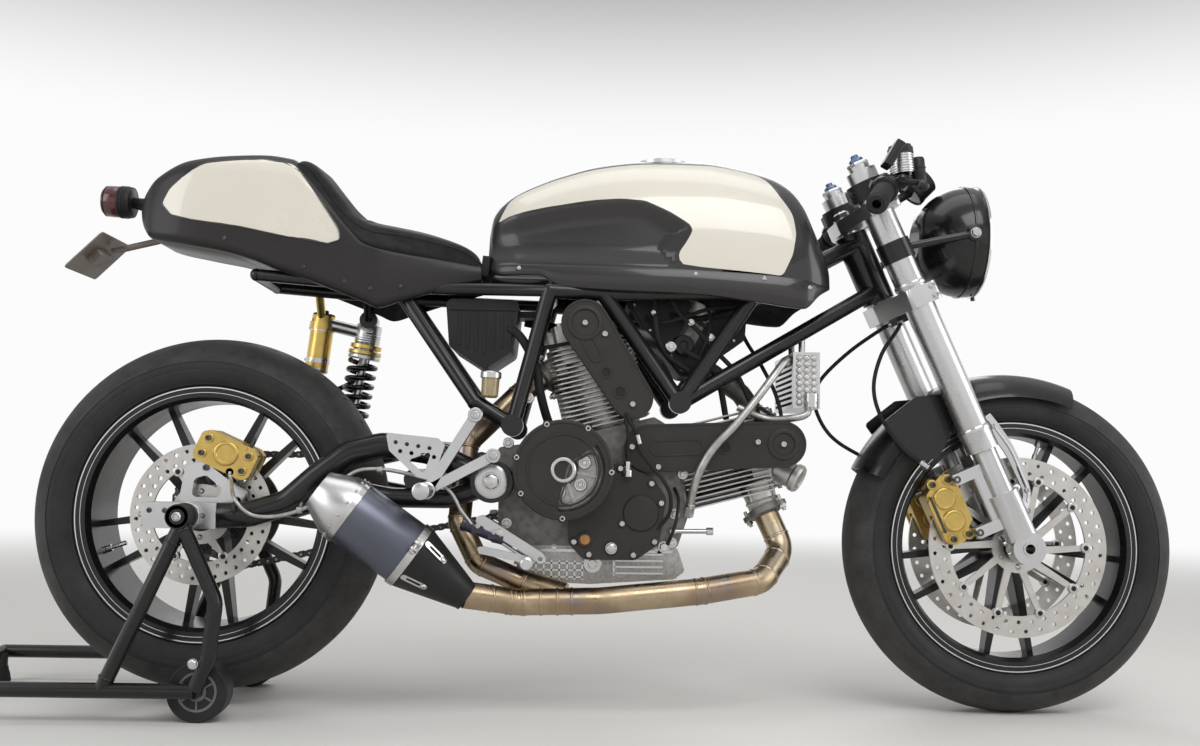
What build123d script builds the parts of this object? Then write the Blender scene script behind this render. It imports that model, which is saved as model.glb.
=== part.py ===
from build123d import *
import os
from math import cos, radians, sin

# Cafe racer motorcycle held upright on a paddock stand. Millimetres.
# +X runs forward, +Y to the rider's left, +Z up, and the floor is z = 0.

# Running gear
wheelbase = 1445.0
front_axle_x = 808.0
front_tyre_radius = 300.0
rear_tyre_radius = 315.0
rear_lift = 22.0
rake_deg = 23.6
fork_offset = 33.0
fork_spacing = 210.0
running_gap = 0.3
moving_gap = 5.0

# Wheels
rim_seat_radius = 216.0
rim_well_depth = 17.0
front_tyre_width = 120.0
rear_tyre_width = 178.0
front_rim_width = 98.0
rear_rim_width = 152.0
lip_height = 9.0
lip_thickness = 5.0
spoke_count = 10
spoke_width = 13.0
spoke_spread_deg = 6.5
front_hub_radius = 38.0
rear_hub_radius = 50.0

# Brakes
front_disc_radius = 160.0
rear_disc_radius = 122.5
front_disc_inner = 122.0
rear_disc_inner = 84.0
disc_thickness = 5.0
disc_hole_radius = 3.6
disc_holes = 36
bobbin_radius = 8.5
bobbin_proud = 1.5
caliper_half = 27.0
caliper_cap_radius = 19.0

# Chain
sprocket_radius = 94.0
sprocket_thickness = 8.0
drive_sprocket_radius = 36.0
chain_width = 17.0
chain_height = 16.0
chain_tyre_gap = 6.5

# Axles
front_axle_radius = 12.5
front_axle_bore = 8.5
rear_axle_radius = 12.5
rear_axle_bore = 7.5
axle_nut_radius = 22.0

# Fork, measured up from the front axle
outer_tube_radius = 27.0
inner_tube_radius = 21.5
inner_tube_end = 82.0
outer_tube_end = 202.0
lower_clamp_at = 480.0
upper_clamp_at = 655.0
clip_on_at = 690.0
fork_top = 728.0
lower_clamp_height = 34.0
upper_clamp_height = 24.0
head_tube_radius = 30.0
stem_radius = 14.0
stay_radius = 4.0
fender_gap = 11.0

# Bars and lamp, measured up the fork, forward of it and to the side
bar_end_up = 637.6
bar_end_back = 70.7
bar_end_side = 330.0
bar_radius = 11.0
bar_bore = 7.0
grip_radius = 16.5
lamp_up = 537.8
lamp_ahead = 172.7
lamp_radius = 103.0
lamp_wall = 6.0

# Frame, with its joints in the side view as x and z
frame_tube_radius = 14.0
rail_tube_radius = 11.0
frame_half = 105.0
rail_half = 76.0
weld_proud = 0.6
frame_nose = (330.0, 746.0)
frame_knee = (58.0, 737.0)
frame_waist = (-36.0, 740.0)
frame_heel = (-97.0, 500.0)
frame_foot = (-163.0, 540.0)
rail_front = (-308.0, 744.0)
rail_end = (-560.0, 762.0)

# Engine
crank_x = 98.0
crank_z = 403.0
bank_deg = 14.45
case_half = 90.0
barrel_radius = 62.0
barrel_start = 100.0
barrel_end = 232.0
head_end = 300.0
head_half = 59.0
fin_half = 78.0
fin_thickness = 2.6
fin_pitch = 8.6
clutch_z = 424.0
clutch_radius = 84.0
clutch_depth = 104.0
clutch_wall = 9.0
cover_depth = 52.0
header_radius = 22.5
rear_header_radius = 20.0

# Belt cover rows, from the crank: drive end x and z, radius, cam end x and z, radius
belt_rows = [
    ((44, 61), 42, (278, 72), 40),
    ((14, 147), 36, (-71, 278), 42),
]
belt_gap = 8.0
belt_depth = 30.0

# Rear end
pivot_x = -128.0
pivot_z = 402.0
knuckle_radius = 36.0
pivot_gap = 2.0
arm_tube_radius = 22.0
lower_arm_radius = 17.0
drive_sprocket_x = -52.0
spring_radius = 25.0
spring_wire = 5.0
spring_turns = 6.5
shock_eye_radius = 15.0
shock_eye_half = 15.0
muffler_radius = 55.0
rearset_gap = 18.0

# Swingarm bends: share of the way from the pivot to the axle blocks, rise above that line
arm_bends = [(0.235, 65.3), (0.402, 86.1), (0.529, 80.4), (0.652, 44.4), (0.756, 7.1), (0.888, -4.3)]
brace_bends = [(0.155, -19.9), (0.371, -5.9), (0.674, 37.8)]

# Stand, measured back from the rear axle
stand_tube_radius = 12.5
stand_reach = 471.0
stand_base = 54.0
roller_radius = 50.0
roller_width = 36.0
roller_ahead = 36.0
roller_bore = 9.0

# Derived places
rear_axle_x = front_axle_x - wheelbase
rear_axle_z = rear_tyre_radius + rear_lift
fork_half = fork_spacing / 2
front_disc_y = fork_half - 41
chain_y = rear_tyre_width / 2 + chain_tyre_gap + chain_width / 2
arm_y = chain_y + chain_width / 2 + 1.5 + arm_tube_radius
rear_disc_y = arm_y - arm_tube_radius - 29
rear_axle_half = arm_y + 36
rearset_y = arm_y + arm_tube_radius + rearset_gap
stand_y = rear_axle_half + 30
roller_y = stand_y - 34
muffler_y = arm_y + arm_tube_radius + muffler_radius + 1
clutch_x = pivot_x + knuckle_radius + pivot_gap + clutch_radius
rim_well_radius = rim_seat_radius - rim_well_depth
rake = radians(rake_deg)
fork_up = Vector(-sin(rake), 0, cos(rake))
fork_forward = Vector(cos(rake), 0, sin(rake))
front_axle = Vector(front_axle_x, 0, front_tyre_radius)
rear_axle = Vector(rear_axle_x, 0, rear_axle_z)
head_low = lower_clamp_at + lower_clamp_height / 2 + moving_gap
head_high = upper_clamp_at - upper_clamp_height / 2 - moving_gap

nodes = {}


def keep(name, *shapes):
    """Joins the given shapes into one named node."""
    parts = list(shapes)
    nodes[name] = parts[0] if len(parts) == 1 else Part() + parts


def rod(start, end, radius):
    start, end = Vector(*start), Vector(*end)
    run = end - start
    return Solid.make_cylinder(radius, run.length, Plane(origin=start, z_dir=run))


def tube(points, radius, bend):
    path = FilletPolyline(*points, radius=bend)
    return sweep(Plane(origin=path @ 0, z_dir=path % 0) * Circle(radius), path)


def drum(x, z, radius, y_start, y_end):
    """A cylinder across the motorcycle."""
    low, high = sorted((y_start, y_end))
    return Solid.make_cylinder(radius, high - low, Plane(origin=(x, low, z), z_dir=(0, 1, 0)))


def ring(x, z, outer, inner, y_start, y_end):
    low, high = sorted((y_start, y_end))
    return drum(x, z, outer, low, high) - drum(x, z, inner, low - 1, high + 1)


def side_plane(y):
    """Local x is +X, local y is +Z, and extrusions run towards -Y."""
    return Plane(origin=(0, y, 0), x_dir=(1, 0, 0), z_dir=(0, -1, 0))


def slab(points, y_start, y_end, corner):
    """A flat plate in the side view, with rounded corners."""
    low, high = sorted((y_start, y_end))
    outline = FilletPolyline(*points, radius=corner, close=True)
    return extrude(side_plane(high) * make_face(outline), high - low)


def block(x_range, y_range, z_range):
    size = [high - low for low, high in (x_range, y_range, z_range)]
    middle = [(high + low) / 2 for low, high in (x_range, y_range, z_range)]
    return Pos(*middle) * Box(*size)


def belt_face(first, first_radius, second, second_radius):
    """Two circles in the side view and the straight runs that wrap them."""
    circles = Pos(*first) * Circle(first_radius), Pos(*second) * Circle(second_radius)
    return make_hull(circles[0].edges() + circles[1].edges())


def mirrored(shape):
    return [shape, mirror(shape, about=Plane.XZ)]


def shifted(x, z, points):
    """Moves side-view points, given from a centre, to their place."""
    return [(x + across, z + up) for across, up in points]


def from_crank(*points):
    return shifted(crank_x, crank_z, points)


def crank_points(*points):
    return [(crank_x + x, y, crank_z + z) for x, y, z in points]


def from_pivot(*points):
    return shifted(pivot_x, pivot_z, points)


def on_fork(along, forward=0.0, side=0.0):
    """A point measured up the fork from the axle, forward of it, and to the side."""
    return front_axle + fork_up * along + fork_forward * forward + Vector(0, side, 0)


def on_steering_axis(along):
    return on_fork(along, -fork_offset)


def fork_plane(along, side=0.0, forward=0.0):
    return Plane(origin=on_fork(along, forward, side), x_dir=fork_forward, z_dir=fork_up)


def bank_plane(front):
    """Origin on the crank, local z out along the cylinder, local x across it in the side view."""
    angle = radians(bank_deg if front else bank_deg + 90)
    out = Vector(cos(angle), 0, sin(angle))
    across = Vector(-sin(angle), 0, cos(angle))
    return Plane(origin=(crank_x, 0, crank_z), x_dir=across, z_dir=out)


def around(centre, radius, angle_deg):
    """A side-view point at a radius and angle about a centre."""
    angle = radians(angle_deg)
    return centre[0] + radius * cos(angle), centre[1] + radius * sin(angle)


def revolved(points, axle):
    """Turns an outline of (y, radius) points about the axle line."""
    plane = Plane(origin=axle, x_dir=(0, 1, 0), z_dir=(1, 0, 0))
    return revolve(plane * make_face(Polyline(*points, close=True)), Axis(axle, (0, 1, 0)))


# Wheels

def tyre(axle, radius, width, rim_width):
    half = width / 2
    bead = rim_width / 2 - lip_thickness
    lip = rim_seat_radius + lip_height
    shoulder = rim_seat_radius + 0.52 * (radius - rim_seat_radius)
    bulge = ((half + bead) / 2 + 5, lip + 0.35 * (shoulder - lip))
    plane = Plane(origin=axle, x_dir=(0, 1, 0), z_dir=(1, 0, 0))
    crown = ThreePointArc((-half, shoulder), (0, radius), (half, shoulder))
    left = ThreePointArc((half, shoulder), bulge, (bead, lip))
    base = Polyline((bead, lip), (bead, rim_seat_radius), (-bead, rim_seat_radius), (-bead, lip))
    right = ThreePointArc((-bead, lip), (-bulge[0], bulge[1]), (-half, shoulder))
    return revolve(plane * make_face([crown, left, base, right]), Axis(axle, (0, 1, 0)))


def rim(axle, width, hub_radius, hub_from, hub_to, bore):
    """A rim with pairs of tapered spokes on a hub."""
    half = width / 2
    lip = rim_seat_radius + lip_height
    bead = half - lip_thickness
    well = rim_well_radius
    step = 6
    slope = 14
    barrel = revolved(
        [(-half, lip), (-half, well + step), (-half + slope, well), (half - slope, well), (half, well + step),
         (half, lip), (bead, lip), (bead, rim_seat_radius), (-bead, rim_seat_radius), (-bead, lip)], axle)
    centre = (axle.X, axle.Z)
    hub = ring(*centre, hub_radius, bore, hub_from, hub_to)
    spokes = []
    for index in range(spoke_count):
        lean = spoke_spread_deg if index % 2 else -spoke_spread_deg
        angle = 360 * index / spoke_count
        inner = around(centre, hub_radius - 4, angle)
        outer = around(centre, well + 2, angle + lean)
        low = Vector(inner[0], 0, inner[1])
        high = Vector(outer[0], 0, outer[1])
        plane = Plane(origin=low, x_dir=(0, 1, 0), z_dir=high - low)
        foot = plane * Rectangle(46, spoke_width + 5)
        tip = plane.offset((high - low).length) * Rectangle(26, spoke_width - 2)
        spokes.append(loft([foot, tip]))
    return Part() + [barrel, hub] + spokes


def disc(axle, y, radius, inner, bobbins, hub_radius, hub_bore):
    """A drilled rotor held to a spoked carrier by round bobbins."""
    low, high = y - disc_thickness / 2, y + disc_thickness / 2
    centre = (axle.X, axle.Z)
    rotor = ring(*centre, radius, inner, low, high)
    band = radius - inner
    holes = []
    for share, turn in ((0.28, 0.0), (0.72, 0.5)):
        for index in range(disc_holes):
            spot = around(centre, inner + band * share, 360 * (index + turn) / disc_holes)
            holes.append(drum(*spot, disc_hole_radius, low - 1, high + 1))
    rotor -= holes
    carrier = [ring(*centre, hub_radius, hub_bore, low, high)]
    for index in range(bobbins):
        angle = 360 * index / bobbins
        carrier.append(drum(*around(centre, inner, angle), bobbin_radius, low - bobbin_proud,
                            high + bobbin_proud))
        corners = [around(centre, hub_radius - 3, angle - 16), around(centre, inner - 2, angle - 2.4),
                   around(centre, inner - 2, angle + 2.4), around(centre, hub_radius - 3, angle + 2)]
        carrier.append(slab(corners, low + 0.5, high - 0.5, 1.5))
    return Part() + [rotor] + carrier


def sprocket():
    centre = (rear_axle.X, rear_axle.Z)
    half = sprocket_thickness / 2
    bore = 30
    plate = ring(*centre, sprocket_radius, bore, chain_y - half, chain_y + half)
    for index in range(6):
        hole = around(centre, 68, 60 * index)
        plate -= drum(*hole, 14, chain_y - half - 1, chain_y + half + 1)
    carrier = ring(*centre, 44, bore, chain_y - 12, chain_y - half)
    keep("rear_sprocket", plate, carrier)


def wheels():
    keep("front_tyre", tyre(front_axle, front_tyre_radius, front_tyre_width, front_rim_width))
    keep("rear_tyre", tyre(rear_axle, rear_tyre_radius, rear_tyre_width, rear_rim_width))
    front_hub = front_disc_y - disc_thickness / 2
    rear_hub = rear_disc_y - disc_thickness / 2
    keep("front_rim", rim(front_axle, front_rim_width, front_hub_radius, -front_hub, front_hub,
                          front_axle_radius + running_gap))
    keep("rear_rim", rim(rear_axle, rear_rim_width, rear_hub_radius, -rear_hub, chain_y - 12,
                         rear_axle_radius + running_gap))
    front_discs = [disc(front_axle, side * front_disc_y, front_disc_radius, front_disc_inner, 10,
                        front_hub_radius + 8, 26) for side in (-1, 1)]
    keep("front_discs", *front_discs)
    keep("rear_disc", disc(rear_axle, -rear_disc_y, rear_disc_radius, rear_disc_inner, 6,
                           rear_hub_radius + 2, 30))
    sprocket()


# Front end

def leg_rod(side, start, end, radius):
    """A cylinder on a fork leg's line, between two places up the fork."""
    return rod(on_fork(start, 0, side), on_fork(end, 0, side), radius)


def clamps():
    front_edge = outer_tube_radius + 8
    ear = outer_tube_radius + 7
    back_edge = 5 - outer_tube_radius
    back = -fork_offset - head_tube_radius + 4
    waist = head_tube_radius + 8
    plates = []
    for along, height in ((lower_clamp_at, lower_clamp_height), (upper_clamp_at, upper_clamp_height)):
        outline = FilletPolyline(
            (back, -waist), (back_edge, -fork_half - ear), (front_edge, -fork_half - ear),
            (front_edge, -fork_half + ear), (4, -waist), (4, waist), (front_edge, fork_half - ear),
            (front_edge, fork_half + ear), (back_edge, fork_half + ear), (back, waist), radius=9, close=True)
        plates.append(extrude(fork_plane(along - height / 2) * make_face(outline), height))
    stem = rod(on_steering_axis(lower_clamp_at), on_steering_axis(upper_clamp_at + 18), stem_radius)
    yokes = Part() + plates + [stem]
    for side in (-fork_half, fork_half):
        yokes -= leg_rod(side, lower_clamp_at - 80, fork_top + 30, outer_tube_radius)
    keep("fork_clamps", yokes)


def slider(side):
    """One leg's inner tube and the casting that holds the axle and the caliper."""
    axle = (front_axle.X, front_axle.Z)
    inner = leg_rod(side, inner_tube_end, outer_tube_end + 150, inner_tube_radius)
    wide = 2 * inner_tube_radius
    casting = loft([fork_plane(20, side) * RectangleRounded(wide + 9, wide - 5, 14),
                    fork_plane(inner_tube_end + 24, side) * RectangleRounded(wide + 11, wide + 7, 20)])
    boss = drum(*axle, 29, side - 19, side + 19)
    caliper_up, caliper_ahead = caliper_place()
    lug = Pos(caliper_ahead + 48, 0) * RectangleRounded(56, 20, 6)
    arms = [extrude(fork_plane(caliper_up + step, side) * lug, 20) for step in (-64, 36)]
    web = extrude(fork_plane(caliper_up - 64, side) * Pos(-26, 0) * RectangleRounded(24, 14, 5), 120)
    lower = Part() + [casting, boss, web] + arms
    lower -= drum(*axle, front_axle_radius, side - 40, side + 40)
    lower -= leg_rod(side, inner_tube_end, inner_tube_end + 60, inner_tube_radius)
    return [inner, lower]


def fork():
    tubes = []
    sliders = []
    for side in (-fork_half, fork_half):
        outer = leg_rod(side, outer_tube_end, fork_top, outer_tube_radius)
        cap = leg_rod(side, fork_top, fork_top + 10, outer_tube_radius - 8)
        seal = leg_rod(side, outer_tube_end - 14, outer_tube_end, outer_tube_radius + 2)
        bore = leg_rod(side, outer_tube_end - 15, outer_tube_end + 160, inner_tube_radius)
        tubes.append(outer + cap + seal - bore)
        sliders += slider(side)
    keep("fork_tubes", *tubes)
    keep("fork_sliders", *sliders)
    axle_half = fork_half + 21
    keep("front_axle", ring(front_axle.X, front_axle.Z, front_axle_radius, front_axle_bore,
                            -axle_half, axle_half))


def caliper_place():
    """How far up the fork and forward of it the front caliper's middle lies."""
    reach = front_disc_radius - 15
    angle = radians(39.4)
    return reach * cos(angle), -reach * sin(angle)


def front_brakes():
    axle = (front_axle.X, front_axle.Z)
    up, ahead = caliper_place()
    slot_half = disc_thickness / 2 + bobbin_proud + moving_gap
    calipers = []
    for side in (-1, 1):
        y = side * front_disc_y
        place = Plane(origin=on_fork(up, ahead, y), x_dir=fork_forward, z_dir=(0, -1, 0))
        body = extrude(place.offset(-caliper_half) * RectangleRounded(60, 122, 18), 2 * caliper_half)
        for along in (-21, 21):
            body += extrude(place.offset(-caliper_half - 4) * Pos(-2, along) * Circle(caliper_cap_radius),
                            2 * caliper_half + 8)
        slot = drum(*axle, front_disc_radius + moving_gap, y - slot_half, y + slot_half)
        reach = drum(*axle, rim_well_radius - moving_gap - 1, y - 40, y + 40)
        solid = (body & reach) - slot - drum(*axle, front_disc_radius - 58, y - 40, y + 40)
        for step in (-54, 46):
            spot = on_fork(up + step, ahead + 26)
            solid += drum(spot.X, spot.Z, 8, y + side * (caliper_half - 8), side * (fork_half - 10))
        calipers.append(solid)
    keep("front_calipers", *calipers)


def front_fender():
    inner = front_tyre_radius + fender_gap
    half = front_tyre_width / 2 + fender_gap
    wall = 3
    drop = 42
    plane = Plane(origin=front_axle, x_dir=(0, 1, 0), z_dir=(1, 0, 0))
    outer_arc = ThreePointArc((-half, inner - drop), (0, inner + wall), (half, inner - drop))
    inner_arc = ThreePointArc((half - wall, inner - drop), (0, inner), (wall - half, inner - drop))
    ends = [Line((half, inner - drop), (half - wall, inner - drop)),
            Line((wall - half, inner - drop), (-half, inner - drop))]
    profile = plane * make_face([outer_arc, ends[0], inner_arc, ends[1]])
    axis = Axis(front_axle, (0, 1, 0))
    shell = revolve(profile.rotate(axis, 22), axis, -86)
    flank_points = shifted(front_axle.X, front_axle.Z, [(-242, 220), (-184, 266), (-108, 274), (-118, 200),
                                                        (-144, 156), (-188, 148)])
    flank = slab(flank_points, half - wall - 1, half, 8)
    stay_y = front_disc_y + disc_thickness / 2 + bobbin_proud + moving_gap + stay_radius
    stay = tube([on_fork(222, 40, half - 2), on_fork(165, 52, stay_y), on_fork(84, 50, stay_y + 4),
                 on_fork(56, 16, fork_half - 18)], stay_radius, 12)
    keep("front_fender", Part() + [shell] + mirrored(flank) + mirrored(stay) - nodes["fork_sliders"])


def lamp():
    centre = on_fork(lamp_up, lamp_ahead)
    plane = Plane(origin=centre, x_dir=(0, 1, 0), z_dir=(-1, 0, 0))
    # Depth behind the rim and share of the lamp's radius
    bowl = [(0, 0.98), (22, 1.0), (60, 0.893), (92, 0.641), (108, 0.33)]
    shell = loft([plane.offset(depth) * Circle(share * lamp_radius) for depth, share in bowl])
    hollow = bowl[:4]
    cavity = loft([plane.offset(depth) * Circle(share * lamp_radius - lamp_wall) for depth, share in hollow])
    arms = []
    for side in (-1, 1):
        y = side * fork_half
        start = on_fork(570, outer_tube_radius + 2, y)
        end = centre + Vector(-27, side * (lamp_radius - 5), -2)
        arms.append(rod(start, end, 7))
        arms.append(leg_rod(y, 552, 588, outer_tube_radius + 3) - leg_rod(y, 540, 600, outer_tube_radius))
    keep("headlight", shell - cavity, *arms)
    seat = 0.98 * lamp_radius - lamp_wall
    keep("headlight_lens", loft([plane.offset(0.5) * Circle(seat), plane.offset(-12) * Circle(0.63 * seat)]))


def bars():
    inner_end = on_fork(clip_on_at, outer_tube_radius + bar_radius, fork_half + 4)
    outer_end = on_fork(bar_end_up, -bar_end_back, bar_end_side)
    run = outer_end - inner_end
    clamp = leg_rod(fork_half, clip_on_at - 16, clip_on_at + 16, outer_tube_radius + 9)
    bar = rod(inner_end, outer_end, bar_radius)
    grip = rod(inner_end + run * 0.46, outer_end, grip_radius)
    switch = rod(inner_end + run * 0.24, inner_end + run * 0.42, grip_radius + 6.5)
    grabs = clamp + bar + grip + switch
    grabs -= leg_rod(fork_half, clip_on_at - 90, fork_top + 30, outer_tube_radius)
    grabs -= rod(outer_end - run * 0.16, outer_end + run, bar_bore)
    keep("handlebars", *mirrored(grabs))
    perch = inner_end + run * 0.12
    cylinder_out = perch + Vector(26, 6, 10)
    body = rod(cylinder_out - run * 0.10, cylinder_out + run * 0.22, 11)
    link = rod(perch, cylinder_out, 9)
    pot = rod(cylinder_out + Vector(0, 0, 8), cylinder_out + Vector(-6, 0, 58), 20)
    lever_start = cylinder_out + run * 0.2
    lever_end = lever_start + Vector(-10, 165, -46)
    lever_bends = [lever_start + Vector(30, 18, -4), lever_start + Vector(16, 90, -28)]
    lever = tube([lever_start, *lever_bends, lever_end], 6, 14)
    ball = Pos(*lever_end) * Sphere(8)
    keep("hand_controls", *mirrored(body + link + pot + lever + ball - grabs - nodes["fork_clamps"]))
    dial = rod(on_fork(672.6, 104), on_fork(686, 138.2), 32)
    foot = rod(on_fork(670.2, 109.4), on_fork(upper_clamp_at, -4), 8)
    keep("instrument", dial + foot - nodes["fork_clamps"])


def hoses():
    """A splitter under the lower clamp and a hose to each caliper."""
    splitter_height = 14
    underside = lower_clamp_at - lower_clamp_height / 2
    splitter = on_fork(underside - splitter_height / 2, -12)
    union = extrude(fork_plane(underside - splitter_height, 0, -12) * Rectangle(22, 60), splitter_height)
    right = [(splitter.X, -20, splitter.Z), (600, -40, 690), (562, -72, 640), (546, -80, 580),
             (560, -82, 525), (598, -84, 472), (640, -88, 440)]
    left = [(splitter.X, 20, splitter.Z), (590, 30, 700), (530, 52, 655), (478, 62, 600),
            (470, 66, 555), (500, 74, 500), (560, 82, 462), (636, 88, 436)]
    keep("brake_hoses", union, *[tube(path, 3.6, 26) for path in (right, left)])


# Frame

def side_point(spot, half):
    return (spot[0], half, spot[1])


def frame_node():
    """Where the frame's lower tubes meet over the crankcase."""
    return crank_x + 98, crank_z + 142


def lower_tube_at(x):
    """Side and height of the lower frame tube's middle line at a place along it."""
    low_head = on_steering_axis(head_low + 22)
    node = frame_node()
    share = (low_head.X - x) / (low_head.X - node[0])
    return 16 + share * (frame_half - 16), low_head.Z + share * (node[1] - low_head.Z)


def trellis():
    low_head = on_steering_axis(head_low + 22)
    top_head = on_steering_axis(head_high - 22)
    r = frame_tube_radius
    y = frame_half
    node = side_point(frame_node(), y)
    nose = side_point(frame_nose, y)
    knee = side_point(frame_knee, y)
    waist = side_point(frame_waist, y)
    heel = side_point(frame_heel, y)
    foot = side_point(frame_foot, y)
    tail = side_point(rail_front, rail_half)
    end = side_point(rail_end, rail_half)
    runs = [
        ((low_head.X, 16, low_head.Z), node, r),
        ((top_head.X, 16, top_head.Z), nose, r),
        (nose, knee, r),
        (knee, waist, r),
        (waist, tail, rail_tube_radius),
        (tail, end, rail_tube_radius),
        (node, knee, r),
        (node, nose, r),
        (waist, heel, r),
        (tail, foot, r),
        (foot, heel, r),
    ]
    side = Part() + [rod(first, last, radius) for first, last, radius in runs]
    side += [Pos(*last) * Sphere(radius + weld_proud) for first, last, radius in runs[1:]]
    side += drum(heel[0], heel[2], r + 5, case_half, y + 18)
    side += drum(node[0], node[2], r + 5, y - 14, y + 18)
    head = rod(on_steering_axis(head_low), on_steering_axis(head_high), head_tube_radius)
    across = [rod((x, -y, z), (x, y, z), r) for x, z in (frame_nose, frame_knee, frame_waist)]
    for x, z in (rail_front, rail_end):
        across.append(rod((x, -rail_half, z), (x, rail_half, z), rail_tube_radius))
    top = shock_ends()[0]
    rail_z = frame_z(top.X)
    inner_face = top.Y - shock_eye_half
    across.append(rod((top.X, rail_half, rail_z), (top.X, inner_face - 8, top.Z), 9))
    across.append(drum(top.X, top.Z, shock_eye_radius + 2, inner_face - 14, inner_face))
    frame = Part() + mirrored(side) + across + [head]
    stem_room = stem_radius + running_gap + 2
    frame -= rod(on_steering_axis(head_low - 5), on_steering_axis(head_high + 5), stem_room)
    keep("trellis_frame", frame)


def frame_z(x):
    """Height of the seat rail's middle line at a place along it."""
    share = (x - rail_front[0]) / (rail_end[0] - rail_front[0])
    return rail_front[1] + share * (rail_end[1] - rail_front[1])


# Engine

def crankcase():
    front, rear = bank_plane(True), bank_plane(False)
    wide = barrel_radius + 20
    corners = [plane.from_local_coords((across, 0, barrel_start))
               for plane, across in ((rear, wide), (rear, -wide), (front, wide), (front, -wide))]
    back = from_crank((-216, -98), (-220, 59), (-170, 67))
    base = from_crank((98, -111), (-182, -111))
    case = slab(back + [(p.X, p.Z) for p in corners] + base, -case_half, case_half, 7)
    case -= drum(pivot_x, pivot_z, knuckle_radius, -case_half - 60, case_half + 60)
    recess = shifted(drive_sprocket_x, pivot_z, [(-88, -72), (-88, 74), (64, 74), (64, -72)])
    case -= slab(recess, case_half - 16, case_half + 30, 20)
    keep("engine_block", case)


def side_covers():
    right_outline = from_crank((-94, -103), (-98, 21), (-6, 35), (50, 9), (74, -23), (62, -103), (22, -131),
                               (-68, -131))
    right = slab(right_outline, -case_half - cover_depth, -case_half, 20)
    right -= drum(clutch_x, clutch_z, clutch_radius, -case_half - cover_depth - 1, -case_half + 1)
    keep("right_engine_cover", right)
    left = slab(from_crank((-82, -73), (-82, 67), (-38, 97), (67, 87), (82, -3), (52, -103), (-38, -111)),
                case_half, case_half + 44, 14)
    guard = slab(shifted(drive_sprocket_x, pivot_z, [(-32, -36), (-32, 40), (82, 60), (92, -52), (-8, -58)]),
                 chain_y + 14, chain_y + 26, 12)
    flywheel = drum(crank_x, crank_z, 74, case_half + 44, case_half + 60)
    keep("left_engine_cover", left, flywheel, guard)


def clutch():
    """A cup with an open window, and the pressure plate with its springs behind it."""
    outer = -case_half - clutch_depth
    centre = (clutch_x, clutch_z)
    inner = clutch_radius - clutch_wall
    housing = drum(*centre, clutch_radius, outer, -case_half)
    cavity = drum(*centre, inner, outer + 6, -case_half + 1)
    wedge_outline = shifted(*centre, [(8, 12), (60, 46), (90, -20), (20, -90), (-10, -66)])
    wedge = slab(wedge_outline, outer - 4, outer + 12, 4)
    window = wedge & drum(*centre, inner - 5, outer - 4, outer + 12)
    keep("clutch_cover", housing - cavity - window)
    plates = drum(*centre, inner - 5, outer + 26, -case_half)
    springs = [drum(*around(centre, 38, 60 * index + 20), 9, outer + 14, outer + 26) for index in range(6)]
    keep("clutch_pack", plates, drum(*centre, 16, outer + 12, outer + 26), *springs)


def cylinder(front, cam):
    """A finned barrel with its head, rocker covers and the housing that the cam turns in."""
    plane = bank_plane(front)
    fin_end = barrel_end + 30
    first = barrel_start + 8
    barrel = extrude(plane.offset(barrel_start) * Circle(barrel_radius), barrel_end - barrel_start)
    head = extrude(plane.offset(barrel_end) * RectangleRounded(2 * head_half, 2 * head_half + 2, 12),
                   head_end - barrel_end)
    cam_housing = drum(*cam, 34, -head_half - 3, head_half + 3)
    rockers = []
    for sign in (-1, 1):
        face = Plane(origin=plane.from_local_coords((sign * head_half, 0, head_end - 20)), x_dir=plane.z_dir,
                     z_dir=plane.x_dir * sign)
        rockers.append(extrude(face * RectangleRounded(38, 84, 12), 9))
    fins = []
    if front:
        for index in range(int(2 * fin_half / fin_pitch)):
            across = -fin_half + fin_pitch * (index + 0.5)
            fins.append(extrude(plane.offset(first) * Pos(across, 0) * Rectangle(fin_thickness, 2 * fin_half),
                                fin_end - first))
    else:
        for index in range(int((fin_end - barrel_start) / fin_pitch)):
            fins.append(extrude(plane.offset(first + fin_pitch * index)
                                * RectangleRounded(2 * fin_half, 2 * fin_half, 16), fin_thickness))
    return Part() + [barrel, head, cam_housing] + rockers + fins


def top_end():
    face = -case_half - belt_gap
    cams = []
    covers = []
    for start, start_radius, end, end_radius in belt_rows:
        drive, cam = from_crank(start, end)
        cams.append(cam)
        covers.append(extrude(side_plane(face) * belt_face(drive, start_radius, cam, end_radius), belt_depth))
        covers.append(drum(*drive, start_radius - 8, face - 1, -barrel_radius + 12))
        covers.append(drum(*cam, end_radius - 12, face - 1, -head_half))
    keep("front_cylinder", cylinder(True, cams[0]))
    keep("rear_cylinder", cylinder(False, cams[1]))
    solid = Part() + covers
    for name in ("front_cylinder", "rear_cylinder", "engine_block"):
        solid -= nodes[name]
    solid -= drum(clutch_x, clutch_z, clutch_radius + 2, -case_half - clutch_depth - 1, -case_half)
    keep("belt_covers", *solid.solids().sort_by(SortBy.VOLUME)[-2:])


def sump():
    pan = slab(from_crank((-182, -173), (-184, -111), (98, -111), (112, -153), (92, -167), (-54, -177)),
               2 - case_half, case_half - 2, 8)
    rib = 1.6
    ribs = []
    for index in range(19):
        x = crank_x - 174 + 15 * index
        ribs.append(block((x - rib, x + rib), (-case_half, case_half), (crank_z - 165, crank_z - 135)))
    for drop in (157, 143):
        level = crank_z - drop
        ribs.append(block((crank_x - 188, crank_x + 102), (-case_half, case_half),
                          (level - rib, level + rib)))
    keep("oil_sump", pan, *ribs)


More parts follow.
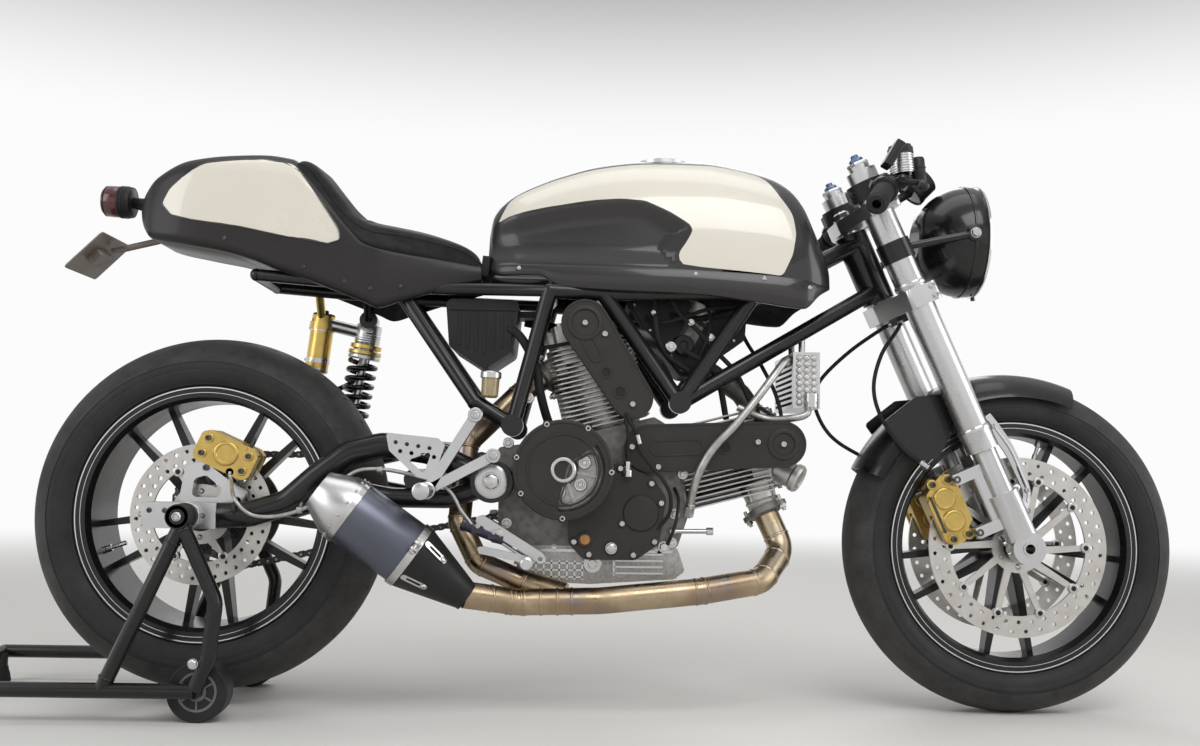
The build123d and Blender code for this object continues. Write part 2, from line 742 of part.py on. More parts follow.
def intake():
    """Two throttle bodies side by side in the vee, each with a runner to its own cylinder."""
    side = 34
    low, high, shaft = from_crank((102, 237), (138, 309), (108, 249))
    rear_run = from_crank((108, 249), (40, 268), (-21, 282))
    front_run = from_crank((108, 249), (225, 170), (258, 123))
    shapes = [rod((shaft[0], -60, shaft[1]), (shaft[0], 60, shaft[1]), 16)]
    for sign, run in ((-1, rear_run), (1, front_run)):
        shapes.append(rod((low[0], sign * side, low[1]), (high[0], sign * side, high[1]), 27))
        shapes.append(tube([(x, sign * side, z) for x, z in run], 19, 30))
    keep("throttle_bodies", Part() + shapes - nodes["rear_cylinder"] - nodes["front_cylinder"])


def battery():
    half = frame_half - frame_tube_radius - 11
    box = slab(shifted(*frame_waist, [(-178, -100), (-186, -14), (-54, -14), (-64, -106), (-114, -140)]),
               -half, half, 12)
    x, z = frame_waist
    shelf = block((x - 80, x), (-30, 30), (z - 40, z - 28))
    rise = block((x - 14, x + 2), (-30, 30), (z - 34, z - 8))
    keep("battery_box", box + shelf + rise - nodes["trellis_frame"])


def oil_cooler():
    front, back = crank_x + 348, crank_x + 300
    low, high = crank_z + 137, crank_z + 237
    half = 96
    end = 12
    core = block((back, front), (-half, half), (low, high))
    for index in range(9):
        level = low + 10 + 10 * index
        core -= block((back - 2, front + 2), (end - half, half - end), (level - 3, level + 2))
    hang = (front + back) / 2
    tube_y, tube_z = lower_tube_at(hang)
    stays = [rod((hang, side * tube_y, high - 4), (hang, side * tube_y, tube_z), 6) for side in (-1, 1)]
    keep("oil_cooler", Part() + [core] + stays - nodes["trellis_frame"])


# Exhaust

def exhaust():
    (front_x, front_z), (back_x, back_z) = from_pivot((-38, -189), (-280, -16))
    axis_from = Vector(back_x, -muffler_y, back_z)
    axis_to = Vector(front_x, 34 - muffler_y, front_z)
    run = axis_to - axis_from
    plane = Plane(origin=axis_from, z_dir=run)
    length = run.length
    wide = muffler_radius
    stations = [(0, wide - 22), (42, wide - 3), (60, wide), (length - 110, wide), (length - 20, wide - 25),
                (length - 2, wide - 31)]
    shell = loft([plane.offset(at) * Circle(radius) for at, radius in stations], ruled=True)
    shell -= extrude(plane * Circle(wide - 29), 60)
    keep("muffler", shell)
    y = -152
    joint = (front_x - 2, 34 - muffler_y, front_z + 1)
    front_run = crank_points((257, -40, -41), (288, -60, -113), (242, -118, -165), (132, y, -181),
                             (-38, y, -199), (-178, y, -203)) + [joint]
    rear_run = crank_points((-134, -20, 193), (-188, -30, 157), (-276, -60, 67), (-284, -100, -73),
                            (-248, -114, -141), (-168, -124, -173), (-98, y + 10, -191))
    front = tube(front_run, header_radius, 40)
    rear = tube(rear_run, rear_header_radius, 26)
    keep("exhaust_headers", front + rear - nodes["rear_cylinder"] - nodes["front_cylinder"] - shell)


# Rear end

def arm_point(share, rise=0.0):
    """A side-view point on the swingarm, from the pivot to the axle blocks, raised off the straight line."""
    end_x, end_z = rear_axle_x + 46, rear_axle_z
    return pivot_x + share * (end_x - pivot_x), pivot_z + share * (end_z - pivot_z) + rise


def arm_path(bends):
    return [(x, arm_y, z) for x, z in (arm_point(share, rise) for share, rise in bends)]


def shock_ends():
    """The middles of the shock's upper and lower eyes."""
    low_x, low_z = arm_point(0.648, 92.1)
    return Vector(rail_front[0] - 80, arm_y - 14, rail_front[1] - 38), Vector(low_x, arm_y - 8, low_z)


def rear_end():
    upper = tube(arm_path([(0, 0)] + arm_bends + [(1, 0)]), arm_tube_radius, 60)
    lower = tube(arm_path([(0, -4)] + brace_bends), lower_arm_radius, 60)
    knuckle = drum(pivot_x, pivot_z, knuckle_radius, arm_y - 20, arm_y + 22)
    across = rod((pivot_x, -arm_y - 4, pivot_z), (pivot_x, arm_y + 4, pivot_z), 22)
    brace_x, brace_z = arm_point(0.289, 20.8)
    brace = rod((brace_x, -arm_y, brace_z), (brace_x, arm_y, brace_z), 18)
    low = shock_ends()[1]
    outer_face = low.Y + shock_eye_half
    cheek_outline = shifted(low.X, low.Z, [(-20, 16), (20, 16), (34, -44), (-26, -52)])
    cheek = slab(cheek_outline, outer_face, outer_face + 7, 10)
    lug_outline = shifted(low.X, low.Z, [(-16, -10), (16, -10), (24, -44), (-24, -50)])
    lug = slab(lug_outline, low.Y - 11, low.Y + 11, 3)
    lug -= drum(low.X, low.Z, shock_eye_radius, low.Y - 12, low.Y + 12)
    keep("swingarm", *mirrored(upper + lower + knuckle), across, brace, cheek, lug)
    ends = []
    for side in (-1, 1):
        ends.append(block((rear_axle_x - 76, rear_axle_x + 46), (side * arm_y - 20, side * arm_y + 20),
                          (rear_axle_z - 22, rear_axle_z + 22)))
    shaft = drum(rear_axle.X, rear_axle.Z, rear_axle_radius, -rear_axle_half, rear_axle_half)
    nut_y = rear_axle_half - 8
    nuts = [drum(rear_axle.X, rear_axle.Z, axle_nut_radius, side * nut_y - 8, side * nut_y + 8)
            for side in (-1, 1)]
    bore = drum(rear_axle.X, rear_axle.Z, rear_axle_bore, -rear_axle_half - 30, rear_axle_half + 30)
    keep("rear_axle", Part() + ends + [shaft] + nuts - bore - nodes["swingarm"])


def chain():
    """The chain's run round both sprockets, with the drive sprocket and its shaft."""
    rear = (rear_axle.X, rear_axle.Z)
    front = (drive_sprocket_x, pivot_z)
    inner_gap = moving_gap
    big = sprocket_radius + inner_gap
    small = drive_sprocket_radius + inner_gap
    outside = belt_face(rear, big + chain_height, front, small + chain_height)
    inside = belt_face(rear, big, front, small)
    band = extrude(side_plane(chain_y + chain_width / 2) * (outside - inside), chain_width)
    half = sprocket_thickness / 2
    teeth = drum(*front, small, chain_y - half, chain_y + half)
    shaft = drum(*front, 12, case_half - 16, chain_y + half)
    keep("drive_chain", band + teeth + shaft)


def rear_brake():
    axle = (rear_axle.X, rear_axle.Z)
    y = -rear_disc_y
    reach = rear_disc_radius - 8.8
    angle = 66.14
    x, z = around(axle, reach, angle)
    place = Plane(origin=(x, y, z), x_dir=(sin(radians(angle)), 0, -cos(radians(angle))), z_dir=(0, -1, 0))
    body = extrude(place.offset(-30) * RectangleRounded(106, 58, 14), 60)
    slot = disc_thickness / 2 + bobbin_proud + moving_gap
    body -= extrude(place.offset(-slot) * Pos(0, -24) * Rectangle(150, 90), 2 * slot)
    near, far = y - 18, y - 28
    bracket = slab(shifted(*axle, [(-24, -8), (-18, reach - 40), (x - axle[0] + 50, reach - 52), (24, -12)]),
                   far, near, 8)
    bracket -= drum(*axle, rear_axle_radius, far - 7, near + 13)
    body -= slab(shifted(*axle, [(-60, -37), (-60, reach - 40), (140, reach - 51), (140, -37)]), far, near, 1)
    keep("rear_caliper", body, bracket)


def suspension():
    top, low = shock_ends()
    run = low - top
    upper_seat, lower_seat = 0.29, 0.80
    seat_height = 0.03
    seat_radius = spring_radius + 6
    body = rod(top + run * 0.09, top + run * upper_seat, 24) + rod(top, low, 9)
    body += rod(top + run * (upper_seat - seat_height), top + run * upper_seat, seat_radius)
    body += rod(top + run * lower_seat, top + run * (lower_seat + seat_height), seat_radius)
    eyes = [drum(end.X, end.Z, shock_eye_radius, end.Y - shock_eye_half, end.Y + shock_eye_half)
            for end in (top, low)]
    keep("shock_absorber", body, *eyes)
    length = run.length * (lower_seat - upper_seat) - 2 * spring_wire
    path = Helix(pitch=length / spring_turns, height=length, radius=spring_radius)
    coil = sweep(Plane(origin=path @ 0, z_dir=path % 0) * Circle(spring_wire), path=path, is_frenet=True)
    keep("shock_spring", Plane(origin=top + run * upper_seat, z_dir=run).offset(spring_wire) * coil)
    high = Vector(top.X - 92, low.Y, top.Z + 10)
    base = high + Vector(-12, 0, -110)
    bottle = rod(high, base, 22) + rod(high + Vector(-1, 0, -14), high + Vector(-3, 0, -28), 25)
    bracket = rod((high.X, rail_half, frame_z(high.X)), high + Vector(-2, 0, -21), 8)
    keep("shock_reservoir", bottle + bracket - nodes["trellis_frame"])


def rearsets():
    """The plates that carry the pegs, with their arms, bosses and drilled heel guards."""
    upper, front, low = from_pivot((-28, 112), (4, 44), (-106, -16))
    heel_outline = from_pivot((-178, 80), (-90, 72), (-78, 60), (-98, 0), (-124, 6), (-172, 50))
    hole_start = from_pivot((-161, 64))[0]
    plates = []
    for side in (-1, 1):
        y = side * rearset_y
        arms = [rod((low[0], y, low[1]), (x, y, z), 7) for x, z in (upper, front)]
        bosses = [drum(x, z, 12, y - 10, y + 10) for x, z in (upper, front, low)]
        heel = slab(heel_outline, y - 3, y + 3, 6)
        for row in range(2):
            for index in range(4):
                heel -= drum(hole_start[0] + 19 * index + 8 * row, hole_start[1] - 15 * row - 3 * index, 3.6,
                             y - 5, y + 5)
        post = drum(*upper, 7, y, side * case_half)
        plates.append(Part() + arms + bosses + [heel, post])
    keep("rearset_plates", Part() + plates - nodes["trellis_frame"])


def pedals():
    low = from_pivot((-106, -16))[0]
    arm_outline = from_pivot((-22, -58), (-8, -56), (94, -118), (98, -134), (82, -138), (-18, -76))
    link_outline = from_pivot((-24, -112), (-8, -108), (68, -126), (76, -140), (58, -142), (-22, -126))
    eye, pin, toe = from_pivot((86, -128), (16, -84), (64, -134))
    shapes = []
    for side in (-1, 1):
        near, far = side * (case_half + 2), side * (rearset_y - 8)
        arm = slab(arm_outline, -4, 4, 6) - drum(*eye, 5, -5, 5)
        link = slab(link_outline, -3, 3, 5)
        shapes.append(drum(*low, 11, side * (rearset_y + 10), side * (rearset_y + 92)))
        shapes.append(drum(*pin, 9, near, far))
        shapes.append(drum(*toe, 8, far, side * (rearset_y + 34)))
        shapes += [Pos(0, far, 0) * arm, Pos(0, far - side * 8, 0) * link]
    keep("foot_controls", *shapes)


# Bodywork

def section(x, half_low, low, half_top, top, low_corner, top_corner):
    plane = Plane(origin=(x, 0, 0), x_dir=(0, 1, 0), z_dir=(1, 0, 0))
    outline = FilletPolyline((-half_low, low), (half_low, low), (half_top, top), (-half_top, top),
                             radius=[low_corner, low_corner, top_corner, top_corner], close=True)
    return plane * make_face(outline)


def fuel_tank():
    """A rounded tank with hollows for the knees and a band along its lower edge."""
    # station, half width low, low, half width high, high, low corner, high corner
    tank_rows = [
        (-150, 60, 792, 48, 872, 12, 22),
        (-98, 88, 768, 66, 935, 16, 40),
        (0, 112, 744, 80, 974, 18, 52),
        (130, 134, 736, 92, 998, 20, 60),
        (250, 143, 731, 96, 996, 20, 62),
        (350, 142, 718, 92, 977, 20, 60),
        (418, 132, 712, 84, 925, 18, 50),
        (462, 102, 742, 66, 812, 14, 26),
    ]
    tank = loft([section(*row) for row in tank_rows])
    # station, half width below, low, half width above, high
    band_rows = [
        (40, 133, 741, 128, 776),
        (120, 137, 738, 133, 774),
        (200, 142, 733, 138, 771),
        (330, 146, 722, 142, 764),
        (405, 139, 716, 135, 760),
    ]
    tank += loft([section(*row, 4, 3) for row in band_rows])
    for sign in (-1, 1):
        hollow = Pos(6, sign * 152, 826) * Rot(0, -3, 0) * scale(Sphere(1), by=(150, 62, 44))
        tank -= hollow
    floor_half = frame_half + frame_tube_radius + 5
    floor_z = frame_waist[1] + frame_tube_radius + 24
    tank -= block((-200, 600), (-floor_half, floor_half), (600, floor_z))
    top_head = on_steering_axis(head_high - 22)
    for side in (-1, 1):
        tank -= rod((frame_nose[0], side * frame_half, frame_nose[1]), (top_head.X, side * 16, top_head.Z),
                    frame_tube_radius + 8)
    pads = [block((x - 18, x + 18), (-24, 24), (z, floor_z + 2)) for x, z in (frame_nose, frame_knee)]
    keep("fuel_tank", Part() + [tank] + pads - nodes["trellis_frame"])


def tail_cowl():
    hump_rows = [
        (-782, 46, 866, 40, 906, 10, 14),
        (-750, 78, 826, 62, 946, 16, 34),
        (-690, 98, 812, 76, 978, 20, 46),
        (-590, 108, 794, 84, 990, 20, 54),
        (-505, 112, 764, 84, 982, 20, 54),
    ]
    hump = loft([section(*row) for row in hump_rows])
    seat_rows = [
        (-505, 112, 764, 84, 982, 20, 54),
        (-392, 112, 724, 100, 836, 20, 12),
        (-340, 110, 704, 106, 786, 18, 10),
        (-160, 84, 758, 82, 784, 8, 8),
    ]
    base = loft([section(*row) for row in seat_rows], ruled=True)
    rail_room = rail_half + rail_tube_radius + 9
    cowl = hump + base
    cowl -= block((-580, -290), (-rail_room, rail_room), (600, 776))
    cowl -= block((-300, -100), (-rail_room - 11, rail_room + 11), (600, 772))
    keep("tail_cowl", cowl - nodes["trellis_frame"])


def seat_pad():
    pad_rows = [
        (-500, 80, 960, 80, 982, 6, 8),
        (-470, 92, 912, 84, 972, 8, 20),
        (-392, 100, 838, 98, 880, 8, 20),
        (-340, 104, 788, 98, 856, 8, 24),
        (-250, 98, 786, 90, 838, 8, 24),
        (-158, 74, 786, 66, 812, 8, 12),
    ]
    keep("seat_pad", loft([section(*row) for row in pad_rows], ruled=True) - nodes["tail_cowl"])


def tail_end():
    light = rod((-860, 0, 906), (-812, 0, 904), 28) + rod((-812, 0, 900), (-770, 0, 888), 6)
    keep("tail_light", light - nodes["tail_cowl"])
    plate = Plane(origin=(-870, 0, 802), x_dir=(0, 1, 0), z_dir=(-0.71, 0, 0.71))
    board = extrude(plate * RectangleRounded(140, 92, 6), 2)
    holder = extrude(plate.offset(-14) * RectangleRounded(60, 30, 6), 14)
    arm = rod((-846, 0, 812), (-752, 0, 836), 6)
    keep("number_plate", board + holder + arm - nodes["tail_cowl"])


# Stand

def stand():
    r = stand_tube_radius
    y = stand_y
    x, z = rear_axle_x, rear_axle_z
    back_x = x - stand_reach + r
    foot_x = x + roller_ahead
    floor_tube = stand_base + 2
    side = tube([(x, y, z - 4), (x + 65, y, 200), (x + 57, y, 108), (foot_x + 1, y, floor_tube)], r, 40)
    strut = rod((x, y, z - 20), (x - 113, y, floor_tube), r)
    base = rod((foot_x + 1, y, stand_base), (back_x, y, stand_base), r)
    pin = drum(x, z, rear_axle_bore - running_gap, rear_axle_half - 20, y + 6)
    collar = drum(x, z, 20, rear_axle_half + 2, y + 14)
    stub = drum(foot_x, roller_radius, roller_bore, roller_y - roller_width / 2 - 6, y)
    back = rod((back_x, -y, stand_base), (back_x, y, stand_base), r)
    feet = [rod((back_x + r, side_y, 0), (back_x + r, side_y, stand_base), 10) for side_y in (30 - y, y - 30)]
    keep("paddock_stand", *mirrored(Part() + [side, strut, base, pin, collar, stub]), back, *feet)
    for name, sign in (("stand_roller_right", -1), ("stand_roller_left", 1)):
        near, far = sign * (roller_y - roller_width / 2), sign * (roller_y + roller_width / 2)
        keep(name, ring(foot_x, roller_radius, roller_radius, roller_bore + running_gap, near, far))


wheels()
clamps()
fork()
front_brakes()
front_fender()
lamp()
bars()
hoses()
trellis()
crankcase()
side_covers()
clutch()
top_end()
sump()
intake()
battery()
oil_cooler()
exhaust()
rear_end()
chain()
rear_brake()
suspension()
rearsets()
pedals()
fuel_tank()
tail_cowl()
seat_pad()
tail_end()
stand()

os.makedirs("parts", exist_ok=True)
for name, shape in nodes.items():
    export_step(shape, os.path.join("parts", name + ".step"))
    print(name, round(shape.volume / 1000), "cm3")
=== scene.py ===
import math
import random

import bmesh
import bpy
from mathutils import Matrix, Vector
from mathutils.geometry import tessellate_polygon


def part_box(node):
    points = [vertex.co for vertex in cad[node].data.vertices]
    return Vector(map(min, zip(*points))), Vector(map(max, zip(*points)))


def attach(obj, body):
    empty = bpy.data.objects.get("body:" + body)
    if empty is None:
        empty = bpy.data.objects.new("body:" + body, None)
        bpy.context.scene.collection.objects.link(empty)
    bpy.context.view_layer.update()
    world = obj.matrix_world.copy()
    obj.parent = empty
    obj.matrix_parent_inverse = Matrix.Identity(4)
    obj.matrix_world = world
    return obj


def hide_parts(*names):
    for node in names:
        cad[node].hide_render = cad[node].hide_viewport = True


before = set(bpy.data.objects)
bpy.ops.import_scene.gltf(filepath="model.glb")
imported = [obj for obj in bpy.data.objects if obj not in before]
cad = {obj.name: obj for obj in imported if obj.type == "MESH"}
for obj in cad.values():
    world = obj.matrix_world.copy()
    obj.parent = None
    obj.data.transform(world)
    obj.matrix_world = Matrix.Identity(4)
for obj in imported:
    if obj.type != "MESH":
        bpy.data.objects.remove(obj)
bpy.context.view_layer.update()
mm = 0.001

# Places and sizes in this script are in millimetres, in the frame's own axes.
# +X runs forward, +Y to the rider's left, +Z up, and the floor is at 0.


def middleOf(node):
    low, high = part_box(node)
    return (low + high) / 2 / mm


def sizeOf(node):
    low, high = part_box(node)
    return (high - low) / mm


frontAxle = middleOf("front_tyre")
rearAxle = middleOf("rear_tyre")
upAxis = Vector((0, 0, 1))
foreAxis = Vector((1, 0, 0))
print("frame loaded:", len(cad), "nodes")


# Shader nodes of a material or a world

def nodeOf(owner, kind, **values):
    node = owner.node_tree.nodes.new("ShaderNode" + kind)
    for key, value in values.items():
        if key in node.inputs:
            node.inputs[key].default_value = value
        else:
            setattr(node, key, value)
    return node


def joinUp(owner, source, target):
    owner.node_tree.links.new(source, target)


# Camera, lights and floor

photoView = {
    "width": 1200,
    "focalPixels": 1197.8,
    "place": (5.0, -2206.4, 421.0),
    "yaw": 1.36,
    "pitch": 4.74,
    "roll": 0.95,
}


def makeCamera():
    yaw = math.radians(photoView["yaw"])
    pitch = math.radians(photoView["pitch"])
    roll = math.radians(photoView["roll"])
    ahead = Vector((math.sin(yaw) * math.cos(pitch), math.cos(yaw) * math.cos(pitch), math.sin(pitch)))
    level = Vector((math.cos(yaw), -math.sin(yaw), 0))
    above = level.cross(ahead)
    right = level * math.cos(roll) + above * math.sin(roll)
    top = above * math.cos(roll) - level * math.sin(roll)
    data = bpy.data.cameras.new("photoCamera")
    data.sensor_width = 36.0
    data.lens = 36.0 * photoView["focalPixels"] / photoView["width"]
    data.clip_end = 200.0
    camera = bpy.data.objects.new("photoCamera", data)
    turn = Matrix((right, top, -ahead)).transposed()
    camera.matrix_world = Matrix.Translation(Vector(photoView["place"]) * mm) @ turn.to_4x4()
    bpy.context.scene.collection.objects.link(camera)
    bpy.context.scene.camera = camera


# Name, place, what it points at, width and height in metres, watts
studioLamps = [
    ("keyLamp", (900, -2600, 3000), (0, 0, 450), 2.6, 1.6, 58),
    ("sideLamp", (-3000, -1700, 1700), (-200, 0, 500), 1.6, 2.2, 27),
    ("backLamp", (300, 3000, 2600), (0, 0, 500), 3.0, 1.4, 30),
    ("noseLamp", (3200, -900, 1300), (300, 0, 500), 1.4, 2.0, 22),
    ("topLamp", (0, 0, 3300), (0, 0, 0), 3.2, 1.4, 18),
]
studioTone = {"world": 0.27, "backdrop": 0.97, "floor": (0.80, 0.79, 0.77),
              "floorRadius": 30.0}  # the radius is in metres


def makeLamps():
    for name, place, target, width, height, watts in studioLamps:
        data = bpy.data.lights.new(name, "AREA")
        data.shape = "RECTANGLE"
        data.size = width
        data.size_y = height
        data.energy = watts
        lamp = bpy.data.objects.new(name, data)
        lamp.location = Vector(place) * mm
        lamp.rotation_euler = (Vector(target) - Vector(place)).to_track_quat("-Z", "Y").to_euler()
        bpy.context.scene.collection.objects.link(lamp)


def makeWorld():
    world = bpy.data.worlds.new("studio")
    bpy.context.scene.world = world
    world.use_nodes = True
    world.node_tree.nodes.clear()
    out = nodeOf(world, "OutputWorld")
    soft = nodeOf(world, "Background", Color=(1.0, 0.985, 0.96, 1), Strength=studioTone["world"])
    shown = nodeOf(world, "Background", Strength=1.0)
    # A mirror sees pale walls at eye height, a dimmer band above them and a bright ceiling.
    direction = nodeOf(world, "TexCoord")
    split = nodeOf(world, "SeparateXYZ")
    ramp = nodeOf(world, "ValToRGB")
    tone = studioTone["backdrop"]
    ramp.color_ramp.interpolation = "EASE"
    ramp.color_ramp.elements[0].position = 0.26
    ramp.color_ramp.elements[0].color = (tone, tone, tone, 1)
    ramp.color_ramp.elements[1].position = 0.44
    ramp.color_ramp.elements[1].color = (0.34, 0.34, 0.35, 1)
    high = ramp.color_ramp.elements.new(0.86)
    high.color = (0.75, 0.75, 0.75, 1)
    rays = nodeOf(world, "LightPath")
    either = nodeOf(world, "Math", operation="MAXIMUM")
    seen = nodeOf(world, "Math", operation="MAXIMUM")
    mix = nodeOf(world, "MixShader")
    for source, target in (
            (direction.outputs["Generated"], split.inputs[0]), (split.outputs["Z"], ramp.inputs["Fac"]),
            (ramp.outputs["Color"], shown.inputs["Color"]), (rays.outputs["Is Camera Ray"], either.inputs[0]),
            (rays.outputs["Is Glossy Ray"], either.inputs[1]), (either.outputs[0], seen.inputs[0]),
            (rays.outputs["Is Transmission Ray"], seen.inputs[1]), (seen.outputs[0], mix.inputs["Fac"]),
            (soft.outputs[0], mix.inputs[1]), (shown.outputs[0], mix.inputs[2]),
            (mix.outputs[0], out.inputs["Surface"])):
        joinUp(world, source, target)


def makeFloor():
    radius = studioTone["floorRadius"]
    bpy.ops.mesh.primitive_circle_add(vertices=96, radius=radius, fill_type="NGON", location=(0, 0, 0))
    floor = bpy.context.object
    floor.name = "floor"
    material = bpy.data.materials.new("paleFloor")
    material.use_nodes = True
    shader = material.node_tree.nodes["Principled BSDF"]
    shader.inputs["Base Color"].default_value = (*studioTone["floor"], 1)
    shader.inputs["Roughness"].default_value = 0.62
    shader.inputs["Specular IOR Level"].default_value = 0.25
    tone = studioTone["backdrop"]
    glow = nodeOf(material, "Emission", Color=(tone, tone, tone, 1))
    # Far from the object the floor fades into the backdrop.
    place = nodeOf(material, "TexCoord")
    length = nodeOf(material, "VectorMath", operation="LENGTH")
    fade = nodeOf(material, "MapRange", interpolation_type="SMOOTHSTEP")
    fade.inputs["From Min"].default_value = 1.6
    fade.inputs["From Max"].default_value = 7.0
    rays = nodeOf(material, "LightPath")
    seen = nodeOf(material, "Math", operation="MAXIMUM")
    amount = nodeOf(material, "Math", operation="MULTIPLY")
    mix = nodeOf(material, "MixShader")
    surface = material.node_tree.nodes["Material Output"].inputs["Surface"]
    for source, target in (
            (place.outputs["Object"], length.inputs[0]), (length.outputs["Value"], fade.inputs["Value"]),
            (rays.outputs["Is Camera Ray"], seen.inputs[0]), (rays.outputs["Is Glossy Ray"], seen.inputs[1]),
            (fade.outputs["Result"], amount.inputs[0]), (seen.outputs[0], amount.inputs[1]),
            (amount.outputs[0], mix.inputs["Fac"]), (shader.outputs[0], mix.inputs[1]),
            (glow.outputs[0], mix.inputs[2]), (mix.outputs[0], surface)):
        joinUp(material, source, target)
    floor.data.materials.append(material)


bpy.context.scene.view_settings.view_transform = "Standard"
makeCamera()
makeLamps()
makeWorld()
makeFloor()
print("camera, lamps and floor made")


# Making meshes. Every shape is drawn in millimetres and made in metres by finishPiece.

def framed(origin, out, across=None):
    # A place whose own z axis runs along out, and whose x axis leans towards across.
    zAxis = Vector(out).normalized()
    guide = Vector(across) if across is not None else (upAxis if abs(zAxis.z) < 0.9 else foreAxis)
    yAxis = zAxis.cross(guide).normalized()
    xAxis = yAxis.cross(zAxis)
    turn = Matrix((xAxis, yAxis, zAxis)).transposed().to_4x4()
    return Matrix.Translation(Vector(origin)) @ turn


def sideView(y, out=-1):
    # Local x is +X and local y is +Z; local z points out of the near side (-Y) or, with out=1, the far one.
    turn = Matrix(((1, 0, 0), (0, 0, out), (0, 1, 0)))
    return Matrix.Translation((0, y, 0)) @ turn.to_4x4()


def addRings(bm, rings, closedAround=True, closedAlong=False, capped=False):
    # Joins rings of points with quads.
    count = len(rings[0])
    rows = [[bm.verts.new(p) for p in ring] for ring in rings]
    spans = len(rows) if closedAlong else len(rows) - 1
    around = count if closedAround else count - 1
    for i in range(spans):
        low, high = rows[i], rows[(i + 1) % len(rows)]
        for k in range(around):
            n = (k + 1) % count
            bm.faces.new((low[k], low[n], high[n], high[k]))
    if capped:
        bm.faces.new(list(reversed(rows[0])))
        bm.faces.new(rows[-1])


def addUniqueFace(bm, corners):
    # Makes a face without its repeated corners, unless too few are left.
    unique = list(dict.fromkeys(corners))
    if len(unique) > 2:
        bm.faces.new(unique)


def addLathe(bm, place, profile, segments=48, closed=False):
    # Turns (height, radius) points about the z axis of place.
    rows = []
    for height, radius in profile:
        turns = range(1 if radius < 1e-6 else segments)
        angles = [2 * math.pi * k / segments for k in turns]
        rows.append([bm.verts.new(place @ Vector((radius * math.cos(angle), radius * math.sin(angle),
                                                  height)))
                     for angle in angles])
    for i in range(len(rows) if closed else len(rows) - 1):
        low, high = rows[i], rows[(i + 1) % len(rows)]
        for k in range(segments):
            n = (k + 1) % segments
            addUniqueFace(bm,
                          (low[k % len(low)], low[n % len(low)], high[n % len(high)], high[k % len(high)]))


def addRod(bm, start, end, radius, segments=24, chamfer=0.6):
    start, end = Vector(start), Vector(end)
    run = (end - start).length
    cut = min(chamfer, run / 3, radius / 2)
    profile = [(0, 0), (0, radius - cut), (cut, radius), (run - cut, radius), (run, radius - cut), (run, 0)]
    addLathe(bm, framed(start, end - start), profile, segments)


def smoothLine(points, steps=8):
    # A Catmull-Rom line through the points.
    points = [Vector(p) for p in points]
    line = []
    for i, (p1, p2) in enumerate(zip(points, points[1:])):
        p0 = points[i - 1] if i else p1 * 2 - p2
        p3 = points[i + 2] if i + 2 < len(points) else p2 * 2 - p1
        for k in range(steps):
            t = k / steps
            line.append(0.5 * (2 * p1 + (p2 - p0) * t + (2 * p0 - 5 * p1 + 4 * p2 - p3) * t ** 2
                               + (3 * p1 - p0 - 3 * p2 + p3) * t ** 3))
    return line + [points[-1]]


def addTube(bm, line, radius, segments=14, closed=False):
    # Sweeps a circle along a line.
    line = [Vector(p) for p in line]
    count = len(line)
    tangents = []
    for i in range(count):
        before = line[i - 1] if i or closed else line[i]
        after = line[(i + 1) % count] if i + 1 < count or closed else line[i]
        tangents.append((after - before).normalized())
    normal = tangents[0].orthogonal().normalized()
    rings = []
    for i in range(count):
        if i:
            normal = tangents[i - 1].rotation_difference(tangents[i]) @ normal
            normal = (normal - tangents[i] * normal.dot(tangents[i])).normalized()
        side = tangents[i].cross(normal)
        rings.append([line[i] + (normal * math.cos(2 * math.pi * k / segments)
                                 + side * math.sin(2 * math.pi * k / segments)) * radius
                      for k in range(segments)])
    addRings(bm, rings, closedAlong=closed, capped=not closed)


def onSide(y, out, x, z, lift=0.0):
    # A place on one side, out past it by lift.
    return sideView(y, out) @ Matrix.Translation((x, z, lift))


def nearPlace(x, z, y, turn=0.0):
    # On the near side, turned about its outward axis.
    return onSide(y, -1, x, z) @ Matrix.Rotation(math.radians(turn), 4, "Z")


def shiftedPlace(place, x, y, z=0.0):
    return place @ Matrix.Translation((x, y, z))


def roundedOutline(points, radius, steps=5):
    # Rounds the corners of a closed outline; radius may be a list, one value for each corner.
    points = [Vector(p) for p in points]
    count = len(points)
    radii = list(radius) if hasattr(radius, "__len__") else [radius] * count
    outline = []
    for i, corner in enumerate(points):
        back = points[i - 1] - corner
        ahead = points[(i + 1) % count] - corner
        turn = math.pi - back.angle(ahead)
        if radii[i] < 1e-6 or turn < 0.01:
            outline.append(corner)
            continue
        reach = min(radii[i] * math.tan(turn / 2), back.length * 0.48, ahead.length * 0.48)
        size = reach / math.tan(turn / 2)
        first = corner + back.normalized() * reach
        last = corner + ahead.normalized() * reach
        middle = corner + (back.normalized() + ahead.normalized()).normalized() * (size / math.cos(turn / 2))
        for k in range(steps + 1):
            arm = (first - middle).lerp(last - middle, k / steps)
            outline.append(middle + arm.normalized() * size)
    return outline


def ringSpots(count, radius, start=0.0):
    # Evenly spaced (x, y) spots round a circle; start is in degrees.
    angles = [2 * math.pi * k / count + math.radians(start) for k in range(count)]
    return [(radius * math.cos(angle), radius * math.sin(angle)) for angle in angles]


def aroundTwo(a, aRadius, b, bRadius, steps, fewer):
    # The line of a belt round two circles.
    away = b - a
    lean, tilt = math.atan2(away.y, away.x), math.acos((aRadius - bRadius) / away.length)
    arcs = ((a, aRadius, lean + tilt, 2 * math.pi - 2 * tilt, steps),
            (b, bRadius, lean - tilt, 2 * tilt, fewer))
    return [centre + Vector((math.cos(first + sweep * k / count),
                             math.sin(first + sweep * k / count))) * radius
            for centre, radius, first, sweep, count in arcs for k in range(count + 1)]


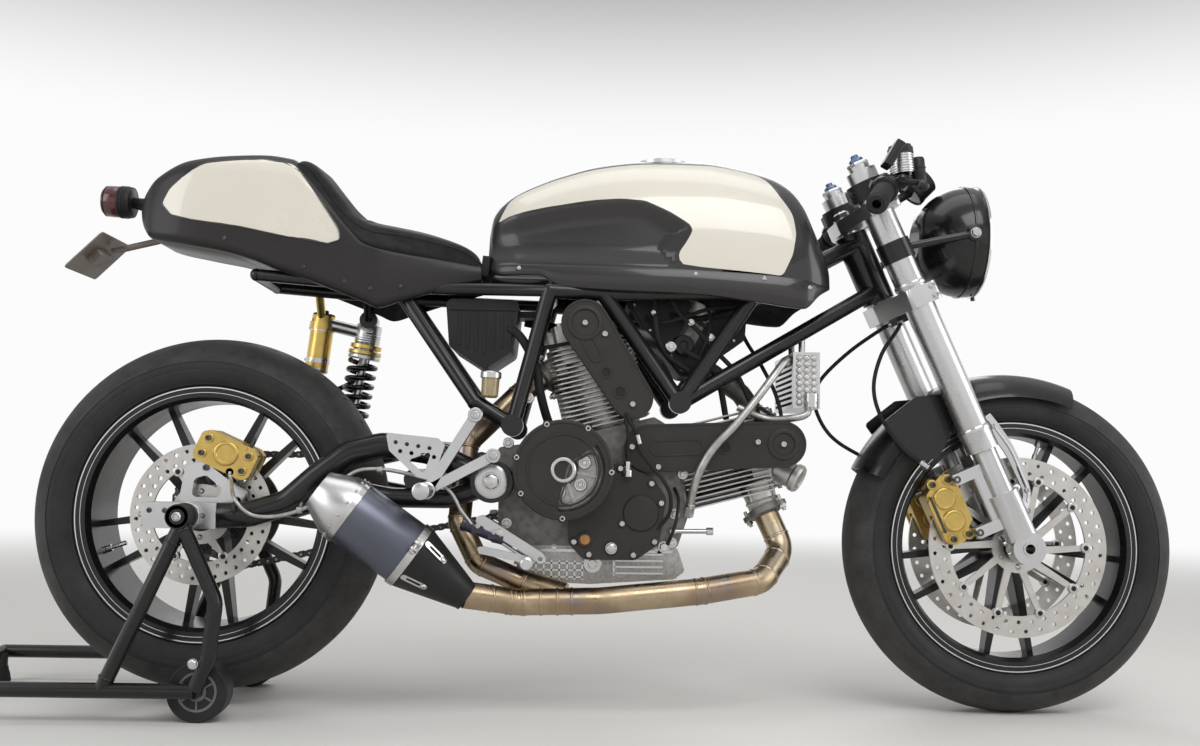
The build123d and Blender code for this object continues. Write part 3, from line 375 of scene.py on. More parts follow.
def circleOutline(x, y, radius, steps):
    return [Vector((x + dx, y + dy)) for dx, dy in ringSpots(steps, radius)]


def addPlate(bm, place, outline, low, high, holes=()):
    # A flat plate between two heights of place, with holes through it.
    loops = [[Vector(p) for p in outline]] + [[Vector(p) for p in hole] for hole in holes]
    flat = [p for loop in loops for p in loop]
    triangles = tessellate_polygon([[Vector((p.x, p.y, 0)) for p in loop] for loop in loops])
    bottom = [bm.verts.new(place @ Vector((p.x, p.y, low))) for p in flat]
    top = [bm.verts.new(place @ Vector((p.x, p.y, high))) for p in flat]
    for a, b, c in triangles:
        normalUp = (flat[b] - flat[a]).cross(flat[c] - flat[a]) > 0
        order = (a, b, c) if normalUp else (a, c, b)
        bm.faces.new([top[i] for i in order])
        bm.faces.new([bottom[i] for i in reversed(order)])
    offset = 0
    for index, loop in enumerate(loops):
        area = sum(loop[k - 1].cross(loop[k]) for k in range(len(loop)))
        forward = (area > 0) == (index == 0)
        for k in range(len(loop)):
            a, b = offset + k, offset + (k + 1) % len(loop)
            if not forward:
                a, b = b, a
            bm.faces.new((bottom[a], bottom[b], top[b], top[a]))
        offset += len(loop)


def addBox(bm, place, size, corner=0.0):
    x, y, z = (value / 2 for value in size)
    outline = [(-x, -y), (x, -y), (x, y), (-x, y)]
    outline = roundedOutline(outline, corner, 4) if corner else [Vector(p) for p in outline]
    addPlate(bm, place, outline, -z, z)


def addBolt(bm, place, radius, height, kind="socket"):
    # Heads: hex, socket (a cap with a hexagon recess) or button (a low dome with one).
    if kind == "hex":
        addLathe(bm, place,
                 [(0, 0), (0, radius * 1.22), (height * 0.15, radius * 1.22), (height * 0.15, radius)], 24)
        addLathe(bm, place, [(height * 0.15, 0), (height * 0.15, radius), (height * 0.85, radius),
                             (height, radius * 0.84), (height, 0)], 6)
        return
    recess = radius * 0.5
    if kind == "button":
        outer = [(0, 0), (0, radius), (height * 0.3, radius), (height * 0.75, radius * 0.82),
                 (height, radius * 0.6)]
    else:
        outer = [(0, 0), (0, radius), (height * 0.86, radius), (height, radius * 0.88)]
    addLathe(bm, place, outer + [(height, recess * 1.12)], 24)
    addLathe(bm, place, [(height, recess * 1.12), (height * 0.4, recess), (height * 0.4, 0)], 6)


def newShape():
    return bmesh.new()


def newShapes(count):
    return [newShape() for _ in range(count)]


def addBoss(bm, screws, place, profile, segments, bolt):
    # A turned boss with a bolt on it: the bolt's lift, radius, height and head.
    addLathe(bm, place, profile, segments)
    addBolt(screws, shiftedPlace(place, 0, 0, bolt[0]), *bolt[1:])


def finishPiece(name, bm, material, body="machine", replaces=(), smooth=35.0, bevel=0.0, keptFaces=0):
    # Makes the object in metres, with its edges, finish and body; keptFaces already face the right way.
    bmesh.ops.recalc_face_normals(bm, faces=list(bm.faces)[keptFaces:])
    bmesh.ops.scale(bm, vec=(mm, mm, mm), verts=bm.verts)
    limit = math.radians(smooth)
    for face in bm.faces:
        face.smooth = True
    for edge in bm.edges:
        if len(edge.link_faces) == 2 and edge.calc_face_angle(0) > limit:
            edge.smooth = False
    mesh = bpy.data.meshes.new(name)
    bm.to_mesh(mesh)
    bm.free()
    mesh.materials.append(material)
    piece = bpy.data.objects.new(name, mesh)
    bpy.context.scene.collection.objects.link(piece)
    if bevel:
        soften(piece, bevel, smooth)
    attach(piece, body)
    if replaces:
        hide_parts(*replaces)
    return piece


def soften(piece, width, angle):
    bevel = piece.modifiers.new("soften", "BEVEL")
    bevel.width = width * mm
    bevel.segments = 2
    bevel.limit_method = "ANGLE"
    bevel.angle_limit = math.radians(angle)
    bevel.harden_normals = True
    bevel.use_clamp_overlap = True


def applyModifier(piece, modifier):
    with bpy.context.temp_override(object=piece, active_object=piece, selected_objects=[piece]):
        bpy.ops.object.modifier_apply(modifier=modifier.name)


# Finishes. Each is made of its own grain and mottling, on a colour written as it should look.

shineSockets = {
    "coat": "Coat Weight", "coatRoughness": "Coat Roughness", "sheen": "Sheen Weight",
    "sheenRoughness": "Sheen Roughness", "specular": "Specular IOR Level", "ior": "IOR",
    "transmission": "Transmission Weight",
}


def newFinish(name, colour, roughness, metallic=0.0, **settings):
    material = bpy.data.materials.new(name)
    material.use_nodes = True
    shader = material.node_tree.nodes["Principled BSDF"]
    shader.inputs["Base Color"].default_value = (*colour, 1)
    shader.inputs["Roughness"].default_value = roughness
    shader.inputs["Metallic"].default_value = metallic
    for key, value in settings.items():
        shader.inputs[shineSockets[key]].default_value = value
    material.diffuse_color = (*colour, 1)
    return material


def objectPlace(material, scale=(1, 1, 1), turn=(0, 0, 0), shift=(0, 0, 0)):
    place = nodeOf(material, "TexCoord")
    fit = nodeOf(material, "Mapping")
    fit.inputs["Scale"].default_value = scale
    fit.inputs["Rotation"].default_value = tuple(math.radians(v) for v in turn)
    fit.inputs["Location"].default_value = shift
    joinUp(material, place.outputs["Object"], fit.inputs["Vector"])
    return fit.outputs["Vector"]


def grain(material, place, scale, detail=3.0, roughness=0.55):
    noise = nodeOf(material, "TexNoise", Scale=scale, Detail=detail, Roughness=roughness)
    joinUp(material, place, noise.inputs["Vector"])
    return noise.outputs["Fac"]


def stretched(material, value, low, high, fromLow=0.3, fromHigh=0.7):
    band = nodeOf(material, "MapRange")
    band.inputs["From Min"].default_value = fromLow
    band.inputs["From Max"].default_value = fromHigh
    band.inputs["To Min"].default_value = low
    band.inputs["To Max"].default_value = high
    joinUp(material, value, band.inputs["Value"])
    return band.outputs["Result"]


def mixColours(material, amount, first, second):
    mix = nodeOf(material, "Mix", data_type="RGBA")
    joinUp(material, amount, mix.inputs["Factor"])
    for socket, value in ((mix.inputs[6], first), (mix.inputs[7], second)):
        if isinstance(value, bpy.types.NodeSocket):
            joinUp(material, value, socket)
        else:
            socket.default_value = (*value, 1)
    return mix.outputs[2]


def setBump(material, height, depth, after=None):
    # depth is in millimetres
    bump = nodeOf(material, "Bump")
    bump.inputs["Distance"].default_value = depth * mm
    bump.inputs["Strength"].default_value = 1.0
    joinUp(material, height, bump.inputs["Height"])
    if after is not None:
        joinUp(material, after, bump.inputs["Normal"])
    return bump.outputs["Normal"]


def shaderOf(material):
    return material.node_tree.nodes["Principled BSDF"]


def flecked(material, fleck, scale, amount):
    # Small specks of another colour over the finish, as in metallic paint or cast metal.
    shader = shaderOf(material)
    under = shader.inputs["Base Color"].links[0].from_socket
    specks = grain(material, objectPlace(material), scale, 1.0)
    share = stretched(material, specks, 0.0, amount, 0.45, 0.62)
    joinUp(material, mixColours(material, share, under, fleck), shader.inputs["Base Color"])


def plainFinish(name, colour, roughness, metallic=0.0, mottle=0.8, mottleScale=9.0, grainScale=900.0,
                grainDepth=0.01,
                roughSpread=0.06, stretch=(1, 1, 1), turn=(0, 0, 0), fleck=None, **shine):
    # Cloudy colour, uneven gloss and a fine grain; fleck gives its specks' colour, scale and amount.
    material = newFinish(name, colour, roughness, metallic, **shine)
    shader = shaderOf(material)
    place = objectPlace(material)
    fine = objectPlace(material, stretch, turn)
    amount = stretched(material, grain(material, place, mottleScale), 0.0, 1.0)
    tone = mixColours(material, amount, colour, tuple(c * mottle for c in colour))
    joinUp(material, tone, shader.inputs["Base Color"])
    patches = grain(material, place, 5.0, 6.0, 0.7)
    gloss = stretched(material, patches, max(roughness - roughSpread, 0.02),
                      min(roughness + roughSpread, 1.0))
    joinUp(material, gloss, shader.inputs["Roughness"])
    if grainDepth:
        joinUp(material, setBump(material, grain(material, fine, grainScale, 2.0), grainDepth),
               shader.inputs["Normal"])
    if fleck:
        flecked(material, *fleck)
    return material


ivoryPaint = plainFinish("ivoryPaint", (0.80, 0.765, 0.665), 0.30, coat=0.9, coatRoughness=0.05,
                         specular=0.5, mottle=0.965, mottleScale=5.0, grainScale=260.0, grainDepth=0.004,
                         roughSpread=0.04)
graphitePaint = plainFinish("graphitePaint", (0.024, 0.022, 0.022), 0.38, 0.35, coat=0.5,
                            coatRoughness=0.10, specular=0.35, mottle=0.82, mottleScale=7.0,
                            grainScale=300.0, grainDepth=0.004, fleck=((0.085, 0.08, 0.08), 2600.0, 0.4))
tailGraphite = plainFinish("tailGraphite", (0.020, 0.018, 0.018), 0.46, 0.25, coat=0.2, coatRoughness=0.2,
                           specular=0.2, mottle=0.86, grainScale=300.0, grainDepth=0.004,
                           fleck=((0.07, 0.066, 0.066), 2600.0, 0.4))
blackGloss = plainFinish("blackGloss", (0.006, 0.006, 0.006), 0.26, coat=0.35, coatRoughness=0.08,
                         specular=0.3, mottle=1.6, mottleScale=8.0, grainScale=350.0, grainDepth=0.006)
frameBlack = plainFinish("frameBlack", (0.006, 0.006, 0.006), 0.28, coat=0.3, coatRoughness=0.1,
                         specular=0.3, mottle=1.9, mottleScale=14.0, grainScale=500.0)
wheelBlack = plainFinish("wheelBlack", (0.006, 0.006, 0.0065), 0.30, coat=0.25, coatRoughness=0.15,
                         specular=0.3, mottle=2.0, mottleScale=12.0, grainScale=600.0, grainDepth=0.012,
                         roughSpread=0.1)
blackSatin = plainFinish("blackSatin", (0.012, 0.0115, 0.0115), 0.46, specular=0.3, mottle=1.5,
                         mottleScale=16.0, grainScale=700.0, grainDepth=0.03, roughSpread=0.09)
coverGraphite = plainFinish("coverGraphite", (0.034, 0.031, 0.029), 0.46, 0.25, specular=0.35, mottle=0.72,
                            mottleScale=18.0, grainScale=650.0, grainDepth=0.035, roughSpread=0.08,
                            fleck=((0.07, 0.066, 0.062), 1500.0, 0.4))
castAlloy = plainFinish("castAlloy", (0.46, 0.45, 0.435), 0.46, 0.9, mottleScale=24.0, grainScale=420.0,
                        grainDepth=0.05, roughSpread=0.1, fleck=((0.26, 0.24, 0.22), 160.0, 0.35))
finAlloy = plainFinish("finAlloy", (0.62, 0.61, 0.59), 0.40, 0.75, mottle=0.82, mottleScale=14.0,
                       grainScale=420.0, grainDepth=0.04, roughSpread=0.1)
purpleGrey = plainFinish("purpleGrey", (0.065, 0.055, 0.085), 0.36, 0.6, mottleScale=30.0, grainScale=700.0,
                         grainDepth=0.02)
engineGrey = plainFinish("engineGrey", (0.24, 0.23, 0.22), 0.50, 0.8, mottle=0.75, mottleScale=20.0,
                         grainScale=420.0, grainDepth=0.06, roughSpread=0.1,
                         fleck=((0.13, 0.12, 0.11), 80.0, 0.5))
satinAlloy = plainFinish("satinAlloy", (0.60, 0.60, 0.605), 0.32, 1.0, mottle=0.88, mottleScale=11.0,
                         grainScale=420.0, grainDepth=0.008, roughSpread=0.07, stretch=(1, 1, 0.05))
forkAlloy = plainFinish("forkAlloy", (0.62, 0.62, 0.63), 0.28, 1.0, mottle=0.90, mottleScale=7.0,
                        grainScale=700.0, grainDepth=0.006, roughSpread=0.05, stretch=(1, 1, 0.03),
                        turn=(0, 23.6, 0))
brightSteel = plainFinish("brightSteel", (0.62, 0.61, 0.60), 0.28, 1.0, mottleScale=30.0, grainDepth=0.008,
                          roughSpread=0.08)
chromedSteel = plainFinish("chromedSteel", (0.72, 0.72, 0.72), 0.14, 1.0, mottle=0.9, mottleScale=14.0,
                           grainScale=300.0, grainDepth=0.003, roughSpread=0.05)
darkSteel = plainFinish("darkSteel", (0.13, 0.125, 0.12), 0.40, 0.9, mottle=0.6, mottleScale=40.0,
                        grainDepth=0.02, roughSpread=0.1)
goldAlloy = plainFinish("goldAlloy", (0.66, 0.47, 0.145), 0.34, 1.0, mottle=0.78, mottleScale=26.0,
                        grainScale=700.0, grainDepth=0.02, roughSpread=0.07)
mufflerMetal = plainFinish("mufflerMetal", (0.155, 0.165, 0.205), 0.36, 0.9, mottle=0.75, mottleScale=6.0,
                           grainScale=600.0)
blackPlastic = plainFinish("blackPlastic", (0.010, 0.010, 0.0105), 0.48, specular=0.3, mottle=1.5,
                           mottleScale=20.0, grainScale=1100.0, grainDepth=0.03, roughSpread=0.08)
blackRubber = plainFinish("blackRubber", (0.013, 0.013, 0.013), 0.70, specular=0.25, mottle=1.7,
                          mottleScale=18.0, grainScale=800.0, grainDepth=0.03, roughSpread=0.1)
redPlastic = plainFinish("redPlastic", (0.085, 0.006, 0.006), 0.16, coat=0.6, mottleScale=40.0)
plateGrey = plainFinish("plateGrey", (0.20, 0.175, 0.15), 0.40, 0.35, mottle=0.82, mottleScale=12.0,
                        grainScale=500.0, grainDepth=0.02, roughSpread=0.08)
hoseSilver = plainFinish("hoseSilver", (0.50, 0.49, 0.47), 0.38, 0.8, mottle=0.7, mottleScale=60.0,
                         grainScale=1600.0, grainDepth=0.06)
rollerPlastic = plainFinish("rollerPlastic", (0.012, 0.012, 0.0125), 0.55, specular=0.3, mottle=2.0,
                            mottleScale=25.0, grainScale=500.0, grainDepth=0.05, roughSpread=0.1)
hubGrey = plainFinish("hubGrey", (0.20, 0.20, 0.20), 0.50, 0.2, mottle=0.7, mottleScale=30.0,
                      grainScale=600.0, grainDepth=0.04)
amberFluid = plainFinish("amberFluid", (0.55, 0.22, 0.02), 0.16, coat=0.8, coatRoughness=0.05, mottle=0.6,
                         mottleScale=60.0, grainScale=200.0, grainDepth=0.0)
smokedFluid = plainFinish("smokedFluid", (0.42, 0.33, 0.17), 0.22, coat=0.6, coatRoughness=0.08, mottle=0.7,
                          mottleScale=50.0, grainScale=300.0, grainDepth=0.0)


def makeRubber(name, colour, rough, specular, low, high, dustGrain, dustHigh, glossScale, gloss, grainScale,
               depth):
    # Dusty black rubber: two tones mixed by dust, an uneven gloss and a fine grain.
    material = newFinish(name, colour, rough, specular=specular)
    shader = shaderOf(material)
    place = objectPlace(material)
    dust = stretched(material, grain(material, place, *dustGrain), 0.0, 1.0, *dustHigh)
    joinUp(material, mixColours(material, dust, low, high), shader.inputs["Base Color"])
    joinUp(material, stretched(material, grain(material, place, glossScale, 4.0), *gloss),
           shader.inputs["Roughness"])
    joinUp(material, setBump(material, grain(material, place, grainScale, 2.0), depth),
           shader.inputs["Normal"])
    return material


def makeDiscSteel(name, centre):
    # Ground steel: fine turning lines round the axle and a cloudy, uneven tone.
    material = newFinish(name, (0.60, 0.585, 0.565), 0.36, 1.0)
    shader = shaderOf(material)
    place = objectPlace(material, shift=tuple(-v * mm for v in centre))
    flat = nodeOf(material, "VectorMath", operation="MULTIPLY")
    flat.inputs[1].default_value = (1, 0, 1)
    joinUp(material, place, flat.inputs[0])
    reach = nodeOf(material, "VectorMath", operation="LENGTH")
    joinUp(material, flat.outputs[0], reach.inputs[0])
    lines = nodeOf(material, "TexNoise", noise_dimensions="1D", Scale=2600.0, Detail=3.0)
    joinUp(material, reach.outputs["Value"], lines.inputs["W"])
    cloud = stretched(material, grain(material, place, 16.0, 5.0, 0.7), 0.0, 1.0)
    tone = mixColours(material, cloud, (0.64, 0.625, 0.60), (0.50, 0.475, 0.445))
    joinUp(material, tone, shader.inputs["Base Color"])
    joinUp(material, stretched(material, lines.outputs["Fac"], 0.26, 0.46), shader.inputs["Roughness"])
    joinUp(material, setBump(material, lines.outputs["Fac"], 0.012), shader.inputs["Normal"])
    return material


def makeHeaderSteel():
    # Stainless pipe stained straw, bronze and a little blue by the heat.
    material = newFinish("headerSteel", (0.42, 0.34, 0.24), 0.30, 1.0)
    shader = shaderOf(material)
    place = objectPlace(material)
    ramp = nodeOf(material, "ValToRGB")
    stops = [(0.0, (0.46, 0.42, 0.36)), (0.35, (0.44, 0.35, 0.23)), (0.6, (0.34, 0.25, 0.16)),
             (0.8, (0.27, 0.22, 0.20)), (1.0, (0.40, 0.37, 0.34))]
    while len(ramp.color_ramp.elements) < len(stops):
        ramp.color_ramp.elements.new(0.5)
    for element, (spot, colour) in zip(ramp.color_ramp.elements, stops):
        element.position = spot
        element.color = (*colour, 1)
    heat = grain(material, place, 7.0, 4.0, 0.6)
    joinUp(material, stretched(material, heat, 0.0, 1.0, 0.25, 0.75), ramp.inputs["Fac"])
    joinUp(material, ramp.outputs["Color"], shader.inputs["Base Color"])
    joinUp(material, stretched(material, grain(material, place, 40.0, 5.0), 0.22, 0.42),
           shader.inputs["Roughness"])
    joinUp(material, setBump(material, grain(material, place, 300.0, 2.0), 0.02), shader.inputs["Normal"])
    return material


def makeSuede():
    material = newFinish("seatSuede", (0.017, 0.016, 0.017), 0.92, sheen=0.35, sheenRoughness=0.45,
                         specular=0.2)
    shader = shaderOf(material)
    place = objectPlace(material)
    brushed = stretched(material, grain(material, place, 22.0, 6.0, 0.7), 0.0, 1.0, 0.35, 0.7)
    tone = mixColours(material, brushed, (0.013, 0.013, 0.014), (0.030, 0.029, 0.030))
    joinUp(material, tone, shader.inputs["Base Color"])
    joinUp(material, stretched(material, grain(material, place, 60.0, 4.0), 0.84, 1.0),
           shader.inputs["Roughness"])
    nap = setBump(material, grain(material, place, 1800.0, 3.0), 0.18)
    joinUp(material, setBump(material, grain(material, place, 35.0, 3.0), 0.5, nap), shader.inputs["Normal"])
    return material


def makeLampGlass():
    material = newFinish("lampGlass", (0.93, 0.95, 0.96), 0.03, transmission=1.0, ior=1.45)
    shader = shaderOf(material)
    place = objectPlace(material)
    joinUp(material, stretched(material, grain(material, place, 30.0, 4.0), 0.01, 0.06),
           shader.inputs["Roughness"])
    joinUp(material,
           mixColours(material, grain(material, place, 12.0), (0.93, 0.95, 0.96), (0.90, 0.93, 0.94)),
           shader.inputs["Base Color"])
    return material


tyreRubber = makeRubber("tyreRubber", (0.045, 0.044, 0.044), 0.70, 0.25, (0.034, 0.033, 0.033),
                        (0.068, 0.066, 0.065),
                        (26.0, 6.0, 0.7), (0.35, 0.75), 9.0, (0.52, 0.80), 1500.0, 0.05)
sidewallRubber = makeRubber("sidewallRubber", (0.022, 0.022, 0.023), 0.56, 0.3, (0.016, 0.016, 0.017),
                            (0.034, 0.033, 0.033),
                            (15.0, 7.0, 0.72), (0.3, 0.75), 11.0, (0.46, 0.72), 1300.0, 0.03)
frontDiscSteel = makeDiscSteel("frontDiscSteel", frontAxle)
rearDiscSteel = makeDiscSteel("rearDiscSteel", rearAxle)
headerSteel = makeHeaderSteel()
seatSuede = makeSuede()
lampGlass = makeLampGlass()
print("finishes made:", len(bpy.data.materials))


# Finishes on the pieces whose CAD shape stays

nodeFinish = {
    "trellis_frame": frameBlack, "battery_box": blackSatin, "engine_block": engineGrey,
    "right_engine_cover": coverGraphite, "clutch_cover": coverGraphite, "clutch_pack": castAlloy,
    "left_engine_cover": coverGraphite, "front_cylinder": finAlloy, "rear_cylinder": finAlloy,
    "belt_covers": coverGraphite, "oil_sump": castAlloy, "throttle_bodies": engineGrey,
    "oil_cooler": satinAlloy, "exhaust_headers": headerSteel, "muffler": mufflerMetal,
    "swingarm": frameBlack, "rear_axle": satinAlloy, "drive_chain": darkSteel, "rear_caliper": goldAlloy,
    "shock_absorber": satinAlloy, "shock_spring": blackGloss, "shock_reservoir": goldAlloy,
    "rearset_plates": satinAlloy, "foot_controls": satinAlloy, "fuel_tank": graphitePaint,
    "tail_cowl": tailGraphite, "seat_pad": seatSuede, "tail_light": blackPlastic, "number_plate": plateGrey,
    "paddock_stand": frameBlack, "stand_roller_right": rollerPlastic, "stand_roller_left": rollerPlastic,
    "front_tyre": tyreRubber, "rear_tyre": tyreRubber, "front_rim": wheelBlack, "rear_rim": wheelBlack,
    "front_discs": frontDiscSteel, "rear_disc": rearDiscSteel, "rear_sprocket": darkSteel,
    "fork_clamps": satinAlloy, "fork_tubes": forkAlloy, "fork_sliders": satinAlloy, "front_axle": brightSteel,
    "front_calipers": goldAlloy, "front_fender": blackGloss, "headlight": blackGloss,
    "headlight_lens": lampGlass, "handlebars": blackSatin, "hand_controls": blackSatin,
    "instrument": blackPlastic, "brake_hoses": blackRubber,
}
for name, material in nodeFinish.items():
    cad[name].data.materials.clear()
    cad[name].data.materials.append(material)
print("CAD pieces finished:", len(nodeFinish))


# Skins: a smooth surface over cross-sections, divided into painted panels along outlines.
# The chart of a skin is x along the motorcycle and w, the way up round the section from its lower edge.

def smoothStep(value):
    value = min(max(value, 0.0), 1.0)
    return value * value * (3 - 2 * value)


def tabled(rows, x, column):
    # Smoothly reads a column of a table whose first column rises; it keeps flat runs flat.
    if x <= rows[0][0]:
        return rows[0][column]
    for i in range(len(rows) - 1):
        a, b = rows[i], rows[i + 1]
        if x <= b[0]:
            span = b[0] - a[0]
            slope = (b[column] - a[column]) / span
            before = after = slope
            if i:
                before = (a[column] - rows[i - 1][column]) / (a[0] - rows[i - 1][0])
            if i + 2 < len(rows):
                after = (rows[i + 2][column] - b[column]) / (rows[i + 2][0] - b[0])
            start = 0.0 if before * slope <= 0 else 2 * before * slope / (before + slope)
            stop = 0.0 if after * slope <= 0 else 2 * after * slope / (after + slope)
            t = (x - a[0]) / span
            return (a[column] * (1 + 2 * t) * (1 - t) ** 2 + b[column] * t * t * (3 - 2 * t)
                    + span * (start * t * (1 - t) ** 2 - stop * t * t * (1 - t)))
    return rows[-1][column]


def nearestOn(outline, x, w, closed=True):
    # Distance from an outline and the nearest place on it.
    best = (1e9, x, w)
    for i in range(0 if closed else 1, len(outline)):
        (ax, aw), (bx, bw) = outline[i - 1], outline[i]
        dx, dw = bx - ax, bw - aw
        t = min(max(((x - ax) * dx + (w - aw) * dw) / max(dx * dx + dw * dw, 1e-9), 0.0), 1.0)
        px, pw = ax + t * dx, aw + t * dw
        gap = math.hypot(x - px, w - pw)
        if gap < best[0]:
            best = (gap, px, pw)
    return best


def isInside(outline, x, w):
    inside = False
    for i in range(len(outline)):
        (ax, aw), (bx, bw) = outline[i - 1], outline[i]
        if (aw > w) != (bw > w) and x < ax + (w - aw) * (bx - ax) / (bw - aw):
            inside = not inside
    return inside


def rounded2(points, radius, steps=6):
    return [(p.x, p.y) for p in roundedOutline([Vector(p) for p in points], radius, steps)]


def cutGrid(xs, ws, panels, splitEdges=False):
    # Snaps a grid to the panels' outlines; returns the faces inside and outside them, as (x, w) corners.
    found = {}

    def nearestPanel(x, w):
        gap, px, pw = min(nearestOn(p, x, w) for p in panels)
        found[x, w] = (px, pw)
        return gap if any(isInside(p, x, w) for p in panels) else -gap

    reach = [[nearestPanel(x, w) for w in ws] for x in xs]
    grid = [[(x, w) for w in ws] for x in xs]
    signs = [list(row) for row in reach]
    cells = [(i, k, i + 1, k) for i in range(len(xs) - 1) for k in range(len(ws))]
    cells += [(i, k, i, k + 1) for i in range(len(xs)) for k in range(len(ws) - 1)]
    for i, k, m, n in cells:
        if signs[i][k] * signs[m][n] < 0 and reach[i][k] and reach[m][n]:
            a, b = ((i, k), (m, n)) if abs(signs[i][k]) < abs(signs[m][n]) else ((m, n), (i, k))
            reach[a[0]][a[1]] = 0.0
            grid[a[0]][a[1]] = found[grid[a[0]][a[1]]]
    inner, outer = [], []
    for i in range(len(xs) - 1):
        for k in range(len(ws) - 1):
            spots = [(i, k), (i + 1, k), (i + 1, k + 1), (i, k + 1)]
            values = [reach[a][b] for a, b in spots]
            halves = [(0, 1, 2, 3)]
            if min(values) < 0 < max(values):
                cut = 0 if abs(values[0]) + abs(values[2]) <= abs(values[1]) + abs(values[3]) else 1
                halves = [(cut, cut + 1, cut + 2), (cut + 2, (cut + 3) % 4, cut)]
            elif splitEdges and 0.0 in values:
                cut = 0 if values[0] == 0 or values[2] == 0 else 1
                halves = [(cut, cut + 1, cut + 2), (cut + 2, (cut + 3) % 4, cut)]
            for half in halves:
                face = [grid[spots[c % 4][0]][spots[c % 4][1]] for c in half]
                total = sum(values[c % 4] for c in half)
                (inner if total > 0 else outer).append(face)
    return inner, outer


def skinPiece(surface, faces, extra=None):
    # Both halves of a set of skin faces as one shape, and the smooth normal for each of its points.
    bm = newShape()
    found, normals = {}, []

    def point(x, w, sign):
        if abs(w - surface.top) < 1e-6:
            sign = 1
        key = (round(x, 3), round(w, 3), sign)
        if key not in found:
            spot = surface(x, w)
            along = surface(x + 0.4, w) - surface(x - 0.4, w)
            up = surface(x, min(w + 0.4, surface.top)) - surface(x, w - 0.4)
            normal = up.cross(along).normalized()
            if abs(w - surface.top) < 1e-6:
                normal = Vector((normal.x, 0, normal.z)).normalized()
            spot = Vector((spot.x, spot.y * sign, spot.z))
            found[key] = bm.verts.new(spot)
            normals.append((normal.x, normal.y * sign, normal.z))
        return found[key]

    for sign in (1, -1):
        for face in faces:
            corners = [point(x, w, sign) for x, w in face]
            addUniqueFace(bm, list(dict.fromkeys(corners))[::-sign])
    kept = len(bm.faces)
    if extra:
        extra(bm)
    return bm, normals, kept


def finishSkin(name, built, material, replaces=()):
    bm, normals, kept = built
    spare = len(bm.verts) - len(normals)
    piece = finishPiece(name, bm, material, replaces=replaces, smooth=50.0, keptFaces=kept)
    piece.data.normals_split_custom_set_from_vertices(normals + [(0, 0, 0)] * spare)


# Fuel tank

tankLook = {
    "kneeDepth": 17.0,  # how far in the knee's hollow goes
    "kneeReach": 42.0,  # how far from its outline it is at its full depth
    "stripe": 183.0,  # how far up the side the dark strip along the top begins
    "paint": ivoryPaint,
    "shell": graphitePaint,
}
tankStart, tankLong = -150, 612
# x, half width at the crease, crease height, top height
tankRows = [
    (-150, 52, 790, 858), (-143, 62, 790, 890), (-120, 80, 789, 919), (-98, 92, 788, 935),
    (-60, 104, 786, 953),
    (-24, 113, 784, 967), (51, 128, 781, 988), (126, 138, 779, 997), (180, 142, 778, 998),
    (239, 145, 775, 997),
    (314, 146, 771, 985), (360, 144, 768, 973), (381, 142, 766, 964), (400, 139, 764, 949),
    (418, 135, 762, 925),
    (439, 124, 757, 876), (452, 113, 757, 842), (462, 100, 757, 812),
]
# x, lower edge of the band
tankEdge = [(-150, 776), (-124, 769), (-52, 766), (-36, 756), (-16, 746), (87, 738), (227, 732), (333, 720),
            (410, 712), (440, 738), (462, 752)]
kneeLine = [(-190, 866), (-100, 879), (-21, 893), (84, 903), (129, 899), (173, 878), (206, 856), (210, 846),
            (199, 824), (186, 803), (190, 788), (170, 779), (0, 785), (-190, 792)]
panelLine = [(-133, 868), (-100, 881), (-21, 895), (84, 905), (129, 901), (173, 880), (209, 856), (213, 845),
             (201, 824), (187, 803), (192, 786), (227, 781), (297, 775), (371, 768), (389, 806), (396, 844),
             (392, 880), (370, 916)]


def tankSurface(x, w):
    half, crease, high = (tabled(tankRows, x, c) for c in (1, 2, 3))
    t = w / tankSurface.top
    tall = high - crease
    corners = [(half, crease), (half * 1.015, crease + 0.70 * tall), (half * 0.68, high), (0.0, high)]
    shares = ((1 - t) ** 3, 3 * t * (1 - t) ** 2, 3 * t * t * (1 - t), t ** 3)
    y, z = (sum(corner[axis] * share for corner, share in zip(corners, shares)) for axis in (0, 1))
    if x < 215 and z < 905 and isInside(kneeLine, x, z):
        gap = nearestOn(kneeLine, x, z, closed=False)[0]
        y -= tankLook["kneeDepth"] * math.sin(min(gap / tankLook["kneeReach"], 1.0) * math.pi / 2) ** 1.3
    return Vector((x, y, z))


tankSurface.top = 260.0


def chartOf(surface, x, z):
    # The chart's w of a side-view point.
    low, high = 0.0, surface.top
    for step in range(24):
        middle = (low + high) / 2
        if surface(x, middle).z < z:
            low = middle
        else:
            high = middle
    return low


def tankBottom(bm):
    # The band along the lower edge, rolled under to the tank's floor, and both ends.
    xs = [tankStart + tankLong * i / 102 for i in range(103)]
    for sign in (1, -1):
        rows = []
        for x in xs:
            half, crease = tabled(tankRows, x, 1), tabled(tankRows, x, 2)
            edge = min(tabled(tankEdge, x, 1), crease - 5)
            roof = max(779, edge + 8)
            inner = min(half - 10, 124)
            line = [(half, crease), (half + 1.5, crease - 1.5), (half + 1.5, edge + 3), (half - 1, edge),
                    (half - 7, edge),
                    (half - 9, edge + 3), (inner, min(roof, crease + 8)), (0, min(roof, crease + 8))]
            rows.append([Vector((x, y * sign, z)) for y, z in line])
        addRings(bm, rows, closedAround=False)
        for x in (xs[0], xs[-1]):
            side = [tankSurface(x, tankSurface.top * k / 12) for k in range(13)]
            ring = [Vector((x, p.y * sign, p.z)) for p in side] + [Vector((x, 0, tabled(tankRows, x, 2)))]
            bm.faces.new([bm.verts.new(p) for p in ring])


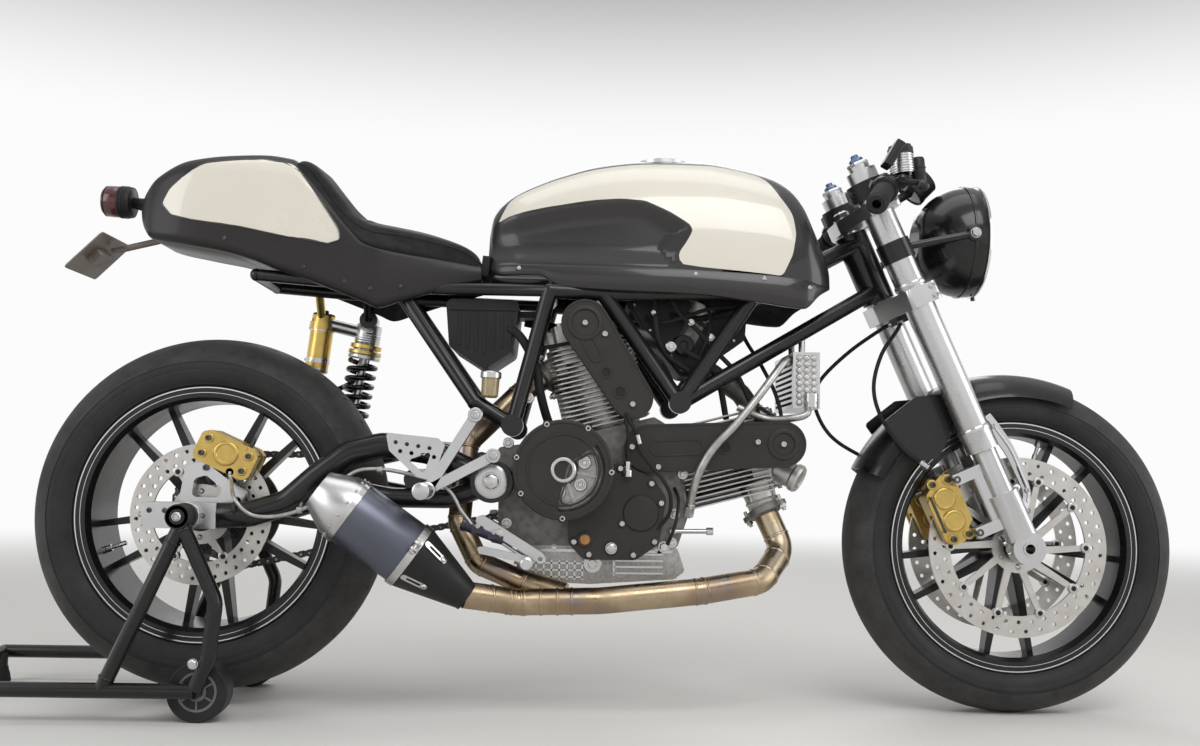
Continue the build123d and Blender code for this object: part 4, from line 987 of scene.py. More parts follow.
def makeTank():
    # Even columns, drawn together a little towards both ends
    columns, eased = 128, 0.35
    xs = [tankStart + tankLong * (0.5 - 0.5 * math.cos(math.pi * i / columns)) * eased
          + tankLong * i / columns * (1 - eased) for i in range(columns + 1)]
    ws = [tankSurface.top * k / 56 for k in range(57)]
    outline = [(x, chartOf(tankSurface, x, z)) for x, z in panelLine]
    stripe = tankLook["stripe"]
    outline += [(352, 160), (338, stripe - 6), (300, stripe - 1), (160, stripe), (-40, stripe - 1),
                (-112, stripe - 5)]
    radii = [4, 30, 60, 40, 30, 30, 10, 8, 16, 16, 9, 20, 40, 12, 30, 40, 40, 30, 30, 30, 30, 40, 40, 20]
    inner, outer = cutGrid(xs, ws, [rounded2(outline, radii)])
    finishSkin("tankShell", skinPiece(tankSurface, outer, tankBottom), tankLook["shell"], ("fuel_tank",))
    finishSkin("tankPanels", skinPiece(tankSurface, inner), tankLook["paint"])


def makeTankFittings():
    # Filler cap with its lock cover, and the screws along the band.
    bm = newShape()
    x = 168
    spot = tankSurface(x, tankSurface.top)
    slope = tankSurface(x + 5, tankSurface.top) - tankSurface(x - 5, tankSurface.top)
    place = framed(spot, (-slope.z, 0, slope.x), (1, 0, 0))
    addLathe(bm, place,
             [(-6, 47), (1.2, 47), (1.8, 46), (1.8, 38), (0.2, 37), (0.2, 35.5), (1.6, 34.5), (2.0, 32),
                         (2.2, 0)], 64)
    addLathe(bm, shiftedPlace(place, 13, 0), [(1.6, 12), (3.0, 11), (3.4, 8), (3.5, 0)], 32)
    for x, y in ringSpots(6, 42.2, 30):
        addBolt(bm, shiftedPlace(place, x, y, 1.4), 2.6, 1.4, "button")
    finishPiece("fillerCap", bm, satinAlloy, bevel=0.3)
    bm = newShape()
    for sign in (-1, 1):
        for x, drop in ((-92, 7), (218, 8), (338, 7), (420, 12)):
            half, crease = tabled(tankRows, x, 1), tabled(tankRows, x, 2)
            addBolt(bm, onSide(sign * (half + 1.2), sign, x, crease - drop), 4.2, 2.4, "button")
    finishPiece("tankScrews", bm, brightSteel)


makeTank()
makeTankFittings()
print("fuel tank made")


# Tail cowl

tailLook = {"paint": ivoryPaint, "shell": tailGraphite}
tailStart, tailLong = -782, 622
lowerEnd, sideEnd, upperEnd = 0.12, 0.56, 0.80  # where the lower corner, the side and the upper corner end
# x, half width low, low, half width high, high, low corner, high corner
tailRows = [
    (-782, 40, 872, 34, 900, 10, 12), (-774, 56, 850, 46, 917, 14, 20), (-750, 80, 824, 62, 947, 18, 34),
    (-690, 100, 812, 77, 978, 22, 46), (-620, 107, 800, 83, 988, 22, 54), (-560, 110, 784, 85, 990, 20, 54),
    (-505, 112, 764, 84, 983, 20, 50), (-480, 112, 756, 88, 958, 20, 40), (-392, 112, 724, 100, 846, 18, 12),
    (-366, 111, 714, 103, 822, 18, 12), (-340, 110, 704, 106, 813, 16, 10),
    (-300, 105, 716, 102, 806, 12, 10),
    (-230, 95, 738, 92, 797, 10, 9), (-160, 82, 757, 80, 787, 8, 8),
]
tailPanel = [(-733, 886), (-720, 915), (-661, 962), (-591, 970), (-518, 966), (-484, 945), (-446, 893),
             (-411, 842),
             (-409, 822), (-430, 815), (-498, 825), (-586, 843), (-675, 855), (-712, 864)]


def tailSurface(x, w):
    halfLow, low, halfHigh, high, lowCorner, highCorner = (tabled(tailRows, x, c) for c in range(1, 7))
    t = w / tailSurface.top
    highCorner = min(highCorner, halfHigh * 0.9, (high - low) * 0.45)
    lowCorner = min(lowCorner, (high - low) * 0.3)
    lean = Vector((halfHigh - halfLow, high - low)).normalized()
    # Lower corner, side, upper corner and flat top each take a set share of the way.
    lowEnd = Vector((halfLow, low)) + lean * lowCorner
    highStart = Vector((halfHigh, high)) - lean * highCorner * 0.85
    highEnd = Vector((halfHigh - highCorner * 0.85, high))
    crown = 4.0
    if t < lowerEnd:
        k = t / lowerEnd
        a, b, c = Vector((halfLow - lowCorner, low)), Vector((halfLow, low)), lowEnd
        spot = a.lerp(b, k).lerp(b.lerp(c, k), k)
    elif t < sideEnd:
        spot = lowEnd.lerp(highStart, (t - lowerEnd) / (sideEnd - lowerEnd))
    elif t < upperEnd:
        k = (t - sideEnd) / (upperEnd - sideEnd)
        b = Vector((halfHigh, high))
        spot = highStart.lerp(b, k).lerp(b.lerp(highEnd, k), k)
    else:
        k = (t - upperEnd) / (1 - upperEnd)
        spot = highEnd.lerp(Vector((0, high)),
                            k) + Vector((0, crown * (1 - (1 - k) ** 2) * min(halfHigh / 80, 1)))
    if t >= sideEnd:
        spot.y -= crown * smoothStep((t - sideEnd) / (upperEnd - sideEnd)) * min(halfHigh / 80, 1)
    side = 3.2 * math.sin(math.pi * min(max((t - 0.06) / 0.62, 0), 1))
    return Vector((x, spot.x + side, spot.y))


tailSurface.top = 240.0


def tailBottom(bm):
    xs = [tailStart + tailLong * i / 96 for i in range(97)]
    for sign in (1, -1):
        rows = []
        for x in xs:
            start = tailSurface(x, 0)
            roof = max(start.z + 2, 777 if x > -584 else start.z + 2)
            roof = start.z + (roof - start.z) * smoothStep((x + 592) / 14) if x < -578 else roof
            rows.append([Vector((x, sign * y, z)) for y, z in
                         ((start.y, start.z), (start.y - 3, start.z + 1), (start.y - 5, roof), (0, roof))])
        addRings(bm, rows, closedAround=False)
        for x in (xs[0], xs[-1]):
            ring = [tailSurface(x, tailSurface.top * k / 20) for k in range(21)]
            ring = [Vector((x, p.y * sign, p.z)) for p in ring] + [Vector((x, 0, ring[0].z + 2))]
            bm.faces.new([bm.verts.new(p) for p in ring])


def makeTail():
    xs = [tailStart + tailLong * i / 124 for i in range(125)]
    ws = [tailSurface.top * k / 50 for k in range(51)]
    outline = [(x, chartOf(tailSurface, x, z)) for x, z in tailPanel]
    radii = [14, 30, 40, 40, 30, 16, 30, 14, 12, 14, 40, 60, 30, 10]
    inner, outer = cutGrid(xs, ws, [rounded2(outline, radii)])
    finishSkin("tailShell", skinPiece(tailSurface, outer, tailBottom), tailLook["shell"], ("tail_cowl",))
    finishSkin("tailPanels", skinPiece(tailSurface, inner), tailLook["paint"])
    # A thin moulding round each panel, and the screws of the flank.
    bm = newShape()
    line = rounded2(outline, radii)
    for sign in (-1, 1):
        ring = [tailSurface(x, w) for x, w in line]
        addTube(bm, [Vector((p.x, sign * (p.y + 0.3), p.z)) for p in ring], 1.3, 8, closed=True)
        for x, z in ((-612, 822), (-470, 772), (-398, 748), (-352, 736), (-300, 742)):
            spot = tailSurface(x, chartOf(tailSurface, x, z))
            addBolt(bm, onSide(sign * (spot.y - 0.4), sign, spot.x, spot.z), 4.0, 2.4, "button")
    finishPiece("tailTrim", bm, darkSteel)


makeTail()
print("tail cowl made")


# Seat: a stuffed pad that runs down the hump and along the tail, with a piped edge

seatLook = {"pressure": 4.0, "cap": 7.0, "voxel": 5.0, "corner": 13.0, "piping": 1.7, "frames": 20,
            "cover": seatSuede}
# Top x, top z, bottom x, bottom z, half width above, half width below
seatRows = [
    (-493, 972, -498, 958, 76, 78), (-482, 975, -497, 948, 80, 82), (-465, 967, -489, 933, 83, 87),
    (-446, 944, -473, 919, 86, 92), (-423, 915, -450, 891, 89, 95), (-399, 886, -425, 860, 92, 98),
    (-379, 867, -398, 834, 94, 100), (-360, 858, -373, 814, 96, 102), (-335, 853, -340, 805, 97, 103),
    (-290, 846, -295, 799, 95, 100), (-244, 837, -250, 791, 91, 95), (-205, 827, -211, 779, 86, 89),
    (-182, 818, -186, 775, 80, 83), (-168, 808, -170, 778, 72, 74), (-163, 798, -164, 784, 66, 68),
]


def seatRing(row, inset):
    # One cross-section: flat below, pulled in at the sides, with soft shoulders and a slight crown.
    topX, topZ, lowX, lowZ, halfTop, halfLow = row
    high, low = Vector((topX, 0, topZ)), Vector((lowX, 0, lowZ))
    tall = (high - low).length
    corner = min(seatLook["corner"], tall * 0.42)
    profile = [(halfLow - 5, 0.0), (halfLow - 1, 0.10), (halfLow, 0.22),
               ((halfLow + halfTop) / 2 - 1.2, 0.5), (halfTop, 1 - corner / tall)]
    for k in range(1, 6):
        angle = math.pi / 2 * k / 5
        profile.append((halfTop - corner * (1 - math.cos(angle)), 1 - corner / tall * (1 - math.sin(angle))))
    for share in (0.72, 0.45, 0.2):
        profile.append((halfTop * share, 1 + 0.045 * (1 - share ** 2)))
    side = [low.lerp(high, rise) + Vector((0, half - inset, 0)) for half, rise in profile]
    return side + [Vector((p.x, -p.y, p.z)) for p in reversed(side)]


def makeSeat():
    rows = []
    for i in range(len(seatRows) - 1):
        a, b = seatRows[i], seatRows[i + 1]
        for k in range(3):
            rows.append([a[c] + (b[c] - a[c]) * k / 3 for c in range(6)])
    rows.append(seatRows[-1])
    # Smooths the stations so that the bend is soft.
    for turn in range(2):
        rows = [rows[0]] + [[(rows[i - 1][c] + 2 * rows[i][c] + rows[i + 1][c]) / 4 for c in range(6)]
                            for i in range(1, len(rows) - 1)] + [rows[-1]]
    bm = newShape()
    addRings(bm, [seatRing(row, 1.5) for row in rows], capped=True)
    pad = finishPiece("seatPad", bm, seatLook["cover"], replaces=("seat_pad",), smooth=180.0)
    remesh = pad.modifiers.new("even", "REMESH")
    remesh.mode = "VOXEL"
    remesh.voxel_size = seatLook["voxel"] * mm
    remesh.use_smooth_shade = True
    applyModifier(pad, remesh)
    plump(pad)
    rounder = pad.modifiers.new("rounder", "SUBSURF")
    rounder.levels = rounder.render_levels = 1
    applyModifier(pad, rounder)
    makeSeatPiping(pad, rows)
    # A rubber lip where the nose meets the tank
    lip = newShape()
    addBox(lip, framed((-154, 0, 788), (-1, 0, 0.1), (0, 1, 0)), (128, 40, 14), 5)
    finishPiece("seatLip", lip, blackRubber, bevel=2.5)


def plump(pad):
    # Stuffs the pad: cloth under pressure, held at its base, and no point moves further than the cap.
    cap = seatLook["cap"]
    start = [v.co.copy() for v in pad.data.vertices]
    held = pad.vertex_groups.new(name="held")
    spine = [(Vector((r[2], 0, r[3])), Vector((r[0], 0, r[1]))) for r in seatRows]
    for v in pad.data.vertices:
        spot = Vector((v.co.x / mm, 0, v.co.z / mm))
        low, high = min(spine, key=lambda pair: (spot - pair[0]).length + (spot - pair[1]).length)
        rise = (spot - low).dot(high - low) / (high - low).length_squared
        held.add([v.index], 1.0 - smoothStep((rise - 0.08) / 0.3), "REPLACE")
    cloth = pad.modifiers.new("stuffing", "CLOTH")
    cloth.settings.use_pressure = True
    cloth.settings.uniform_pressure_force = seatLook["pressure"]
    cloth.settings.effector_weights.gravity = 0
    cloth.settings.vertex_group_mass = "held"
    cloth.settings.tension_stiffness = 22
    cloth.settings.compression_stiffness = 12
    cloth.settings.bending_stiffness = 4
    scene = bpy.context.scene
    for step in range(1, seatLook["frames"] + 1):
        scene.frame_set(step)
    applyModifier(pad, cloth)
    scene.frame_set(1)
    for v, old in zip(pad.data.vertices, start):
        move = v.co - old
        if move.length > cap * mm:
            v.co = old + move.normalized() * cap * mm
    pad.vertex_groups.clear()


def makeSeatPiping(pad, rows):
    # A sewn edge along both shoulders and round the front, laid on the stuffed cover.
    rings = [seatRing(row, 0) for row in rows]
    line = [ring[4].lerp(ring[5], 0.6) for ring in rings]
    near = [Vector((p.x, -p.y, p.z)) for p in reversed(line)]
    front = [Vector((line[-1].x + 1, line[-1].y * share, line[-1].z + 1)) for share in (0.6, 0.2, -0.2, -0.6)]
    laid = []
    for spot in smoothLine(line + front + near, 2):
        place, normal = pad.closest_point_on_mesh(spot * mm)[1:3]
        laid.append(place / mm + normal * 0.5)
    bm = newShape()
    addTube(bm, laid, seatLook["piping"], 8)
    finishPiece("seatPiping", bm, seatLook["cover"])


makeSeat()
print("seat made")


# Tyres: a tread cut with slashes over a plain moulded carcass

# Pitch count, cell in mm, and each slash as a line of (along, out from the middle) with its width
tyreLook = {
    "front": {"node": "front_tyre", "rim": 98, "pitches": 36, "cell": 2.9, "depth": 2.4, "slashes": (
        ([(8, 71), (11, 60), (16, 48), (24, 38)], 3.0), ([(34, 73), (36, 66), (39, 58)], 2.6),
        ([(20, 25), (28, 17), (38, 10), (46, 7)], 2.8))},
    "rear": {"node": "rear_tyre", "rim": 152, "pitches": 38, "cell": 3.4, "depth": 2.6, "slashes": (
        ([(8, 99), (11, 85), (17, 68), (27, 54)], 3.4), ([(35, 102), (37, 93), (41, 82)], 3.0),
        ([(18, 38), (27, 27), (38, 17), (47, 12)], 3.2))},
}
rimSeat, rimLip = 216.0, 225.0


def slashOutline(line, width):
    # A cut with a point at its inner end and a round outer one.
    path = smoothLine([(u, v, 0) for u, v in line], 3)
    left, right = [], []
    for i, p in enumerate(path):
        run = (path[min(i + 1, len(path) - 1)] - path[max(i - 1, 0)]).normalized()
        share = i / (len(path) - 1)
        half = width / 2 * (1 - 0.55 * share ** 3) * (0.55 if i == 0 else 1)
        left.append((p.x - run.y * half, p.y + run.x * half))
        right.append((p.x + run.y * half, p.y - run.x * half))
    return left + right[::-1]


def makeTyre(which, body):
    look = tyreLook[which]
    centre = middleOf(look["node"])
    size = sizeOf(look["node"])
    radius, half = size.z / 2, 60.0 if which == "front" else 89.0
    shoulder = rimSeat + 0.52 * (radius - rimSeat)
    rise = radius - shoulder
    crown = (half * half + rise * rise) / (2 * rise)
    middle = radius - crown
    span = math.atan2(half, shoulder - middle) * crown
    pitch = 2 * math.pi * (radius - 12) / look["pitches"]
    across = 2 * round(span / look["cell"])
    along = round(pitch / look["cell"])
    panels = []
    for line, width in look["slashes"]:
        panels.append(slashOutline(line, width))
        panels.append([(pitch - u, -v) for u, v in slashOutline(line, width)])
    inner, outer = cutGrid([pitch * i / along for i in range(along + 1)],
                           [span * (2 * k / across - 1) for k in range(across + 1)], panels, splitEdges=True)
    bm = newShape()
    total = pitch * look["pitches"]
    points = {}

    def point(u, v, drop):
        key = (round(u % total, 2) % round(total, 2), round(v, 2), drop > 0)
        if key not in points:
            angle = 2 * math.pi * u / total
            lean = v / crown
            reach = middle + (crown - drop) * math.cos(lean)
            points[key] = bm.verts.new(centre + Vector((reach * math.cos(angle),
                                                        (crown - drop) * math.sin(lean),
                                                        reach * math.sin(angle))))
        return points[key]

    def addFace(corners):
        unique = list(dict.fromkeys(corners))
        if len(unique) > 2 and not bm.faces.get(unique):
            bm.faces.new(list(reversed(unique)))

    outerEdges = {(face[i - 1], spot) for face in outer for i, spot in enumerate(face)}
    for index in range(look["pitches"]):
        start = index * pitch
        for face in outer:
            addFace([point(start + u, v, 0) for u, v in face])
        for face in inner:
            addFace([point(start + u, v, look["depth"]) for u, v in face])
            for i, spot in enumerate(face):
                before = face[i - 1]
                if (spot, before) in outerEdges:
                    addFace([point(start + before[0], before[1], 0), point(start + spot[0], spot[1], 0),
                             point(start + spot[0], spot[1], look["depth"]),
                             point(start + before[0], before[1], look["depth"])])
    finishPiece(which + "TyreTread", bm, tyreRubber, body, (look["node"],), smooth=30.0,
                keptFaces=len(bm.faces))
    makeCarcass(which, body, centre, half, shoulder, radius, look["rim"] / 2 - 5)


def makeCarcass(which, body, centre, half, shoulder, radius, bead):
    # Sidewalls with a shoulder step, a smooth band, a fine bead line and a rim guard.
    bulge = Vector(((half + bead) / 2 + 5, rimLip + 0.35 * (shoulder - rimLip)))
    start, end = Vector((half, shoulder)), Vector((bead, rimLip))
    control = bulge * 2 - (start + end) / 2
    steps = 28
    shares = [i / steps for i in range(steps + 1)]
    wall = [(1 - t) ** 2 * start + 2 * t * (1 - t) * control + t * t * end for t in shares]
    side = []
    for i, spot in enumerate(wall):
        run = (wall[min(i + 1, steps)] - wall[max(i - 1, 0)]).normalized()
        out = Vector((-run.y, run.x))
        if out.x < 0:
            out = -out
        proud = {0: -0.9, 1: -0.9, 2: 0.0, 5: 0.0, 6: -0.5, 7: 0.0, 22: 0.0, 23: 0.8, 24: 0.8,
                 25: 0.0}.get(i, -0.05)
        side.append(spot + out * proud)
    under = [Vector((half * share, shoulder - 5 + (radius - 7 - shoulder) * (1 - share ** 2))) for share in
             (0.96, 0.8, 0.55, 0.3, 0.0)]
    loop = [Vector((bead - 1, rimSeat + 1))] + side[::-1] + under
    profile = [(p.x, p.y) for p in loop] + [(-p.x, p.y) for p in reversed(loop[:-1])]
    bm = newShape()
    addLathe(bm, framed(centre, (0, 1, 0)), profile, 144, closed=True)
    finishPiece(which + "TyreWalls", bm, sidewallRubber, body, smooth=24.0)


# Rims: fine bright lines along the lips, a valve, and bobbins on the discs

wheelLook = {"line": chromedSteel, "bobbin": brightSteel, "centre": blackSatin}
frontDiscY, rearDiscY = 64.0, -85.0


def makeRimLines(name, centre, half, body):
    bm = newShape()
    for sign in (-1, 1):
        place = framed(centre + Vector((0, sign * half, 0)), (0, sign, 0))
        for inside, outside in ((221.2, 223.4), (212.6, 213.9)):
            addLathe(bm, place,
                     [(-0.4, inside), (0.45, inside + 0.2), (0.45, outside - 0.2), (-0.4, outside)], 128,
                     closed=True)
    finishPiece(name + "RimLines", bm, wheelLook["line"], body)
    bm = newShape()
    angle = math.radians(72 if name == "front" else 200)
    out = Vector((math.cos(angle), 0, math.sin(angle)))
    stem = centre + Vector((0, -12, 0))
    addRod(bm, stem + out * 199, stem + out * 190, 6.5, 16)
    addRod(bm, stem + out * 191, stem + out * 166, 3.4, 16)
    addRod(bm, stem + out * 176, stem + out * 163, 4.4, 16)
    finishPiece(name + "Valve", bm, brightSteel, body)


def makeBobbins(name, centre, faces, count, radius, body):
    # A bright ring and a dark pin head on each bobbin of each disc face.
    rings, heads = newShapes(2)
    for y, out in faces:
        for x, z in ringSpots(count, radius):
            place = framed((centre.x + x, y, centre.z + z), (0, out, 0))
            addLathe(rings, place,
                     [(-0.4, 8.6), (0.9, 8.4), (1.3, 7.6), (1.3, 4.6), (0.2, 4.2), (-0.4, 4.2)], 28,
                     closed=True)
            addLathe(heads, place, [(-0.3, 4.3), (0.5, 4.0), (0.7, 3.0), (0.7, 0)], 20)
    finishPiece(name + "Bobbins", rings, wheelLook["bobbin"], body)
    finishPiece(name + "BobbinPins", heads, wheelLook["centre"], body)


def makeWheels():
    makeTyre("front", "front_wheel")
    makeTyre("rear", "rear_wheel")
    makeRimLines("front", frontAxle, 49, "front_wheel")
    makeRimLines("rear", rearAxle, 76, "rear_wheel")
    edge = 4.0
    faces = [(sign * frontDiscY + out * edge, out) for sign in (-1, 1) for out in (-1, 1)]
    makeBobbins("frontDisc", frontAxle, faces, 10, 122, "front_wheel")
    makeBobbins("rearDisc", rearAxle, ((rearDiscY - edge, -1), (rearDiscY + edge, 1)), 6, 84, "rear_wheel")
    # Disc bolts round each hub.
    bm = newShape()
    for y, out in ((-frontDiscY - 2.5, -1), (frontDiscY + 2.5, 1)):
        for x, z in ringSpots(6, 35, 30):
            addBolt(bm, framed((frontAxle.x + x, y, frontAxle.z + z), (0, out, 0)), 5.2, 4.5, "button")
    finishPiece("frontDiscBolts", bm, brightSteel, "front_wheel")
    bm = newShape()
    for x, z in ringSpots(6, 40, 30):
        addBolt(bm, framed((rearAxle.x + x, rearDiscY - 2.5, rearAxle.z + z), (0, -1, 0)), 5.0, 4.5, "button")
    finishPiece("rearDiscBolts", bm, brightSteel, "rear_wheel")


makeWheels()
print("wheels made")


# Front end

blueAlloy = plainFinish("blueAlloy", (0.16, 0.22, 0.36), 0.30, 1.0, mottleScale=40.0)
clearCover = plainFinish("clearCover", (0.030, 0.032, 0.035), 0.12, coat=0.8, coatRoughness=0.03, mottle=1.4,
                         mottleScale=30.0, grainDepth=0.0)
rake = math.radians(23.6)
forkUp = Vector((-math.sin(rake), 0, math.cos(rake)))
forkFore = Vector((math.cos(rake), 0, math.sin(rake)))
forkY, clipOnUp = 105.0, 690
caliperReach, caliperTurn = 145.0, math.radians(39.4)  # from the axle, and back from the leg
frontLook = {"collar": forkAlloy, "adjuster": blueAlloy, "bolt": brightSteel, "stay": satinAlloy}


def onFork(up, ahead=0.0, side=0.0):
    return frontAxle + forkUp * up + forkFore * ahead + Vector((0, side, 0))


def addStrap(bm, line, across, widths, thick):
    # A flat bar along a line, with a width for each point; across points over its width.
    rings = []
    for i, p in enumerate(line):
        run = (line[min(i + 1, len(line) - 1)] - line[max(i - 1, 0)]).normalized()
        wide = (Vector(across) - run * run.dot(Vector(across))).normalized()
        deep = run.cross(wide)
        rings.append([p + wide * a * widths[i] / 2 + deep * b * thick / 2 for a,
                      b in ((-1, -1), (1, -1), (1, 1), (-1, 1))])
    addRings(bm, rings, capped=True)


def makeFork():
    collars, caps, bolts, knobs = newShapes(4)
    for side in (-forkY, forkY):
        place = framed(onFork(196, 0, side), forkUp)
        addLathe(collars, place,
                 [(0, 22), (0, 25.5), (3, 28.6), (24, 28.8), (27, 29.6), (33, 29.6), (36, 27.4), (36, 22)],
                 64, closed=True)
        addLathe(collars, framed(onFork(500, 0, side), forkUp),
                 [(0, 26), (0, 28.4), (2, 29), (7, 29), (9, 28.4), (9, 26)],
                 64, closed=True)
        top = framed(onFork(736, 0, side), forkUp)
        addLathe(caps, top, [(0, 18), (3, 20.5), (7, 20.5), (9, 18.6), (9, 0)], 6)
        addLathe(knobs, top, [(8, 13), (14, 13), (16, 11.4), (16, 0)], 28)
        addLathe(knobs, top, [(15, 7), (22, 7), (23, 6), (23, 0)], 20)
        out = math.copysign(1, side)
        edge = side + out * 34  # the clamps' outer face
        for up, ahead in ((471, 24), (489, 24), (655, 24)):
            addBolt(bolts, framed(onFork(up, ahead, edge), (0, out, 0)), 5.4, 5, "socket")
        for up in (6, 26):
            addBolt(bolts, framed(onFork(up - 4, -28, side - out * 2), -forkFore), 4.2, 5, "socket")
        addBolt(bolts, framed(onFork(60, 28, side + out * 6), (0, out, 0)), 5.0, 5, "button")
        # Drain screw and pinch slot under the axle clamp
        addBolt(bolts, framed(onFork(-27, 6, side), -forkUp), 4.4, 3, "socket")
        addBolt(bolts, framed(onFork(104, 24, side + out * 12), (0, out, 0)), 3.4, 2.6, "button")
    finishPiece("forkCollars", collars, frontLook["collar"], "steering", smooth=40.0)
    finishPiece("forkCaps", caps, satinAlloy, "steering", bevel=0.5)
    finishPiece("forkKnobs", knobs, frontLook["adjuster"], "steering", bevel=0.4)
    stem = framed(onFork(671, -33, 0), forkUp)
    addBolt(bolts, stem, 15, 13, "hex")
    addLathe(bolts, stem, [(12, 9), (15, 9), (15, 5), (9, 4.6), (9, 0)], 24)
    finishPiece("frontBolts", bolts, frontLook["bolt"], "steering")
    # Clip-on clamps have a pinch bolt each, behind the leg.
    bm = newShape()
    for side in (-forkY, forkY):
        out = math.copysign(1, side)
        place = framed(onFork(clipOnUp, -30, side), -forkFore, (0, 1, 0))
        addBox(bm, shiftedPlace(place, 0, 0, 2), (24, 22, 15), 4)
        addBolt(bm, framed(onFork(clipOnUp, -34, side + out * 12), (0, out, 0)), 4.6, 5, "socket")
    finishPiece("clipOnEars", bm, blackSatin, "steering", bevel=0.8)


def makeCalipers():
    body, steel = newShapes(2)
    up, ahead = caliperReach * math.cos(caliperTurn), -caliperReach * math.sin(caliperTurn)
    for sign in (-1, 1):
        middle = sign * frontDiscY
        for face in (-1, 1):
            y = middle + face * 31
            for along in (-21, 21):
                place = framed(onFork(up + along, ahead - 2, y), (0, face, 0))
                addLathe(body, place,
                         [(-2, 19.6), (0.6, 19.6), (1.8, 18.6), (2.2, 17.2), (2.2, 15.2), (1.4, 14.4),
                          (1.2, 0)], 48)
        y = middle + sign * 27
        for step, fore in ((-52, 14), (52, -14), (-50, -18), (50, 18)):
            place = framed(onFork(up + step, ahead + fore * 0.9, y), (0, sign, 0))
            addBoss(body, steel, place, [(-1, 9.4), (2.4, 9.4), (3.2, 8.4), (3.2, 0)], 28,
                    (3, 5.6, 5, "socket"))
        # Bridge over the pads, its pin, and the bleed screw
        place = framed(onFork(up, ahead - 25, y), (0, sign, 0), forkUp)
        addBox(body, place, (58, 15, 9), 5)
        addRod(steel, onFork(up - 34, ahead - 25, y + sign * 6), onFork(up + 34, ahead - 25, y + sign * 6),
               2.4, 12)
        nipple = onFork(up + 60, ahead + 4, middle + sign * 16)
        addRod(steel, nipple, nipple + forkUp * 9, 3.6, 6)
        addRod(steel, nipple + forkUp * 8, nipple + forkUp * 16, 2.4, 12)
        banjo = onFork(up + 40, ahead - 20, middle - sign * 20)
        addRod(steel, banjo, banjo - forkFore * 16, 6.0, 16)
        for step in (-54, 46):
            addBolt(steel, framed(onFork(up + step, ahead + 26, sign * 110), (0, sign, 0)), 6.4, 7, "socket")
    finishPiece("caliperCaps", body, goldAlloy, "steering", bevel=0.5)
    finishPiece("caliperSteel", steel, darkSteel, "steering")


def makeFenderStays():
    stays, bolts = newShapes(2)
    for sign in (-1, 1):
        points = [onFork(236, 38, sign * 72.5), onFork(205, 45, sign * 76.5), onFork(165, 52, sign * 79.5),
                  onFork(120, 52, sign * 81), onFork(84, 48, sign * 83.5), onFork(58, 28, sign * 90)]
        line = smoothLine(points, 6)
        widths = [24 - 11 * smoothStep(i / (len(line) - 1)) for i in range(len(line))]
        addStrap(stays, line, forkFore, widths, 4.0)
        addTube(stays, [p + Vector((0, sign * 1.6, 0)) + forkFore * 2 for p in line[3:-3]], 2.6, 10)
        for spot in (line[4], line[-8]):
            addBolt(bolts, framed(spot + Vector((0, sign * 2.2, 0)), (0, sign, 0)), 4.6, 3.4, "button")
    finishPiece("fenderStays", stays, frontLook["stay"], "steering", bevel=0.8)
    finishPiece("fenderBolts", bolts, frontLook["bolt"], "steering")


lampLook = {"rim": chromedSteel, "reflector": chromedSteel}


def makeLamp():
    centre = onFork(537.8, 172.7)
    face = framed(centre, (1, 0, 0))
    bm = newShape()
    addLathe(bm, face,
             [(0, 101), (0, 104.4), (2.4, 104.2), (4.6, 102.4), (5.2, 99.5), (4.6, 96.5), (3, 95.5),
              (-1, 96)],
             96, closed=True)
    finishPiece("lampRim", bm, lampLook["rim"], "steering")
    bm = newShape()
    addLathe(bm, face, [(-26, 104.0), (-25, 104.9), (-22.5, 104.9), (-21.5, 104.0)], 96, closed=True)
    for sign in (-1, 1):
        spot = centre + Vector((-27, sign * 104, -2))
        addLathe(bm, framed(spot, (0, sign, 0)), [(-4, 15), (2, 15), (4, 13), (4, 0)], 36)
    addRod(bm, centre + Vector((2, 0, -103)), centre + Vector((2, 0, -110)), 4, 12)
    finishPiece("lampBand", bm, blackGloss, "steering", bevel=0.5)
    bm = newShape()
    for sign in (-1, 1):
        spot = centre + Vector((-27, sign * 108, -2))
        addBolt(bm, framed(spot, (0, sign, 0)), 8, 6, "hex")
    addBolt(bm, framed(centre + Vector((1, 0, -105)), (1, 0, 0)), 3.4, 6, "button")
    finishPiece("lampBolts", bm, brightSteel, "steering")
    bm = newShape()
    addLathe(bm, face,
             [(-1, 93.5), (-14, 86), (-30, 70), (-44, 48), (-50, 24), (-50, 13), (-52, 13), (-52, 26),
                        (-46, 50), (-32, 72), (-16, 88), (-3, 95)], 96, closed=True)
    finishPiece("lampReflector", bm, lampLook["reflector"], "steering")
    bm = newShape()
    addLathe(bm, face, [(-50, 14), (-34, 14), (-32, 11), (-16, 11), (-12, 8), (-10, 0)], 36)
    addRod(bm, centre + Vector((-50, 0, 0)), centre + Vector((-74, 0, 0)), 15, 24)
    finishPiece("lampBulb", bm, satinAlloy, "steering", bevel=0.4)


barLook = {"grip": blackRubber, "pot": satinAlloy, "end": blackSatin, "switch": blackPlastic,
           "button": redPlastic}


